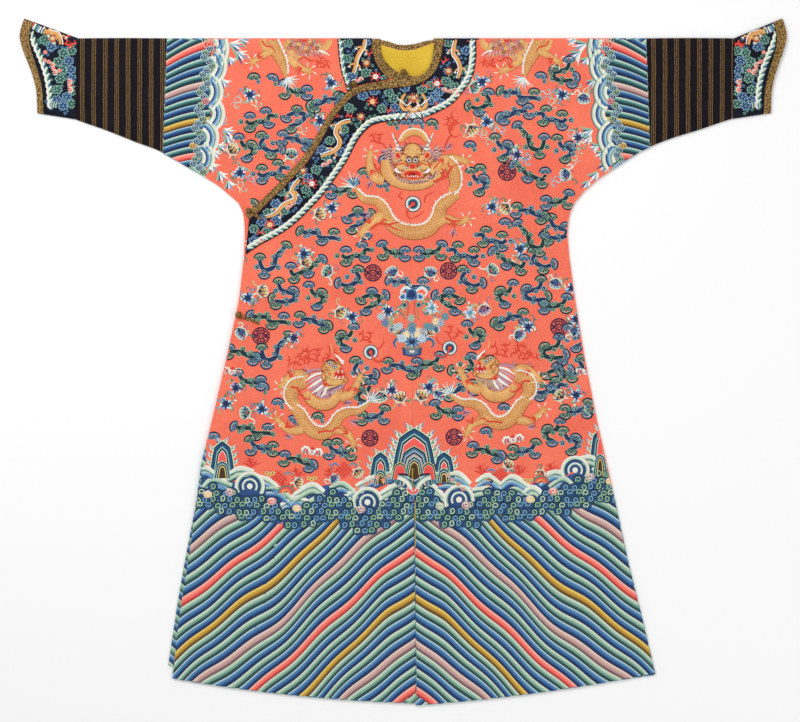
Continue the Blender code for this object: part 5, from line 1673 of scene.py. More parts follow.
def side_dragon(gold, silk, mirror):
    """The dragon on one side of the skirt, drawn on the wearer's right and mirrored for the left."""
    def at(x, y):
        """A place in the picture, mirrored on the wearer's left and a little higher there."""
        return (mirror - x, y - (4 + 0.07 * (y - 350))) if mirror else (x, y)

    def m(points):
        """The same for each point."""
        return [at(*p) for p in points]

    def aim(angle):
        """An angle, mirrored in the same way."""
        return 180 - angle if mirror else angle

    spine = 1 if mirror else -1
    leg(gold, silk, m([(307, 378), (298, 374.5), (290, 377.5), (284, 383), (281.5, 386)]), 12, aim(150))
    leg(gold, silk, m([(340, 397), (350, 394), (355.5, 387), (358.5, 380), (360.5, 376.5)]), 11, aim(-60))
    scaled_body(gold, silk, m([(305, 382), (296, 385), (291.5, 392), (292, 400), (297, 405.5)]),
                (12, 15, 16, 14, 10), -spine, 0.6)
    leg(gold, silk, m([(303, 429), (293, 430.5), (285, 427), (279.5, 421.5), (277.5, 419)]), 10, aim(190))
    leg(gold, silk, m([(332, 428), (341, 430.5), (348, 434), (352, 440), (353.5, 444)]), 10, aim(75))
    gold.ribbon(m([(305.5, 392), (311, 400), (320, 404.5), (330, 403.5), (337, 397), (339.6, 389)]),
                (8, 11, 12, 12, 10, 7), turned_over(FLANK_BANDS) if mirror else FLANK_BANDS, 0.64, 0.45,
                1.8)
    path = m([(290.5, 406), (299, 412.6), (304.3, 421.5), (312.5, 430.4), (323.3, 433.0), (333.2, 426.6),
              (338.8, 416.8), (347.8, 411.6), (357.5, 411.0), (366.1, 405.6), (371.2, 401)])
    scaled_body(gold, silk, path, (8, 13, 13.5, 14, 14, 13, 12, 10.5, 8.5, 6, 3), spine, 0.5)
    tuft(silk, *at(369.8, 402.6), 14, aim(-62), 100, 8, (WHITE, IVORY, MIST), 0.6, 1.5, 3.0)
    tuft(silk, *at(368.5, 402.8), 7, aim(-50), 60, 3, (JADE, SKY), 0.75, 1.3, 1.2)
    silk.disc(*at(327, 391), 14.5, 8.5, ((0.7, (196, 150, 150), (186, 132, 150)), (1.0, MAUVE, LILAC)),
              0.56, 0.1, aim(10), 20)
    for k in range(16):
        silk.arc(*at(316 + 2.9 * (k % 8), 388.5 + 4.4 * (k // 8) + 1.2 * (k % 2)), 1.8, 60 * k,
                 60 * k + 290, 0.85, one((MAUVE, SUN, LILAC, PLUM, IVORY)[k % 5]), 0.74, 0.08, 1.3, 0.5)
    for k, (lock, colour) in enumerate((([(322, 373), (314, 375), (305.5, 381)], WHITE),
                                        ([(322, 376), (314, 379.5), (306, 385)], LILAC),
                                        ([(322, 379), (315, 383.5), (307.5, 389)], WHITE),
                                        ([(322, 382), (316, 387), (309, 391)], MAUVE),
                                        ([(323, 385), (317, 390), (311.5, 393.5)], WHITE),
                                        ([(325, 386.5), (321, 391.5), (316, 396)], LILAC),
                                        ([(321, 370), (312, 370.5), (303, 375)], MAUVE),
                                        ([(327, 387), (325, 392), (321, 397)], WHITE))):
        silk.ribbon(m(lock), (2.2, 2.8, 0.7), one(colour, IVORY if colour == WHITE else LILAC),
                    0.95 + 0.02 * k, 0.2, 1.8)
    for k in range(12):
        tuft(silk, *at(324 + 1.9 * k, 387.5 - 0.35 * k), 8.0, aim(100 + 4 * k), 40, 4,
             (MAUVE, LILAC, PLUM, SUN), 1.0, 1.3, 1.8)
    head = m([(321.5, 367), (324, 362.4), (328, 359.6), (333, 359.6), (337.6, 361.4), (341.6, 364.4),
              (342, 369.5), (343, 376), (348.5, 378.6), (347.5, 382.6), (338, 386), (328, 386),
              (322.0, 379.5)])
    if mirror:
        head.reverse()
    gold.patch(head, ((0.5, SUN, SUN), (0.95, SUN, OCHRE), (1.0, (190, 110, 64), RUST)), 1.0, 0.4)
    for px, py, rx, ry, turn in ((326, 375, 4.6, 6.2, 10), (329.5, 364.0, 5.4, 4.0, -30),
                                 (337.5, 367.2, 4.8, 3.6, 20), (336, 382.2, 9.2, 3.2, -8),
                                 (333.5, 371.8, 4.0, 3.2, 0), (329, 381.5, 4.0, 3.6, 0)):
        lump(gold, *at(px, py), rx, ry, 1.2, aim(turn))
    for ex, ey in ((329.6, 363.2), (334.6, 366.6)):
        silk.disc(*at(ex, ey), 2.7, 2.3, ((0.46, INK, INK), (0.72, WHITE, WHITE),
                                          (1.0, (120, 60, 60), PLUM)), 1.8, 0.25, aim(30), 12)
    silk.ribbon(m([(326, 361.6), (330, 359.8), (334.5, 361.6), (338.0, 364.6)]), (0.6, 1.2, 1.0, 0.5),
                one(INK, PLUM), 1.95, 0.08, 1.4)
    silk.patch(m([(333.5, 373.5), (337, 370.0), (343.5, 370.2), (346.5, 373.5), (346, 377.5),
                  (339.5, 378.6), (334.5, 377.0)]),
               ((0.4, (170, 26, 26), RED), (0.8, RED, RED), (1.0, EMBER, EMBER)), 1.75, 0.15)
    silk.disc(*at(341, 368.6), 2.2, 1.7, plain((0.6, RED), (1.0, EMBER)), 1.85, 0.3, 0, 10)
    for tooth in (((335.4, 378.4), (337.0, 375.6)), ((339.0, 378.6), (340.2, 376.2)),
                  ((342.6, 378.0), (343.4, 375.6)), ((338.0, 370.8), (338.8, 373.2)),
                  ((342.2, 370.8), (342.8, 373.2))):
        silk.ribbon(m(tooth), (1.5, 0.5), one(WHITE), 1.95, 0.1, 1.2)
    for k in range(5):
        silk.arc(*at(323.8 + 1.5 * k, 371 + 3.4 * (k % 3)), 1.7, 40 * k, 40 * k + 280, 0.8,
                 one((RUST, RED, EARTH)[k % 3]), 1.7, 0.05, 1.2, 0.5)
    silk.disc(*at(337.4, 359.2), 3.2, 2.4, plain((0.7, RED), (1.0, EMBER)), 1.5, 0.3, aim(40), 10)
    silk.ribbon(m([(335.2, 354), (338, 357.4), (341, 360.4), (343.6, 364)]), (0.8, 2.2, 2.4, 2.0),
                one(WHITE, IVORY), 1.6, 0.25, 1.6)
    silk.ribbon(m([(342, 361.5), (344.4, 360.2)]), (1.6, 0.5), one(WHITE), 1.6, 0.2, 1.4)
    silk.ribbon(m([(333, 352), (331, 347.5), (331.8, 343.5)]), (0.9, 0.8, 0.3), one(SUN), 0.5, 0.1, 1.6)
    silk.disc(*at(325.6, 384.2), 3.2, 2.4, plain((0.6, RED), (1.0, EMBER)), 1.75, 0.2, aim(10), 10)
    fire(silk, *at(302, 364), aim(-130), 1.25)
    fire(silk, *at(316, 362), aim(-88), 1.5)
    fire(silk, *at(369, 343), aim(-112), 1.2, forks=2)
    branch(silk, m([(375, 350), (381, 347), (384, 341.5), (383, 338.5)]), 1.5)
    branch(silk, m([(371.5, 352), (373, 358.5), (378, 361.8), (385, 359), (387, 355.5)]), 1.8, RED, 1.0)
    pearl(silk, *at(370.8, 352.2), 7.5, 0.5)
    for path, width, lift in (([(371.5, 352.6), (373, 357.5), (376, 361)], 1.7, 0.98),
                              ([(291, 387.5), (297.5, 388), (300, 394), (305, 398.5), (310.5, 399),
                                (309, 394.5)], 2.2, 1.25), ([(318, 432.5), (325, 431), (332, 431),
                                                             (338, 427.5), (346, 432)], 2.0, 1.2),
                              ([(286, 426), (291.5, 427), (297, 423.5)], 1.8, 1.1),
                              ([(347, 391.5), (351, 388.5), (354, 386.5)], 1.8, 1.1)):
        branch(silk, m(path), width, RED, lift)
    for x, y, angle in ((297, 373, 185), (293, 438, 200), (352, 402, 170), (350, 421, 10),
                        (311, 374, -150)):
        tuft(silk, *at(x, y), 10, aim(angle), 44, 5, (MAUVE, LILAC, PLUM), 0.42, 1.3, 1.6)


# How far the stitches keep from the seam, the side and the hem
SEAM_CLEAR = 0.0004
SIDE_CLEAR = 0.0005
HEM_CLEAR = 0.0006


def side_limit(sign, drop):
    """Across of the front's side edge at this drop."""
    return look_up(SIDE["left" if sign > 0 else "right"], drop)


def on_front(sign, x_px, y_px):
    """Whether a pixel lies on this half of the front's skirt."""
    x, drop = (x_px - NECK_PX) * PX, (y_px - SHOULDER_PX) * PX
    if sign * (x - lean(drop)) < SEAM_CLEAR or sign * x > side_limit(sign, drop) - SIDE_CLEAR:
        return False
    return drop < hem_drop(x) - HEM_CLEAR


def seam_px(y_px):
    """Across of the middle seam at this height in the picture."""
    return NECK_PX + lean((y_px - SHOULDER_PX) * PX) / PX


STRIPE_PITCH = 9.25
STRIPE_SLOPE = 0.845
STRIPE_WAVE = (4.5, 180.0)
FIRST_STRIPE = -33
STRIPE_COUNT = 56
STRIPE_GREEN = (
    (2.8, (216, 230, 208), (182, 208, 186)), (3.0, (156, 194, 172), (96, 144, 130)),
    (3.5, (58, 100, 94), (14, 40, 44)),
)
STRIPE_BLUE = (
    (1.9, (202, 222, 226), (128, 178, 210)), (3.6, (88, 144, 190), (48, 94, 150)),
    (3.8, (36, 70, 124), (12, 24, 60)),
)
ARM_GREEN = (
    (1.9, (216, 230, 214), (176, 208, 196)), (2.6, (120, 174, 164), (66, 122, 122)),
    (4.6, (40, 86, 92), (12, 36, 48)),
)
ARM_BLUE = (
    (1.6, (202, 222, 226), (128, 178, 210)), (3.2, (74, 130, 176), (40, 84, 138)),
    (4.4, (30, 60, 112), (12, 24, 56)),
)
STRIPE_ACCENTS = (
    ((2.6, (238, 214, 200), (226, 192, 180)), (3.4, (216, 178, 168), (192, 152, 148)),
     (3.4, (168, 126, 126), (84, 60, 68))),
    ((2.6, (255, 196, 176), (255, 160, 144)), (3.4, (255, 136, 122), (252, 106, 94)),
     (3.4, (236, 84, 76), (140, 44, 48))),
    ((2.6, (240, 210, 120), (228, 190, 84)), (3.4, (212, 168, 62), (180, 134, 46)),
     (3.4, (140, 100, 38), (62, 44, 24))),
)


STRIPE_START_LEFT = 498.5
STRIPE_STEP_RIGHT = 2.4
STRIPE_LIFT = 0.08
STRIPE_STITCH = 5
STRIPE_LEAST = 4
CURL_SEAM = 500


def stripe_y(seam_y, dx):
    """Where a stripe that starts at that height of the seam runs, this far from the seam."""
    free = min(1.0, dx / 30)
    wander = 1.7 * math.sin(dx / 9.2 + seam_y / 41) + 1.4 * math.sin(dx / 19 - seam_y / 27)
    swell = STRIPE_WAVE[0] * math.sin(2 * math.pi * dx / STRIPE_WAVE[1])
    return seam_y + STRIPE_SLOPE * dx - swell + free * wander


def bands_of(k):
    """Colours of the k-th stripe: an accent, then green, blue, green, blue."""
    order = k % 5
    if order:
        return STRIPE_GREEN if order % 2 else STRIPE_BLUE
    return STRIPE_ACCENTS[(k // 5) % 3]


def lay_stripe(work, bands, line_of, shows, steps, rise, grain, count=0, back=False):
    """One stripe as far as all its edges show, arched like satin stitch."""
    edges = edges_of(bands)
    lines = []
    for e in edges:
        at = line_of(e)
        inside = [dx for dx in steps if shows(*at(dx), dx)]
        if len(inside) < STRIPE_LEAST:
            return
        lines.append((at, inside[0], inside[-1]))
    count = count or max(3, int((lines[0][2] - lines[0][1]) / STRIPE_STITCH) + 2)
    base = len(work.points)
    for i in range(count):
        for e, (at, start, end) in zip(edges, lines):
            dx = start + (end - start) * i / (count - 1)
            v = 2 * e - 1
            work.point(*at(dx), STRIPE_LIFT + rise * (1 - v * v), dx * grain[0], v * grain[1])
    work.weave(base, count, bands, back)


def standing_water(work):
    """The diagonal stripes above the hem, each clipped to its half of the front."""
    steps = [k * 0.5 for k in range(1, 560)]
    for sign in (-1, 1):
        def shows(x, y, dx):
            """Whether this point of a stripe lies on the front, below the curls."""
            return y > band_middle(seam_px(CURL_SEAM) + sign * dx) and on_front(sign, x, y)

        for k in range(FIRST_STRIPE, FIRST_STRIPE + STRIPE_COUNT):
            seam_y = STRIPE_START_LEFT + (0.0 if sign < 0 else STRIPE_STEP_RIGHT) + STRIPE_PITCH * k

            def line_of(e):
                """The line of the stripe's edge at this share of its width."""
                def at(dx):
                    """Its point this far from the seam."""
                    y = stripe_y(seam_y + STRIPE_PITCH * e, dx)
                    return seam_px(y) + sign * dx, y

                return at

            lay_stripe(work, bands_of(k), line_of, shows, steps, 0.42, (1.3, 4), back=sign < 0)


WAVE_GREEN = ((1.2, IVORY, PALE), (2.6, (206, 224, 198), (160, 196, 170)),
              (1.8, (96, 148, 134), (30, 74, 76)), (0.5, (16, 40, 50), (16, 40, 50)))
WAVE_BLUE = ((1.0, IVORY, MIST), (2.2, (146, 190, 216), (80, 132, 180)), (2.0, (54, 96, 148), (20, 38, 80)))
WAVE_WHITE = ((1.2, WHITE, IVORY), (3.0, (240, 240, 224), (216, 226, 206)),
              (1.6, (160, 194, 178), (84, 138, 134)), (0.5, (20, 52, 66), (20, 52, 66)))

# Rolling waves that close on themselves: centre and outer radius
ROLLERS = ((250, 486, 15), (367.5, 502, 15.5), (459, 499.5, 15.5), (575, 470, 14.5))
# Waves that sweep between them, each as three points along its crest
SWEEPS = (
    ((197, 476), (206, 468), (226, 482)), ((201, 490), (213, 480), (232, 486)),
    ((228, 474), (240, 469), (254, 472)), ((258, 476), (272, 482), (286, 496)),
    ((266, 488), (279, 489), (292, 500)), ((294, 495), (312, 485), (324, 492)),
    ((280, 506), (296, 497), (309, 503)), ((303, 505), (318, 499), (330, 503)),
    ((342, 500), (352, 492), (364, 492)), ((356, 486), (376, 476), (392, 475)),
    ((374, 480), (394, 473), (411, 485)), ((380, 494), (396, 485), (410, 484)),
    ((381, 504), (392, 496), (404, 497)), ((416, 485), (430, 474), (446, 476)),
    ((418, 486), (430, 484), (444, 497)), ((442, 475), (458, 474), (470, 484)),
    ((436, 482), (450, 481), (462, 487)), ((472, 490), (484, 489), (496, 499)),
    ((499, 485), (512, 477), (532, 489)), ((505, 495), (517, 489), (531, 499)),
    ((522, 493), (533, 488), (545, 497)), ((540, 480), (554, 472), (564, 475)),
    ((549, 487), (562, 479), (572, 485)), ((580, 458), (593, 458), (605, 468)),
    ((592, 470), (602, 462), (613, 466)), ((588, 475), (603, 475), (615, 485)),
    ((596, 488), (606, 483), (618, 490)), ((476, 482), (488, 476), (500, 484)),
    ((330, 488), (342, 484), (354, 492)), ((196, 500), (206, 494), (220, 500)),
)
# The band of curls: place across, and its upper and lower edge
CURL_BAND = (
    (150, 498, 506), (196, 490, 503), (215, 487, 508), (240, 494, 518), (262, 499, 516), (282, 507, 523),
    (302, 507, 529), (322, 496, 521), (338, 492, 522), (352, 506, 530), (368, 513, 531), (384, 501, 527),
    (400, 489, 518), (413, 484, 514), (428, 490, 520), (446, 506, 525), (462, 512, 526), (480, 500, 523),
    (494, 486, 513), (510, 492, 520), (530, 499, 521), (546, 489, 509), (562, 487, 511), (578, 481, 508),
    (594, 474, 501), (608, 474, 499), (622, 480, 502), (665, 486, 506),
)


def band_middle(x):
    """Middle of the band of curls at this place across, which hides where the stripes begin."""
    top = look_up([(p, t) for p, t, b in CURL_BAND], x)
    return (top + look_up([(p, b) for p, t, b in CURL_BAND], x)) / 2


def sweep(work, points, lift, turn=0, width=7.0):
    """A wave as two stacked bands of satin stitch that follow its crest."""
    first, second = ((WAVE_WHITE, WAVE_BLUE), (WAVE_GREEN, WAVE_BLUE), (WAVE_WHITE, WAVE_GREEN))[turn % 3]
    work.ribbon(shifted(points, 0, width * 0.9), (width * 0.7, width, width * 0.8), second, lift - 0.03,
                0.4, 2.4)
    work.ribbon(points, (width * 0.6, width, width * 0.8), first, lift, 0.4, 2.4)


def roller(work, x, y, radius, lift):
    """A round wave: rings of white, blue and green about a white eye."""
    work.disc(x, y, radius * 0.2, radius * 0.2, one(WHITE, IVORY), lift + 0.1, 0.3, 0, 10)
    for outer, inner, tint in ((1.0, 0.70, WAVE_WHITE), (0.71, 0.52, one(DEEP, BLUE)),
                               (0.53, 0.36, WAVE_WHITE), (0.37, 0.17, one(BLUE, DEEP))):
        middle, width = radius * (outer + inner) / 2, radius * (outer - inner)
        work.arc(x, y, middle, 150, 395, width, tint, lift, 0.4, 2.0)


def shifted(points, dx=0.0, dy=0.0):
    """The same points, moved."""
    return [(x + dx, y + dy) for x, y in points]


def rollers(work):
    """The waves between the rocks and the band of curls, over a plain blue ground."""
    ground = [(x, (top + bottom) / 2 - 2) for x, top, bottom in CURL_BAND]
    work.ribbon(shifted(ground, 0, -9), 22, ((1, BLUE, DEEP), ), 0.1, 0.02, 4.0)
    work.ribbon(shifted(ground, 0, 1), 20, ((1, DEEP, BLUE), ), 0.34, 0.02, 4.0)
    for k, points in enumerate(SWEEPS):
        sweep(work, points, 0.36 + 0.05 * (k % 3), k)
    for x, y, radius in ROLLERS:
        roller(work, x, y, radius, 0.62)


CURL_STEP = 8.2
CURL_ROW = 6.2
CURL_FIELD = (156.0, 474.0, 662, 532)
# Curls of other colours on the band: across and down, and the colour
CURL_ACCENTS = ((272, 501, ROSE), (297, 508, SUN), (361, 509, MAUVE), (230, 492, MAUVE), (208, 494, SUN),
                (413, 489, ROSE), (466, 505, MAUVE), (530, 499, SUN), (553, 491, ROSE), (590, 477, MAUVE),
                (610, 481, SUN), (440, 506, LEAF))


def curl_band(work):
    """The band of small curls over the stripes, scalloped along its lower edge."""
    row = 0
    left, y, right, foot = CURL_FIELD
    while y < foot:
        x = left + CURL_STEP / 2 * (row % 2)
        while x < right:
            top = look_up([(p, t) for p, t, b in CURL_BAND], x)
            bottom = look_up([(p, b) for p, t, b in CURL_BAND], x)
            if top - 1 < y < bottom + 1:
                px, py = x + 1.1 * math.sin(y * 1.7 + x), y + 1.0 * math.sin(x * 0.9)
                lift = 0.98 - 0.004 * (y - CURL_FIELD[1])
                tint = (int(x) * 7 + row * 5) % 5
                way = 1 if row % 2 else -1
                work.disc(px, py, 5.3, 4.8, ((0.84, (54, 98, 146), (46, 86, 134)),
                                             (1.0, (32, 66, 108), (32, 66, 100))), lift, 0.1, 0, 12)
                work.arc(px, py, 3.3, 120, 120 + 330 * way, 2.7,
                         one((14, 26, 44) if tint % 2 else (16, 46, 46)), lift + 0.12, 0.06, 1.5, 0.5)
                work.arc(px, py, 3.1, 130, 130 + 400 * way, 1.05, one((SKY, LEAF, PALE, SKY, LEAF)[tint]),
                         lift + 0.24, 0.08, 1.2, 0.62)
            x += CURL_STEP
        y += CURL_ROW
        row += 1
    for x, y, colour in CURL_ACCENTS:
        big = 1.35 if x == 413 else 0.9
        work.disc(x, y, 5.0 * big, 4.2 * big, ((0.84, colour, colour), (1.0, BLUSH, IVORY)), 1.14, 0.16, 0,
                  14)
        work.arc(x, y, 3.0 * big, 200, 560, 1.1, one(WHITE if colour == ROSE else IVORY), 1.34, 0.06, 1.3,
                 0.66)


ROCK_SHAPE = ((0.0, 0.0), (0.30, 0.075), (0.60, 0.17), (0.74, 0.40), (0.88, 0.72), (1.0, 1.0))
ROCK_BANDS = ((0.8, PALE), (1.3, (22, 48, 62)), (2.8, (34, 74, 110)), (0.5, (110, 160, 180)), (0.7, LEAF),
              (1.8, NIGHT), (0.6, IVORY), (9.0, (236, 92, 84)))
INNER_BANDS = ((0.6, LEAF), (1.5, (24, 44, 66)), (1.9, (84, 118, 144)), (0.6, MIST), (1.4, NIGHT),
               (0.5, JADE), (1.7, (190, 156, 164)), (0.5, PALE), (9.0, (34, 76, 96)))
PEAK_BANDS = ((0.6, LEAF), (1.5, DEEP), (0.6, PALE), (1.4, NIGHT), (0.8, SUN), (9.0, (70, 50, 24)))
SIDE_BANDS = ((0.5, SUN), (1.2, NIGHT), (0.5, LEAF), (9.0, (226, 80, 76)))


def peak(work, x, base, half, height, lift, bands):
    """A rock as nested arches of satin stitch, each band inside the last."""
    gone = 0.0
    for k, (thick, colour) in enumerate(bands):
        w, h = half - gone, height - gone * 1.25
        if w < 0.9 or h < 1.5:
            break
        side = [(w * u, -h + h * v) for u, v in ROCK_SHAPE]
        outline = [(x + u, base + v) for u, v in side] + [(x - u, base + v) for u, v in reversed(side[1:])]
        work.patch(outline, one(colour, tuple(min(255, int(c * 1.12)) for c in colour)), lift + 0.045 * k,
                   0.02, (x, base - 0.1))
        gone += thick


def rock(work, x, base, width, top, lift):
    """A rock with a smaller one inside it, a gold peak and bands of water at its foot."""
    half, height = width / 2, base - top
    peak(work, x, base, half, height, lift, ROCK_BANDS)
    if width > 30:
        peak(work, x, base, half * 0.72, height * 0.68, lift + 0.4, INNER_BANDS)
        for dx in (-0.56, 0.56):
            peak(work, x + half * dx, base - height * 0.1, half * 0.34, height * 0.3, lift + 0.76,
                 SIDE_BANDS)
        peak(work, x, base - height * 0.1, half * 0.4, height * 0.4, lift + 0.84, PEAK_BANDS)
        for side in (-1, 1):
            for k, colour in enumerate((NIGHT, MIST, DEEP, JADE)):
                low = base - 9 + 2.2 * k
                work.ribbon([(x, low + 2.4), (x + side * half * 0.3, low - 1.2),
                             (x + side * half * 0.62, low - 2.2)], (2.2, 2.2, 1.6), one(colour),
                            lift + 0.98 + 0.02 * k, 0.1, 2.0)
            work.arc(x + side * 19, base + 9, 17.5, -90 - side * 72, -90 - side * 8, 5.2,
                     WAVE_WHITE if side < 0 else WAVE_WHITE[::-1], lift + 1.1, 0.35, 2.2)
    else:
        peak(work, x, base, half * 0.6, height * 0.46, lift + 0.5, PEAK_BANDS)


ROCKS = ((414.2, 485, 51, 427, 0.5), (380.5, 484, 25, 451, 0.48), (222.5, 478, 28, 440, 0.48),
         (444, 482, 25, 451, 0.48), (600, 476, 25, 427, 0.48))


SPRAY_BANDS = ((1, (60, 120, 132), JADE), (1.4, PALE, IVORY))


def plume(work, x, y, side, size, lift):
    """A crest of spray that leans away from a rock."""
    def at(px, py):
        """A place given from the plume's foot, in its own size."""
        return x + side * px * size, y + py * size

    bands = SPRAY_BANDS if side > 0 else SPRAY_BANDS[::-1]
    work.ribbon([at(0, 3), at(4.5, 1.5), at(8.6, -4)], (4.6 * size, 3.8 * size, 0.8 * size), bands, lift,
                0.12, 1.8)
    for j in range(4):
        start, tip = at(0.6 + 2.2 * j, 1.4 - 0.7 * j), at(2.6 + 2.3 * j, -3.0 - 1.1 * j)
        work.ribbon([start, tip, at(3.7 + 2.3 * j, -2.6 - 1.1 * j)], (1.2 * size, 1.1 * size, 0.4 * size),
                    one((WHITE, LEAF, WHITE, SKY)[j]), lift + 0.1 + 0.01 * j, 0.1, 1.5)


SEAM_THREADS = ([(412.6, 468), (412.3, 484)], [(415.2, 502), (415.0, 522), (415.4, 546)])


def mountains(work, silk):
    """The rocks that stand in the waves, with spray along their sides."""
    for x, base, width, top, lift in ROCKS:
        rock(work, x, base, width, top, lift)
        size = 0.9 if width > 30 else 0.66
        for side in (-1, 1):
            for k in range(int((base - top) / 7.2) - 1):
                y = top + 1 + k * 7.0
                share = min(1.0, max(0.0, (y - top) / (base - top)))
                reach = width * 0.5 * look_up([(v, u) for u, v in ROCK_SHAPE], share)
                plume(silk, x + side * (reach - 1.0), y, side, size, lift - 0.2 + 0.01 * k)
    for line in SEAM_THREADS:
        silk.ribbon(line, 0.9, one((206, 170, 70)), 1.6, 0.1, 2.5)


ARM_PITCH = 6.6
ARM_SLOPE = -0.5
ARM_SLOPE_LOW = -0.17
ARM_MIRROR = 816.0
ARM_SEAM = 167.0
ARM_TOP = 60.6
ARM_SAG = 1.6
ARM_SAG_LENGTH = 40
ARM_REACH = 44
ARM_NARROWING = 0.26
ARM_NARROWS_AT = 120


def arm_stripes(work):
    """Slanting stripes at the top of each sleeve, between its seam and the curls."""
    steps = [k * 0.3 for k in range(-20, 150)]
    for sign in (-1, 1):
        def shows(x, y, dx):
            """Whether this point of a stripe lies on the sleeve, before the curls."""
            drop = (y - SHOULDER_PX) * PX
            return (dx < ARM_REACH - ARM_NARROWING * max(0.0, y - ARM_NARROWS_AT) and drop > SEAM_CLEAR
                    and abs(x - NECK_PX) * PX < side_limit(sign, drop) - HEM_CLEAR)

        for k in range(-1, 34):
            def line_of(e):
                """The line of the stripe's edge at this share of its width."""
                row = k - 5 + e
                slope = ARM_SLOPE_LOW + (ARM_SLOPE - ARM_SLOPE_LOW) * min(1.0, math.exp(-row / 6.0))

                def at(dx):
                    """Its point this far from the sleeve's seam."""
                    sag = ARM_SAG * math.sin(math.pi * dx / ARM_SAG_LENGTH)
                    y = ARM_TOP + ARM_PITCH * row + slope * dx - sag
                    return (ARM_SEAM + dx if sign < 0 else ARM_MIRROR - ARM_SEAM - dx), y

                return at

            bands = (ARM_BLUE if k % 5 % 2 else ARM_GREEN) if k % 5 else STRIPE_ACCENTS[2 - (k // 5) % 3]
            lay_stripe(work, bands, line_of, shows, steps, 0.36, (1, 3), 9)


def swirl(work, x, y, radius, dark=NIGHT, light=SKY, rim=LEAF, lift=0.7, mirror=1):
    """A round curl: a disc with a pale rim and a spiral."""
    work.disc(x, y, radius, radius * 0.94, plain((0.8, dark), (1.0, rim)), lift, 0.16, 0, 14)
    start = 200 if mirror > 0 else -20
    work.arc(x, y, radius * 0.66, start, start + mirror * 470, radius * 0.17, one(light), lift + 0.2, 0.06,
             1.2, 0.72)


# Path of the column of curls: across and down in pixels, and the curls in it that are not blue
ARM_CURL_PATH = ((209, 40), (206.5, 52), (209, 65), (205, 80), (203, 96), (201, 110), (199, 124),
                 (198, 138), (196, 152), (197, 164), (200, 172))
ARM_CURL_COUNT = 31
ARM_CURL_TINTS = {1: (RED, BLUSH), 14: ((140, 80, 110), BLUSH), 24: ((150, 96, 40), SUN)}
ARM_WAVES = ((203, 49, 24, -70, 50), (205, 66, 20, -55, 65), (201, 92, 20, -62, 60),
             (205, 114, 18, -60, 62), (198, 138, 19, -62, 58), (196, 158, 17, -60, 40),
             (214, 42, 12, -50, 80))


# Sprays past the curls: across, down, angle and reach
ARM_SPRAY = ((230, 44, 20, 15), (236, 52, 40, 14), (229, 58, 60, 9), (240, 40, 8, 10), (222, 80, 55, 10),
             (224, 130, 30, 12), (226, 136, 55, 10), (213, 152, 40, 9), (209, 163, 55, 12),
             (219, 172, 62, 12), (228, 181, 70, 10), (218, 146, 20, 9))


def arm_waves(work):
    """Curls and round waves between the slanting stripes and the ground, on both sleeves."""
    for sign in (-1, 1):
        def m(x):
            """Across on this side."""
            return x if sign < 0 else ARM_MIRROR - x

        for k, (x, y, radius, start, end) in enumerate(ARM_WAVES):
            for b in range(3):
                tint = (WAVE_WHITE, WAVE_BLUE)[b % 2]
                bounds = (start, end) if sign < 0 else (180 - start, 180 - end)
                work.arc(m(x), y, radius - 4.6 * b, *bounds, 4.8, tint, 0.4 + 0.05 * (k % 3), 0.4, 2.2)
        for k, p in enumerate(smooth_path(ARM_CURL_PATH, ARM_CURL_COUNT)):
            lean = (-3.2, 1.2, 3.4, -0.6)[k % 4]
            usual = (INDIGO, (176, 208, 214)) if k % 3 else (FOREST, (180, 212, 184))
            dark, pale = ARM_CURL_TINTS.get(k, usual)
            swirl(work, m(p.x + lean), p.y, 5.6 if k == 1 else 3.9, dark, pale, pale, 0.9 + 0.03 * (k % 3),
                  -sign)
        for x, y, angle, reach in ARM_SPRAY:
            tuft(work, m(x), y, reach, angle if sign < 0 else 180 - angle, 62, 6,
                 (WHITE, IVORY, SKY, WHITE, BLUE, LEAF), 0.36, 2.6, 2.8)


def braid(work, path, width=4.8, lift=0.35, start=0):
    """A border of rolling strands that lap, white on one side and green or blue on the other."""
    work.ribbon(path, width, ((1, INK, INK), (4, (60, 110, 120), (40, 80, 110)), (1, INK, INK)), lift, 0.12,
                2.0)
    length = sum(math.dist(a, b) for a, b in zip(path, path[1:]))
    count = int(length / 5.6)
    line = smooth_path(path, count)
    for i in range(count - 1):
        along = (line[i + 1] - line[i]).normalized()
        side = Vector((-along.y, along.x))
        p = line[i]
        reach = width * 0.5
        colour = ((JADE, LEAF), (BLUE, SKY), (JADE, PALE))[(i + start) % 3]
        strand = [p - side * reach * 0.8 - along * 4.4, p - side * reach * 0.1 - along * 2.4,
                  p + side * reach * 0.5, p + side * reach * 0.5 + along * 3.2,
                  p - side * reach * 0.2 + along * 5.4]
        work.ribbon([tuple(q) for q in strand], (1.0, 3.2, 4.0, 3.2, 0.8),
                    ((1.0, colour[0], colour[1]), (1.0, PALE, IVORY), (1.4, WHITE, IVORY)),
                    lift + 0.24 + 0.02 * (i % 2), 0.2, 1.6)


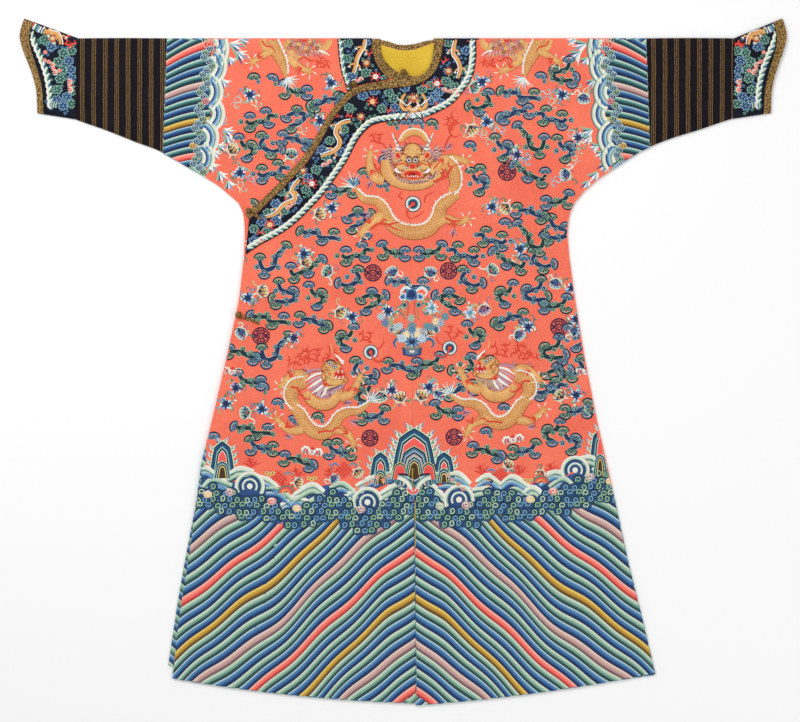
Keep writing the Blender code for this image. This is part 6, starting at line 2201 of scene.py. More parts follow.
def tangle(work, x, y, size=1.0, green=True, lift=0.3, turn=0):
    """A knot of small curls in blues or greens."""
    dark, mid, light = ((18, 52, 58), (42, 92, 94), (158, 204, 180)) if green else ((20, 40, 78),
                                                                                    (40, 76, 128),
                                                                                    (146, 188, 212))
    for k in range(6):
        a = turn * 0.3 + k * math.pi / 3 + 0.5 * math.sin(x)
        px, py = x + 3.4 * size * math.cos(a), y + 2.9 * size * math.sin(a)
        work.disc(px, py, 2.6 * size, 2.2 * size, one(mid, dark), lift + 0.02 * k, 0.08, 0, 8)
        hook = [(-1.7, 0.6), (-1.0, -1.3), (0.9, -1.2), (1.4, 0.4), (0.1, 0.6)]
        work.ribbon(turned(hook, px, py, 57 * a + 90, size), 0.55 * size, one(light), lift + 0.2, 0.05, 1.3)
    work.disc(x, y, 1.5 * size, 1.5 * size, one(light, mid), lift + 0.24, 0.1, 0, 8)


SLEEVE_FIELD = (20.0, 36.0, 790, 252)


def filled(work, step, clear, lift=0.2):
    """Curls all over a piece's cloth, in drifts of blue and green, with gaps of plain ground between them."""
    ground = surface_of(*work.grounds)
    row = 0
    left, y, right, foot = SLEEVE_FIELD
    while y < foot:
        x = left + step / 2 * (row % 2)
        while x < right:
            drift = math.sin(x * 0.11 + 1.3 * math.sin(y * 0.09)) + math.sin(y * 0.13 + x * 0.05)
            gap = math.sin(x * 0.23 + y * 0.19) * math.sin(y * 0.31 - x * 0.12)
            around = ((x - 3, y), (x + 3, y), (x, y - 3), (x, y + 3))
            if gap < clear and all(work.meets(ground, *spot) for spot in around):
                green = drift > 0.1
                dark, light = ((30, 70, 74), (122, 176, 152)) if green else ((26, 50, 94), (104, 150, 186))
                px, py = x + 0.8 * math.sin(y * 2.1 + x), y + 0.7 * math.sin(x * 1.7)
                work.disc(px, py, step * 0.52, step * 0.44, plain((0.8, dark), (1.0, (16, 26, 44))), lift,
                          0.08, 0, 9)
                way = 1 if (row + int(x)) % 2 else -1
                work.arc(px, py, step * 0.3, 100 * row, 100 * row + 360 * way, step * 0.105, one(light),
                         lift + 0.1, 0.05, 1.2, 0.6)
            x += step
        y += step * 0.78
        row += 1


def ball_of_fire(work, x, y, size=1.0, middle=WHITE, lift=0.5):
    """A small ball with seven flames round it."""
    for k in range(7):
        a = -90 + 46 * (k - 3)
        c, s = math.cos(math.radians(a)), math.sin(math.radians(a))
        work.ribbon([(x + c * 2 * size, y + s * 2 * size), (x + c * 4.2 * size - s, y + s * 4.2 * size + c),
                     (x + c * 6.4 * size, y + s * 6.4 * size)], (2.0 * size, 1.6 * size, 0.3),
                    one(RED, ROSE), lift, 0.1, 1.4)
    work.disc(x, y, 2.7 * size, 2.7 * size, plain((0.4, BLUSH), (1.0, middle)), lift + 0.16, 0.3, 0, 10)


def little_dragon(gold_work, silk_work, path, width, head, lift=0.4, spine=-1):
    """A small dragon: its body with a white spine, feet, and a head of gold and red."""
    gold_work.ribbon(path, (width * 0.6, width, width, width * 0.9, width * 0.4),
                     ((1, EARTH, OCHRE), (5, SUN, (232, 160, 84)), (1, OCHRE, EARTH)), lift, 0.35, 1.5)
    count = 9
    line = smooth_path(path, count)
    edge = []
    for i, p in enumerate(line):
        along = (line[min(i + 1, count - 1)] - line[max(i - 1, 0)]).normalized()
        side = Vector((-along.y, along.x))
        edge.append(tuple(p + side * width * 0.5 * spine))
        if i in (2, 6):
            for way in (-1, 1):
                foot = [p + side * width * 0.4 * way, p + side * width * 1.0 * way + along,
                        p + side * width * 1.3 * way + along * 3]
                gold_work.ribbon([tuple(q) for q in foot], (2.4, 1.8, 1.2), one(SUN, OCHRE), lift, 0.2, 1.4)
                for claw_angle in (-50, 0, 50):
                    a = math.atan2(along.y, along.x) + math.radians(claw_angle)
                    tip = foot[-1] + Vector((math.cos(a), math.sin(a))) * 2.4
                    silk_work.ribbon([tuple(foot[-1]), tuple(tip)], (0.9, 0.3), one(WHITE), lift + 0.2,
                                     0.08, 1.2)
    silk_work.ribbon(edge, 1.0, one(WHITE), lift + 0.28, 0.12, 1.5)
    x, y = head
    tuft(silk_work, x, y, 5.2, 90, 300, 9, (ROSE, SUN, MAUVE), lift + 0.3, 1.3, 1.0)
    gold_work.disc(x, y, 3.2, 3.6, ((0.6, SUN, SUN), (1.0, OCHRE, EARTH)), lift + 0.5, 0.3, 0, 10)
    for side in (-1, 1):
        silk_work.disc(x + side * 1.2, y - 0.6, 0.9, 0.8, plain((0.5, INK), (1.0, WHITE)), lift + 0.85,
                       0.08, 0, 8)
    silk_work.ribbon([(x - 1.5, y + 1.9), (x, y + 2.3), (x + 1.5, y + 1.9)], 1.0, one(RED), lift + 0.82,
                     0.06, 1.2)


def inset(points, gap):
    """A path moved sideways, to its right as it runs down the page."""
    line = smooth_path(points, 60)
    moved = []
    for i, p in enumerate(line):
        along = (line[min(i + 1, 59)] - line[max(i - 1, 0)]).normalized()
        moved.append((p.x - along.y * gap, p.y + along.x * gap))
    return moved


def to_px(across, drop):
    """Place in the picture of a point of the cloth."""
    return NECK_PX + across / PX, SHOULDER_PX + drop / PX


TANGLES = (
    (348, 43, 1), (369, 41, 0), (347, 59, 1), (352, 77, 0), (366, 73, 1), (386, 79, 1), (448, 43, 1),
    (466, 51, 0), (468, 70, 1), (446, 82, 1), (363, 96, 0), (374, 91, 0), (389, 93, 1), (394, 99, 1),
    (395, 108, 0), (382, 109, 1), (349, 108, 1), (430, 86, 1), (435, 96, 0), (439, 92, 0), (430, 101, 0),
    (344, 130, 1), (330, 141, 1), (341, 152, 0), (326, 157, 1), (322, 150, 0), (466, 82, 0), (455, 87, 1),
    (422, 90, 1), (440, 103, 0), (405, 88, 0), (316, 170, 1), (308, 178, 0), (300, 174, 1), (306, 190, 1),
    (294, 186, 0), (289, 196, 1), (297, 200, 0), (281, 192, 1), (276, 204, 0), (284, 211, 1), (268, 213, 1),
    (276, 221, 0), (262, 222, 0), (266, 232, 1), (254, 229, 1), (254, 241, 0), (337, 96, 0),
)


def collar_work(base, gold_work):
    """Embroidery of the collar band, with its braided edge."""
    filled(base, 4.9, 0.0)
    edge = [to_px(*p) for p in BAND_EDGE]
    braid(base, inset(edge, 3.3), 6.0, 0.34)
    for k, (x, y, green) in enumerate(TANGLES):
        tangle(base, x, y, 1.0 if green else 1.06, bool(green), 0.24 + 0.03 * (k % 3), k)
    for x, y, turn in ((358, 81, -20), (447.5, 91.5, 15), (457, 94, 60), (327, 164, -30), (291, 206, -40),
                       (262, 241, -30)):
        bat(base, x, y, 0.55, turn, BLUSH, ROSE, 0.5)
    for x, y, middle in ((375.5, 77, WHITE), (437, 84, WHITE), (372.5, 102, SUN), (312, 184, WHITE),
                         (270, 225, SUN)):
        ball_of_fire(base, x, y, 0.95, middle)
    for x, y, angle in ((370, 57, -80), (444, 65, -80), (346, 118, -30), (388, 114, -60), (433, 108, -40),
                        (422, 88, -30), (468, 42, -60), (334, 120, -60), (301, 184, -40), (283, 203, -40),
                        (258, 235, -40), (441, 47, -90)):
        flame(base, x, y, 8, angle, 0.9, RED, 0.45, int(x))
    little_dragon(gold_work, base, [(364.5, 39.5), (363.5, 47), (359.5, 53), (356.5, 60), (355, 67),
                                    (352.5, 73)], 4.2, (366.5, 63.5), 0.42, -1)
    little_dragon(gold_work, base, [(456, 40), (454, 48), (453.5, 54), (458, 61), (460.5, 69), (458.5, 79)],
                  4.2, (448.5, 71.5), 0.42, 1)
    little_dragon(gold_work, base, [(351, 121.5), (340, 124.5), (336.2, 133), (340.5, 142.5), (335, 151),
                                    (321, 157)], 4.4, (361, 117), 0.42, 1)
    little_dragon(gold_work, base, [(300, 180), (292, 190), (296, 199), (284, 205), (276, 214), (266, 218)],
                  4.2, (303, 171), 0.42, 1)
    for side in (-1, 1):
        gold_work.ribbon(on_side(side, 413.6, (3, 106), (8, 110), (12.5, 105.5), (11, 98), (8, 94)),
                         (3.6, 4.2, 4.2, 3.4, 2.0), ((1, EARTH, OCHRE), (5, SUN, (232, 160, 84)),
                                                     (1, OCHRE, EARTH)), 0.45, 0.35, 1.5)
        base.ribbon(on_side(side, 413.6, (3, 103), (7, 106), (9.8, 103.5), (17, 98)), (1.0, 1.0, 1.4, 0.4),
                    one(WHITE), 0.8, 0.12, 1.5)
    little_dragon(gold_work, base, [(409, 110.5), (413.6, 112), (418, 110.5)], 3.4, (413.6, 98.5), 0.5)
    tuft(base, 413.6, 100, 7.5, -90, 260, 14, (SUN, ROSE, MAUVE, OCHRE), 0.6, 1.4, 1.4)
    for k in range(11):
        x = 396.5 + 2.9 * k
        lean_by = 2.2 if k < 6 else -2.2
        base.ribbon([(x - lean_by, 119.6), (x, 116.6), (x + lean_by, 113.4)], 1.6,
                    one((WHITE, JADE, IVORY, NIGHT, ROSE, SKY, WHITE, JADE, IVORY, NIGHT, SKY)[k]), 0.72,
                    0.12, 1.6)


def shoulder_work(base):
    """The braided edge of the band on the under front's shoulder."""
    edge = [to_px(*p) for p in SHOULDER_BAND_EDGE]
    braid(base, inset(edge, -3.1), 5.6, 0.34)


CUFF_EDGE = ((32.5, 24), (31.8, 32), (35.4, 44), (40.6, 56), (45.2, 68), (48.4, 80), (50.2, 92),
             (50.8, 104), (51.4, 110))
CUFF_TANGLES = ((64, 53, 1), (58.5, 62, 1), (69, 61, 0), (51.6, 47, 0), (71, 70, 0), (60.5, 79, 1),
                (57.5, 90, 1), (67, 97, 0), (63.5, 106, 0), (71.5, 51, 1), (63, 70, 1), (72, 79, 0),
                (72, 104, 1), (57, 100, 0), (45, 40, 1), (74, 91, 1))
CUFF_MIRROR = 809.0


def cuff_work(base, gold_work, sign):
    """Embroidery of one horse-hoof cuff, drawn on the wearer's right and mirrored for the left."""
    def at(x, y):
        """A place in the picture, mirrored on the wearer's left."""
        return (x if sign < 0 else CUFF_MIRROR - x, y)

    def m(points):
        """The same for each point."""
        return [at(*p) for p in points]

    braid(base, m(CUFF_EDGE), 6.4, 0.34)
    for k, (x, y, green) in enumerate(CUFF_TANGLES):
        tangle(base, *at(x, y), 1.05, bool(green), 0.24 + 0.03 * (k % 3), k)
    path = m([(44, 34), (46.5, 28), (51, 33), (57, 34), (60, 40), (60.5, 45)])
    little_dragon(gold_work, base, path, 5.0, at(53, 39), 0.42, sign)
    for k, (x, y) in enumerate(((61, 34), (66, 33.5), (70, 36.5), (64, 38))):
        flame(base, *at(x, y), 7, -100 + 30 * k, 0.9, ROSE if k % 2 else SUN, 0.4, k)
    flame(base, *at(69, 49), 9, -100, 1.2, RED, 0.5, 1)
    flame(base, *at(73, 47), 7, -70, 1.0, RED, 0.5, 0)
    bat(base, *at(53.5, 69), 0.62, 70 * -sign, BLUSH, ROSE, 0.5)
    bat(base, *at(69.8, 86), 0.66, 85 * -sign, BLUSH, ROSE, 0.5)
    for x, y in ((45.6, 52.5), (45, 60.5), (60, 71), (49, 62)):
        base.disc(*at(x, y), 2.1, 2.0, one(ROSE, BLUSH), 0.6, 0.15, 0, 9)
    for k in range(7):
        x, y = 33 + 1.7 * k, 23.5 + 1.0 * k
        base.ribbon(m([(x - 1.5, y + 5.0), (x + 0.3, y + 2.2), (x + 1.6, y - 0.6)]), 1.6,
                    one((ROSE, WHITE, JADE, SKY, IVORY, BLUE, JADE)[k]), 0.62, 0.14, 1.6)
    for k in range(4):
        base.ribbon(m([(49 + 2.4 * k, 108), (49.6 + 2.4 * k, 103.5), (51 + 2.4 * k, 101)]), (1.8, 1.6, 0.5),
                    one(IVORY, JADE), 0.6, 0.14, 1.5)


SPRIGS = (
    (250, 95, 0), (331, 83, 0), (320, 121, 1), (240, 173, 1), (332, 208, 3), (482, 82, 0), (562, 95, 1),
    (487, 122, 0), (517, 155, 2), (492, 207, 0), (520, 249, 3), (578, 138, 2), (304, 254, 0), (572, 288, 1),
    (248, 298, 1), (352, 317, 0), (388, 311, 0), (432, 308, 4), (470, 313, 4), (576, 319, 0), (294, 338, 2),
    (528, 327, 3), (226, 404, 0), (262, 409, 1), (392, 390, 2), (429, 387, 3), (576, 395, 0), (236, 388, 2),
)
EMBLEMS = (
    (291, 155, 0), (232, 150, 2), (319, 214, 2), (474, 87, 0), (472, 129, 2), (584, 98, 1), (506, 208, 2),
    (566, 175, 1), (328, 272, 0), (392, 273, 1), (430, 273, 1), (492, 270, 0), (262, 291, 2), (340, 312, 2),
    (484, 309, 3), (556, 283, 1), (242, 333, 1), (246, 413, 0), (560, 396, 2), (400, 398, 2), (421, 396, 2),
    (305, 262, 2), (574, 330, 1), (519, 334, 1), (381, 396, 0), (440, 394, 1), (590, 410, 0), (240, 250, 1),
    (576, 255, 2),
)
BATS = ((312, 452, 10), (513, 440, -10), (586, 372, 0), (232, 372, 10))
ROUNDELS = ((507, 172, 9.2), (373, 273, 8.8), (448.5, 271, 8.8), (261, 336, 9.0), (559, 327, 9.0),
            (370, 438, 8.6), (454, 437, 8.6))
WISPS = (
    (206, 94, 0), (224, 93, 40), (227, 137, 70), (234, 148, 100), (302, 129, 10), (222, 121, -30),
    (577, 83, 60), (586, 94, 120), (500, 130, -10), (573, 135, 60), (582, 149, 110), (556, 182, 140),
    (573, 160, -50), (243, 187, 60), (254, 178, 20), (482, 132, 30), (491, 141, 150), (314, 112, 0),
    (323, 128, 60), (469, 133, -20), (528, 160, 90), (238, 103, 110), (257, 103, 30), (545, 93, -20),
    (553, 104, 80), (517, 260, 60), (505, 243, 20), (494, 205, -60),
)
TREASURES = ((252, 463, 0), (298, 473, 1), (331, 473, 0), (279, 479, 2), (270, 473, 3), (298, 482, 4),
             (334, 478, 4), (358, 472, 4), (482, 470, 0), (500, 476, 2), (520, 470, 1), (541, 474, 4),
             (552, 468, 0), (490, 482, 4), (528, 480, 3), (395, 486, 0), (434, 484, 2), (312, 478, 3),
             (344, 470, 2), (508, 465, 4))


def treasures(work):
    """Corals, coins and shells among the waves."""
    for k, (x, y, kind) in enumerate(TREASURES):
        if kind in (0, 1):
            tuft(work, x, y + 4, 11, -90, 110, 6, (RED, ROSE), 0.4, 1.6, 2.0)
            tuft(work, x - 2, y - 1, 5, -110, 70, 3, (RED, ), 0.5, 1.1, 1.2)
        elif kind == 2:
            for j in range(4):
                for way in (-1, 1):
                    gap = -4.2 + 2.8 * j
                    cx, cy = x + gap * 0.72, y - gap * 0.72 * way
                    work.ribbon([(cx - way * 5.0, cy - 5.0), (cx, cy), (cx + way * 5.0, cy + 5.0)], 1.5,
                                plain((0.4, ROSE), (1, RED), (0.4, ROSE)), 0.46 + 0.02 * j, 0.1, 1.8)
            for side in (-1, 1):
                work.ribbon([(x + side * 5, y - 4), (x + side * 9, y - 7), (x + side * 13, y - 4.5),
                             (x + side * 15, y - 7.5)], (1.4, 2.0, 1.6, 0.6),
                            one((BLUE, JADE)[side > 0], SKY), 0.4, 0.1, 1.7)
        elif kind == 3:
            for j in range(3):
                work.disc(x + 3.0 * (j - 1), y + 1.2 * (j % 2), 2.6, 2.3,
                          plain((0.35, EARTH), (0.7, SUN), (1.0, OCHRE)), 0.5 + 0.04 * j, 0.15, 0, 10)
        else:
            emblem(work, x, y, 0.85, 20 * k, 1 + k % 2, 0.4)


def vase_of_flowers(work):
    """The stand with its bowl and flowers in the middle of the skirt's top."""
    for side in (-1, 1):
        work.ribbon(on_side(side, 414, (2, 291), (8, 287.5), (13, 292), (10, 296.5), (7.6, 293.5)),
                    (2.2, 3.2, 2.6, 1.6, 0.8), one(MIST, WHITE), 0.5, 0.2, 1.8)
        for k in range(4):
            work.ribbon([(414 + side * (3.4 + 2.6 * k), 302 + 4.5 * k),
                         (414 + side * (7 + 3 * k), 299 + 4 * k),
                         (414 + side * (11 + 3.4 * k), 303 + 4.4 * k),
                         (414 + side * (8.5 + 3.4 * k), 306 + 4.4 * k)], (1.8, 1.6, 1.4, 0.5),
                        one((LEAF, JADE, LEAF, JADE)[k]), 0.4, 0.15, 1.7)
        for k in range(7):
            petals(work, 413 + side * (4.5 + 4.6 * k), 331 - 2.4 * k + 3.6 * (k % 2), 4.4, 9,
                   (SUN, BLUE, SKY, JADE)[k % 4], (SKY, IVORY, WHITE, JADE)[(k + side) % 4], 0.5 + 0.02 * k,
                   30 * k)
            work.ribbon([(413 + side * (3 + 4 * k), 333 - 1.2 * k),
                         (413 + side * (6 + 4.4 * k), 337 - 2 * k)], (1.6, 0.4), one(LEAF, JADE), 0.42, 0.1,
                        1.6)
        for k in range(3):
            emblem(work, 414 + side * (9 + 6.4 * k), 336 - 3.5 * k, 0.62, side * 40 * k, (0, 2, 1)[k], 0.36)
        work.ribbon(on_side(side, 414, (9, 342), (15, 338.5), (20, 343), (17.5, 348)), (2.4, 3.0, 2.8, 1.0),
                    ((1.0, SKY, SKY), (1.6, BLUE, DEEP), (0.6, JADE, JADE)), 0.4, 0.2, 1.8)
    work.patch([(405.5, 299), (406, 293), (408, 289.5), (411.5, 288.5), (415, 289.5), (417, 293),
                (417.5, 299), (411.5, 300.5)], plain((0.6, DEEP), (0.9, BLUE), (1.0, SKY)), 0.6, 0.3)
    for side in (-1, 1):
        wing = on_side(side, 411.5, (5, 293), (10, 293.5), (13, 297), (11, 300.5), (5.5, 300))
        work.patch(wing if side > 0 else wing[::-1], plain((0.4, BLUE), (0.75, SKY), (1.0, IVORY)), 0.56,
                   0.2)
    for k in (0, 1, 3, 4):
        work.ribbon([(404.4 + 3.4 * k, 301), (404.8 + 3.2 * k, 309), (404.2 + 3.5 * k, 320)],
                    (1.5, 1.1, 1.7), one(((190, 132, 96), (206, 96, 74))[k % 2]), 0.4, 0.15, 2.0)
    for x in (404.5, 418.5):
        work.disc(x, 305, 3.0, 3.4, ((0.5, DEEP, DEEP), (0.8, JADE, LEAF), (1.0, MAUVE, MAUVE)), 0.6, 0.25,
                  0, 9)
    petals(work, 411, 318, 4.6, 8, JADE, IVORY, 0.6, 10)
    petals(work, 412, 326, 5.0, 8, SKY, JADE, 0.62, 30)
    bowl = [(402.5, 333), (408, 331), (414, 330.4), (420, 331), (425.5, 333), (424, 341), (420, 347),
            (414, 349), (408, 347), (404, 341)]
    work.patch([(x - 2, y) for x, y in bowl],
               ((0.5, IVORY, IVORY), (0.8, WHITE, MIST), (1.0, (190, 176, 150), (150, 140, 130))), 0.6, 0.4)
    for x, y, reach, inner, outer in ((412, 341.5, 7.5, DEEP, SKY), (401.5, 338.5, 5.0, SKY, WHITE),
                                      (422, 338.5, 5.0, SKY, WHITE), (407, 334.5, 4.4, SUN, IVORY),
                                      (417, 334.5, 4.4, SUN, IVORY), (412, 331, 4.6, BLUE, SKY)):
        petals(work, x, y, reach, 10, inner, outer, 1.0, 9 * x)
    work.disc(412, 341.5, 3.0, 2.8, plain((0.6, NIGHT), (1.0, DEEP)), 1.3, 0.2, 0, 10)
    base = [(402, 346.5), (412, 348.5), (422, 346.5), (421, 355), (412, 357), (403, 355)]
    work.patch(base, ((0.25, IVORY, IVORY), (0.7, (120, 140, 160), (90, 112, 140)), (1.0, BLUE, DEEP)), 0.5,
               0.2)
    work.ribbon([(402, 347), (412, 349), (422, 347)], 1.8, one((176, 160, 130), (120, 108, 90)), 0.9, 0.1,
                2.0)


def shoulder_dragon(gold, silk, mirror):
    """The part of a shoulder's dragon that shows on the front, hanging over the shoulder fold."""
    def at(x, y):
        """A place in the picture, mirrored on the wearer's left."""
        return (mirror - x if mirror else x, y)

    def m(points):
        """The same for each point."""
        return [at(*p) for p in points]

    def aim(angle):
        """An angle, mirrored in the same way."""
        return 180 - angle if mirror else angle

    spine = 1 if mirror else -1
    gold.ribbon(m([(262, 39.5), (263.5, 44), (268, 49), (274, 51)]), (7, 9, 9, 7), one(SUN, OCHRE), 0.45,
                0.4, 1.8)
    leg(gold, silk, m([(275, 50), (266, 54), (258, 59), (253, 62)]), 9, aim(165))
    leg(gold, silk, m([(289, 56), (294, 63), (302, 68.5), (309, 71)]), 10, aim(20))
    scaled_body(gold, silk, m([(272, 39.8), (274, 45), (277, 52), (281.5, 60), (284.5, 69), (286.5, 77)]),
                (12, 13.5, 13, 11, 8, 3), spine, 0.55)
    tuft(silk, *at(287, 78), 13, aim(62), 120, 9, (WHITE, IVORY, MIST), 0.6, 1.5, 3.0)
    gold.ribbon(m([(286, 42), (288, 50), (294, 56), (303, 58)]), (6, 7, 7, 5), one(SUN, OCHRE), 0.6, 0.3,
                1.8)
    gold.ribbon(m([(329.5, 39.6), (328.5, 43.5), (325, 47.5), (320, 50)]), (5, 7, 7, 4), one(SUN, OCHRE),
                0.5, 0.35, 1.8)
    for k in range(40):
        x, y = 289 + 4.1 * (k % 8) + 2 * (k // 8 % 2), 41.5 + 3.4 * (k // 8)
        if (y - 40) < 14 - abs(x - 304) * 0.35:
            silk.disc(*at(x, y), 3.0, 2.6, one(((206, 146, 96), (204, 140, 112))[k % 2]), 1.0 + 0.004 * k,
                      0.1, 0, 9)
            silk.arc(*at(x, y), 1.9, 50 * k, 50 * k + 300, 0.9,
                     one((SUN, MAUVE, ROSE, EARTH, LILAC)[k % 5]), 1.2, 0.08, 1.3, 0.5)
    for k in range(11):
        x, y = 290.5 + 2.9 * k, 51.5 + 2.4 * math.sin(k * 0.62)
        tuft(silk, *at(x, y), 8.0, aim(128 - 8 * k), 60, 5, (MAUVE, SUN, LILAC, ROSE),
             0.62 + 0.02 * (k % 3), 1.4, 1.8)
    silk.patch(m([(301, 39.8), (304.5, 39.6), (308, 39.8), (307, 42.6), (302, 42.6)]),
               plain((0.6, RED), (1.0, ROSE)), 1.5, 0.2)
    silk.ribbon(m([(316, 48.5), (320, 51), (325, 52.5), (330, 56.5)]), (2.0, 1.8, 1.4, 0.4), one(WHITE),
                0.9, 0.2, 1.7)
    silk.ribbon(m([(319, 50), (321, 46.5)]), (1.3, 0.5), one(WHITE), 0.95, 0.2, 1.7)
    branch(silk, m([(299, 60), (305, 57.5), (310, 61), (316, 60.5)]), 1.8, RED, 1.15)
    branch(silk, m([(262, 41), (266, 46), (272, 47.5), (276, 53)]), 1.8, RED, 1.1)
    fire(silk, *at(318, 68), aim(-40), 1.0, forks=2)
    branch(silk, m([(316, 62), (322, 64), (326, 60.5), (332, 64)]), 1.5)


def ground_work(work):
    """Sprigs, emblems, bats and wisps scattered over the ground."""
    for k, (x, y, kind) in enumerate(SPRIGS):
        sprig(work, x, y, 1.12, 23 * k, (BLUE, BLUE, (110, 90, 150), BLUE, WHITE)[kind], LEAF, k,
              0.32 + 0.02 * (k % 2))
    for k, (x, y, kind) in enumerate(EMBLEMS):
        emblem(work, x, y, 1.0, 37 * k, kind, 0.34)
    for x, y, turn in BATS:
        bat(work, x, y, 1.0, turn, WHITE, (200, 60, 70))
    for k, (x, y, turn) in enumerate(WISPS):
        wisp(work, x, y, turn, 1.0, (LEAF, JADE, SKY)[k % 3], (MAUVE, SUN, BLUE)[k % 3])


SUNS = ((286, 491), (541, 481))
BUDS = ((367, 484), (372, 481), (377, 477), (383, 480), (388, 476), (452, 480), (458, 484), (448, 475),
        (463, 489), (357, 489), (363, 478))


def sunbursts(work):
    """Half suns with red rays that rise behind the waves, and buds that float on them."""
    for x, y in SUNS:
        tuft(work, x, y, 9.5, -90, 200, 11, (RED, ROSE), 0.9, 2.0, 0.6)
        for k, colour in enumerate((JADE, ROSE, OCHRE)):
            work.arc(x, y + 2.5, 7.6 - 1.9 * k, 190, 350, 1.7, one(colour), 1.0 + 0.02 * k, 0.1, 1.8)
    for k, (x, y) in enumerate(BUDS):
        petals(work, x, y, 3.0, 5, ROSE if k % 2 else RED, IVORY if k % 3 else SUN, 1.2 + 0.02 * (k % 3),
               40 * k)


# Twice the middle line about which the dragons of the skirt and of the shoulders are mirrored
SKIRT_MIRROR = 820.5
SHOULDER_MIRROR = 811.0

clouds = Work("embroidery_clouds", SILK, *GROUND)
water = Work("embroidery_standing_water", SILK, *GROUND)
waves = Work("embroidery_waves", SILK, *GROUND)
gold = Work("embroidery_dragons_gold", GOLD_THREAD, *GROUND)
silk = Work("embroidery_dragons_silk", SILK, *GROUND)
standing_water(water)
chest_dragon(gold, silk)
side_dragon(gold, silk, 0)
side_dragon(gold, silk, SKIRT_MIRROR)
rollers(waves)
curl_band(waves)
mountains(waves, waves)

# Clouds on the ground: across and down in pixels, kind, flip, tint
CLOUD_PLACES = (
    (296, 92, 9, 1, 1), (326, 100, 7, -1, 0), (256, 119, 8, 1, 1), (297, 116, 5, 1, 0), (247, 148, 3, 1, 1),
    (271, 147, 4, -1, 0), (296, 139, 7, 1, 2), (268, 171, 8, 1, 0), (342, 191, 9, -1, 1),
    (358, 217, 5, 1, 0), (562, 73, 2, -1, 1), (518, 94, 6, 1, 0), (479, 104, 4, 1, 1), (515, 112, 7, -1, 2),
    (556, 117, 8, -1, 0), (503, 148, 3, 1, 0), (537, 146, 0, -1, 1), (565, 149, 3, 1, 0),
    (479, 182, 3, 1, 0), (537, 178, 1, -1, 1), (530, 211, 7, 1, 0), (557, 202, 9, -1, 1),
    (558, 230, 2, 1, 0), (537, 244, 0, -1, 1), (318, 234, 6, 1, 0), (267, 266, 0, 1, 0),
    (299, 273, 1, 1, 1), (352, 253, 8, 1, 1), (394, 253, 9, 1, 1), (349, 281, 4, 1, 0), (407, 283, 6, 1, 2),
    (286, 294, 2, 1, 0), (317, 296, 3, 1, 1), (372, 298, 5, 1, 1), (268, 318, 6, 1, 1), (313, 320, 7, 1, 0),
    (346, 338, 3, -1, 1), (496, 238, 8, -1, 0), (430, 253, 9, -1, 1), (468, 253, 8, -1, 0),
    (543, 262, 4, -1, 0), (516, 265, 1, -1, 1), (472, 281, 4, -1, 0), (449, 298, 5, -1, 1),
    (505, 294, 3, -1, 1), (534, 292, 2, -1, 0), (510, 317, 7, -1, 0), (555, 306, 9, -1, 1),
    (475, 335, 3, 1, 1), (576, 338, 3, 1, 2), (552, 350, 2, -1, 1), (572, 370, 4, 1, 0),
    (242, 352, 7, 1, 1), (269, 356, 0, 1, 0), (250, 382, 9, 1, 1), (401, 366, 7, 1, 0),
    (428, 364, 9, -1, 1), (365, 372, 4, -1, 0), (462, 368, 4, 1, 1), (364, 393, 3, -1, 1),
    (460, 388, 7, -1, 0), (373, 417, 9, -1, 0), (447, 412, 9, 1, 1), (546, 388, 8, 1, 0),
    (557, 373, 5, 1, 1), (576, 411, 9, -1, 0), (552, 432, 3, -1, 1), (252, 429, 6, 1, 1),
    (262, 448, 9, 1, 0), (298, 459, 7, 1, 1), (340, 452, 9, 1, 0), (486, 450, 7, 1, 1),
    (524, 451, 9, -1, 0), (571, 441, 3, 1, 0),
)
SMALL_CLOUDS = (
    (254, 77, 0), (273, 78, 20), (341, 97, -20), (255, 204, 60), (383, 185, 0), (384, 159, -30),
    (364, 172, 0), (470, 145, 0), (541, 76, 10), (480, 168, 0), (264, 386, 30), (278, 402, 0),
    (318, 416, 0), (504, 407, 0), (294, 420, 40), (337, 442, 0), (486, 431, 0), (214, 436, 0),
    (393, 123, 0), (406, 122, 0), (418, 122, 0), (432, 123, 0), (505, 222, 0), (366, 236, 180),
)
for k, (x, y, kind, flip, tint) in enumerate(CLOUD_PLACES):
    cloud(clouds, x, y, kind, flip, tint, 1.0, 0.3 + 0.02 * (k % 3))
for k, (x, y, angle) in enumerate(SMALL_CLOUDS):
    small_cloud(clouds, x, y, angle, k, 1.0)

flowers = Work("embroidery_flowers", SILK, *GROUND)
ground_work(flowers)
vase_of_flowers(flowers)
treasures(flowers)
sunbursts(flowers)
fret = Work("embroidery_roundels", SILK, *GROUND)
for x, y, radius in ROUNDELS:
    roundel(fret, x, y, radius)
arm_stripes(water)
arm_waves(waves)
shoulder_dragon(gold, silk, 0)
shoulder_dragon(gold, silk, SHOULDER_MIRROR)
collar_silk = Work("embroidery_collar_silk", SILK, "collar_band_outer", "collar_band_shoulder")
collar_gold = Work("embroidery_collar_gold", GOLD_THREAD, "collar_band_outer", "collar_band_shoulder")
collar_work(collar_silk, collar_gold)
shoulder_work(collar_silk)
cuff_silk = Work("embroidery_cuffs_silk", SILK, "cuff_left", "cuff_right")
cuff_gold = Work("embroidery_cuffs_gold", GOLD_THREAD, "cuff_left", "cuff_right")
filled(cuff_silk, 5.0, -0.14)
for sign in (-1, 1):
    cuff_work(cuff_silk, cuff_gold, sign)

for piece in (clouds, water, waves, gold, silk, flowers, fret, collar_silk, collar_gold, cuff_silk,
              cuff_gold):
    piece.lay()

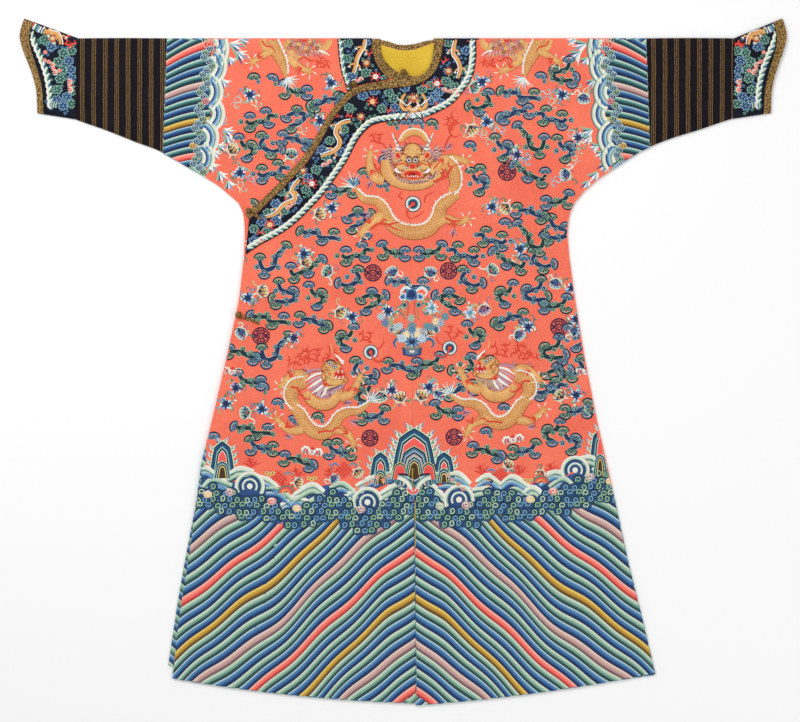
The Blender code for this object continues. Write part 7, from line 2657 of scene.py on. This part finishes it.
FLOOR_HALF = 3.0
FLOOR_CLEAR = 0.001
PAPER = (0.96, 0.96, 0.96, 1.0)
floor_mesh = bpy.data.meshes.new("floor")
floor_corners = [(x * FLOOR_HALF, y * FLOOR_HALF, 0) for x, y in ((-1, -1), (1, -1), (1, 1), (-1, 1))]
floor_mesh.from_pydata(floor_corners, [], [(0, 1, 2, 3)])
floor = bpy.data.objects.new("floor", floor_mesh)
floor.location.z = cad_low[2] - FLOOR_CLEAR
bpy.context.scene.collection.objects.link(floor)
paper, _, paper_shader = nodes_of("paper", 0.9)
paper_shader.inputs["Base Color"].default_value = PAPER
floor_mesh.materials.append(paper)

CAMERA_HEIGHT = 6.0
PICTURE = (800, 722)
PICTURE_WIDTH = PICTURE[0] * PX
SENSOR = 36.0
camera_data = bpy.data.cameras.new("camera")
camera_data.sensor_width = SENSOR
camera_data.lens = SENSOR * CAMERA_HEIGHT / PICTURE_WIDTH
camera = bpy.data.objects.new("camera", camera_data)
camera.location = ((PICTURE[0] / 2 - NECK_PX) * PX + NECK_X,
                   SHOULDER_Y - (PICTURE[1] / 2 - SHOULDER_PX) * PX, CAMERA_HEIGHT)
bpy.context.scene.collection.objects.link(camera)
bpy.context.scene.camera = camera


def lamp(name, place_at, size, power):
    """A square lamp that faces the middle of the frame."""
    light = bpy.data.lights.new(name, "AREA")
    light.size = size
    light.energy = power
    made = bpy.data.objects.new(name, light)
    made.location = place_at
    made.rotation_euler = (-Vector(place_at)).to_track_quat("-Z", "Y").to_euler()
    bpy.context.scene.collection.objects.link(made)


# Lamps: name, place and size in metres, power
LAMPS = (("key", (-1.6, 2.2, 2.6), 1.6, 62.0), ("fill", (2.2, -1.0, 2.8), 2.4, 26.0))
WORLD_LIGHT = 0.62
for settings in LAMPS:
    lamp(*settings)
world = bpy.data.worlds.new("studio")
world.use_nodes = True
sky = world.node_tree.nodes["Background"].inputs
sky[0].default_value = (1.0, 1.0, 1.0, 1.0)
sky[1].default_value = WORLD_LIGHT
bpy.context.scene.world = world
bpy.context.scene.view_settings.view_transform = "Standard"
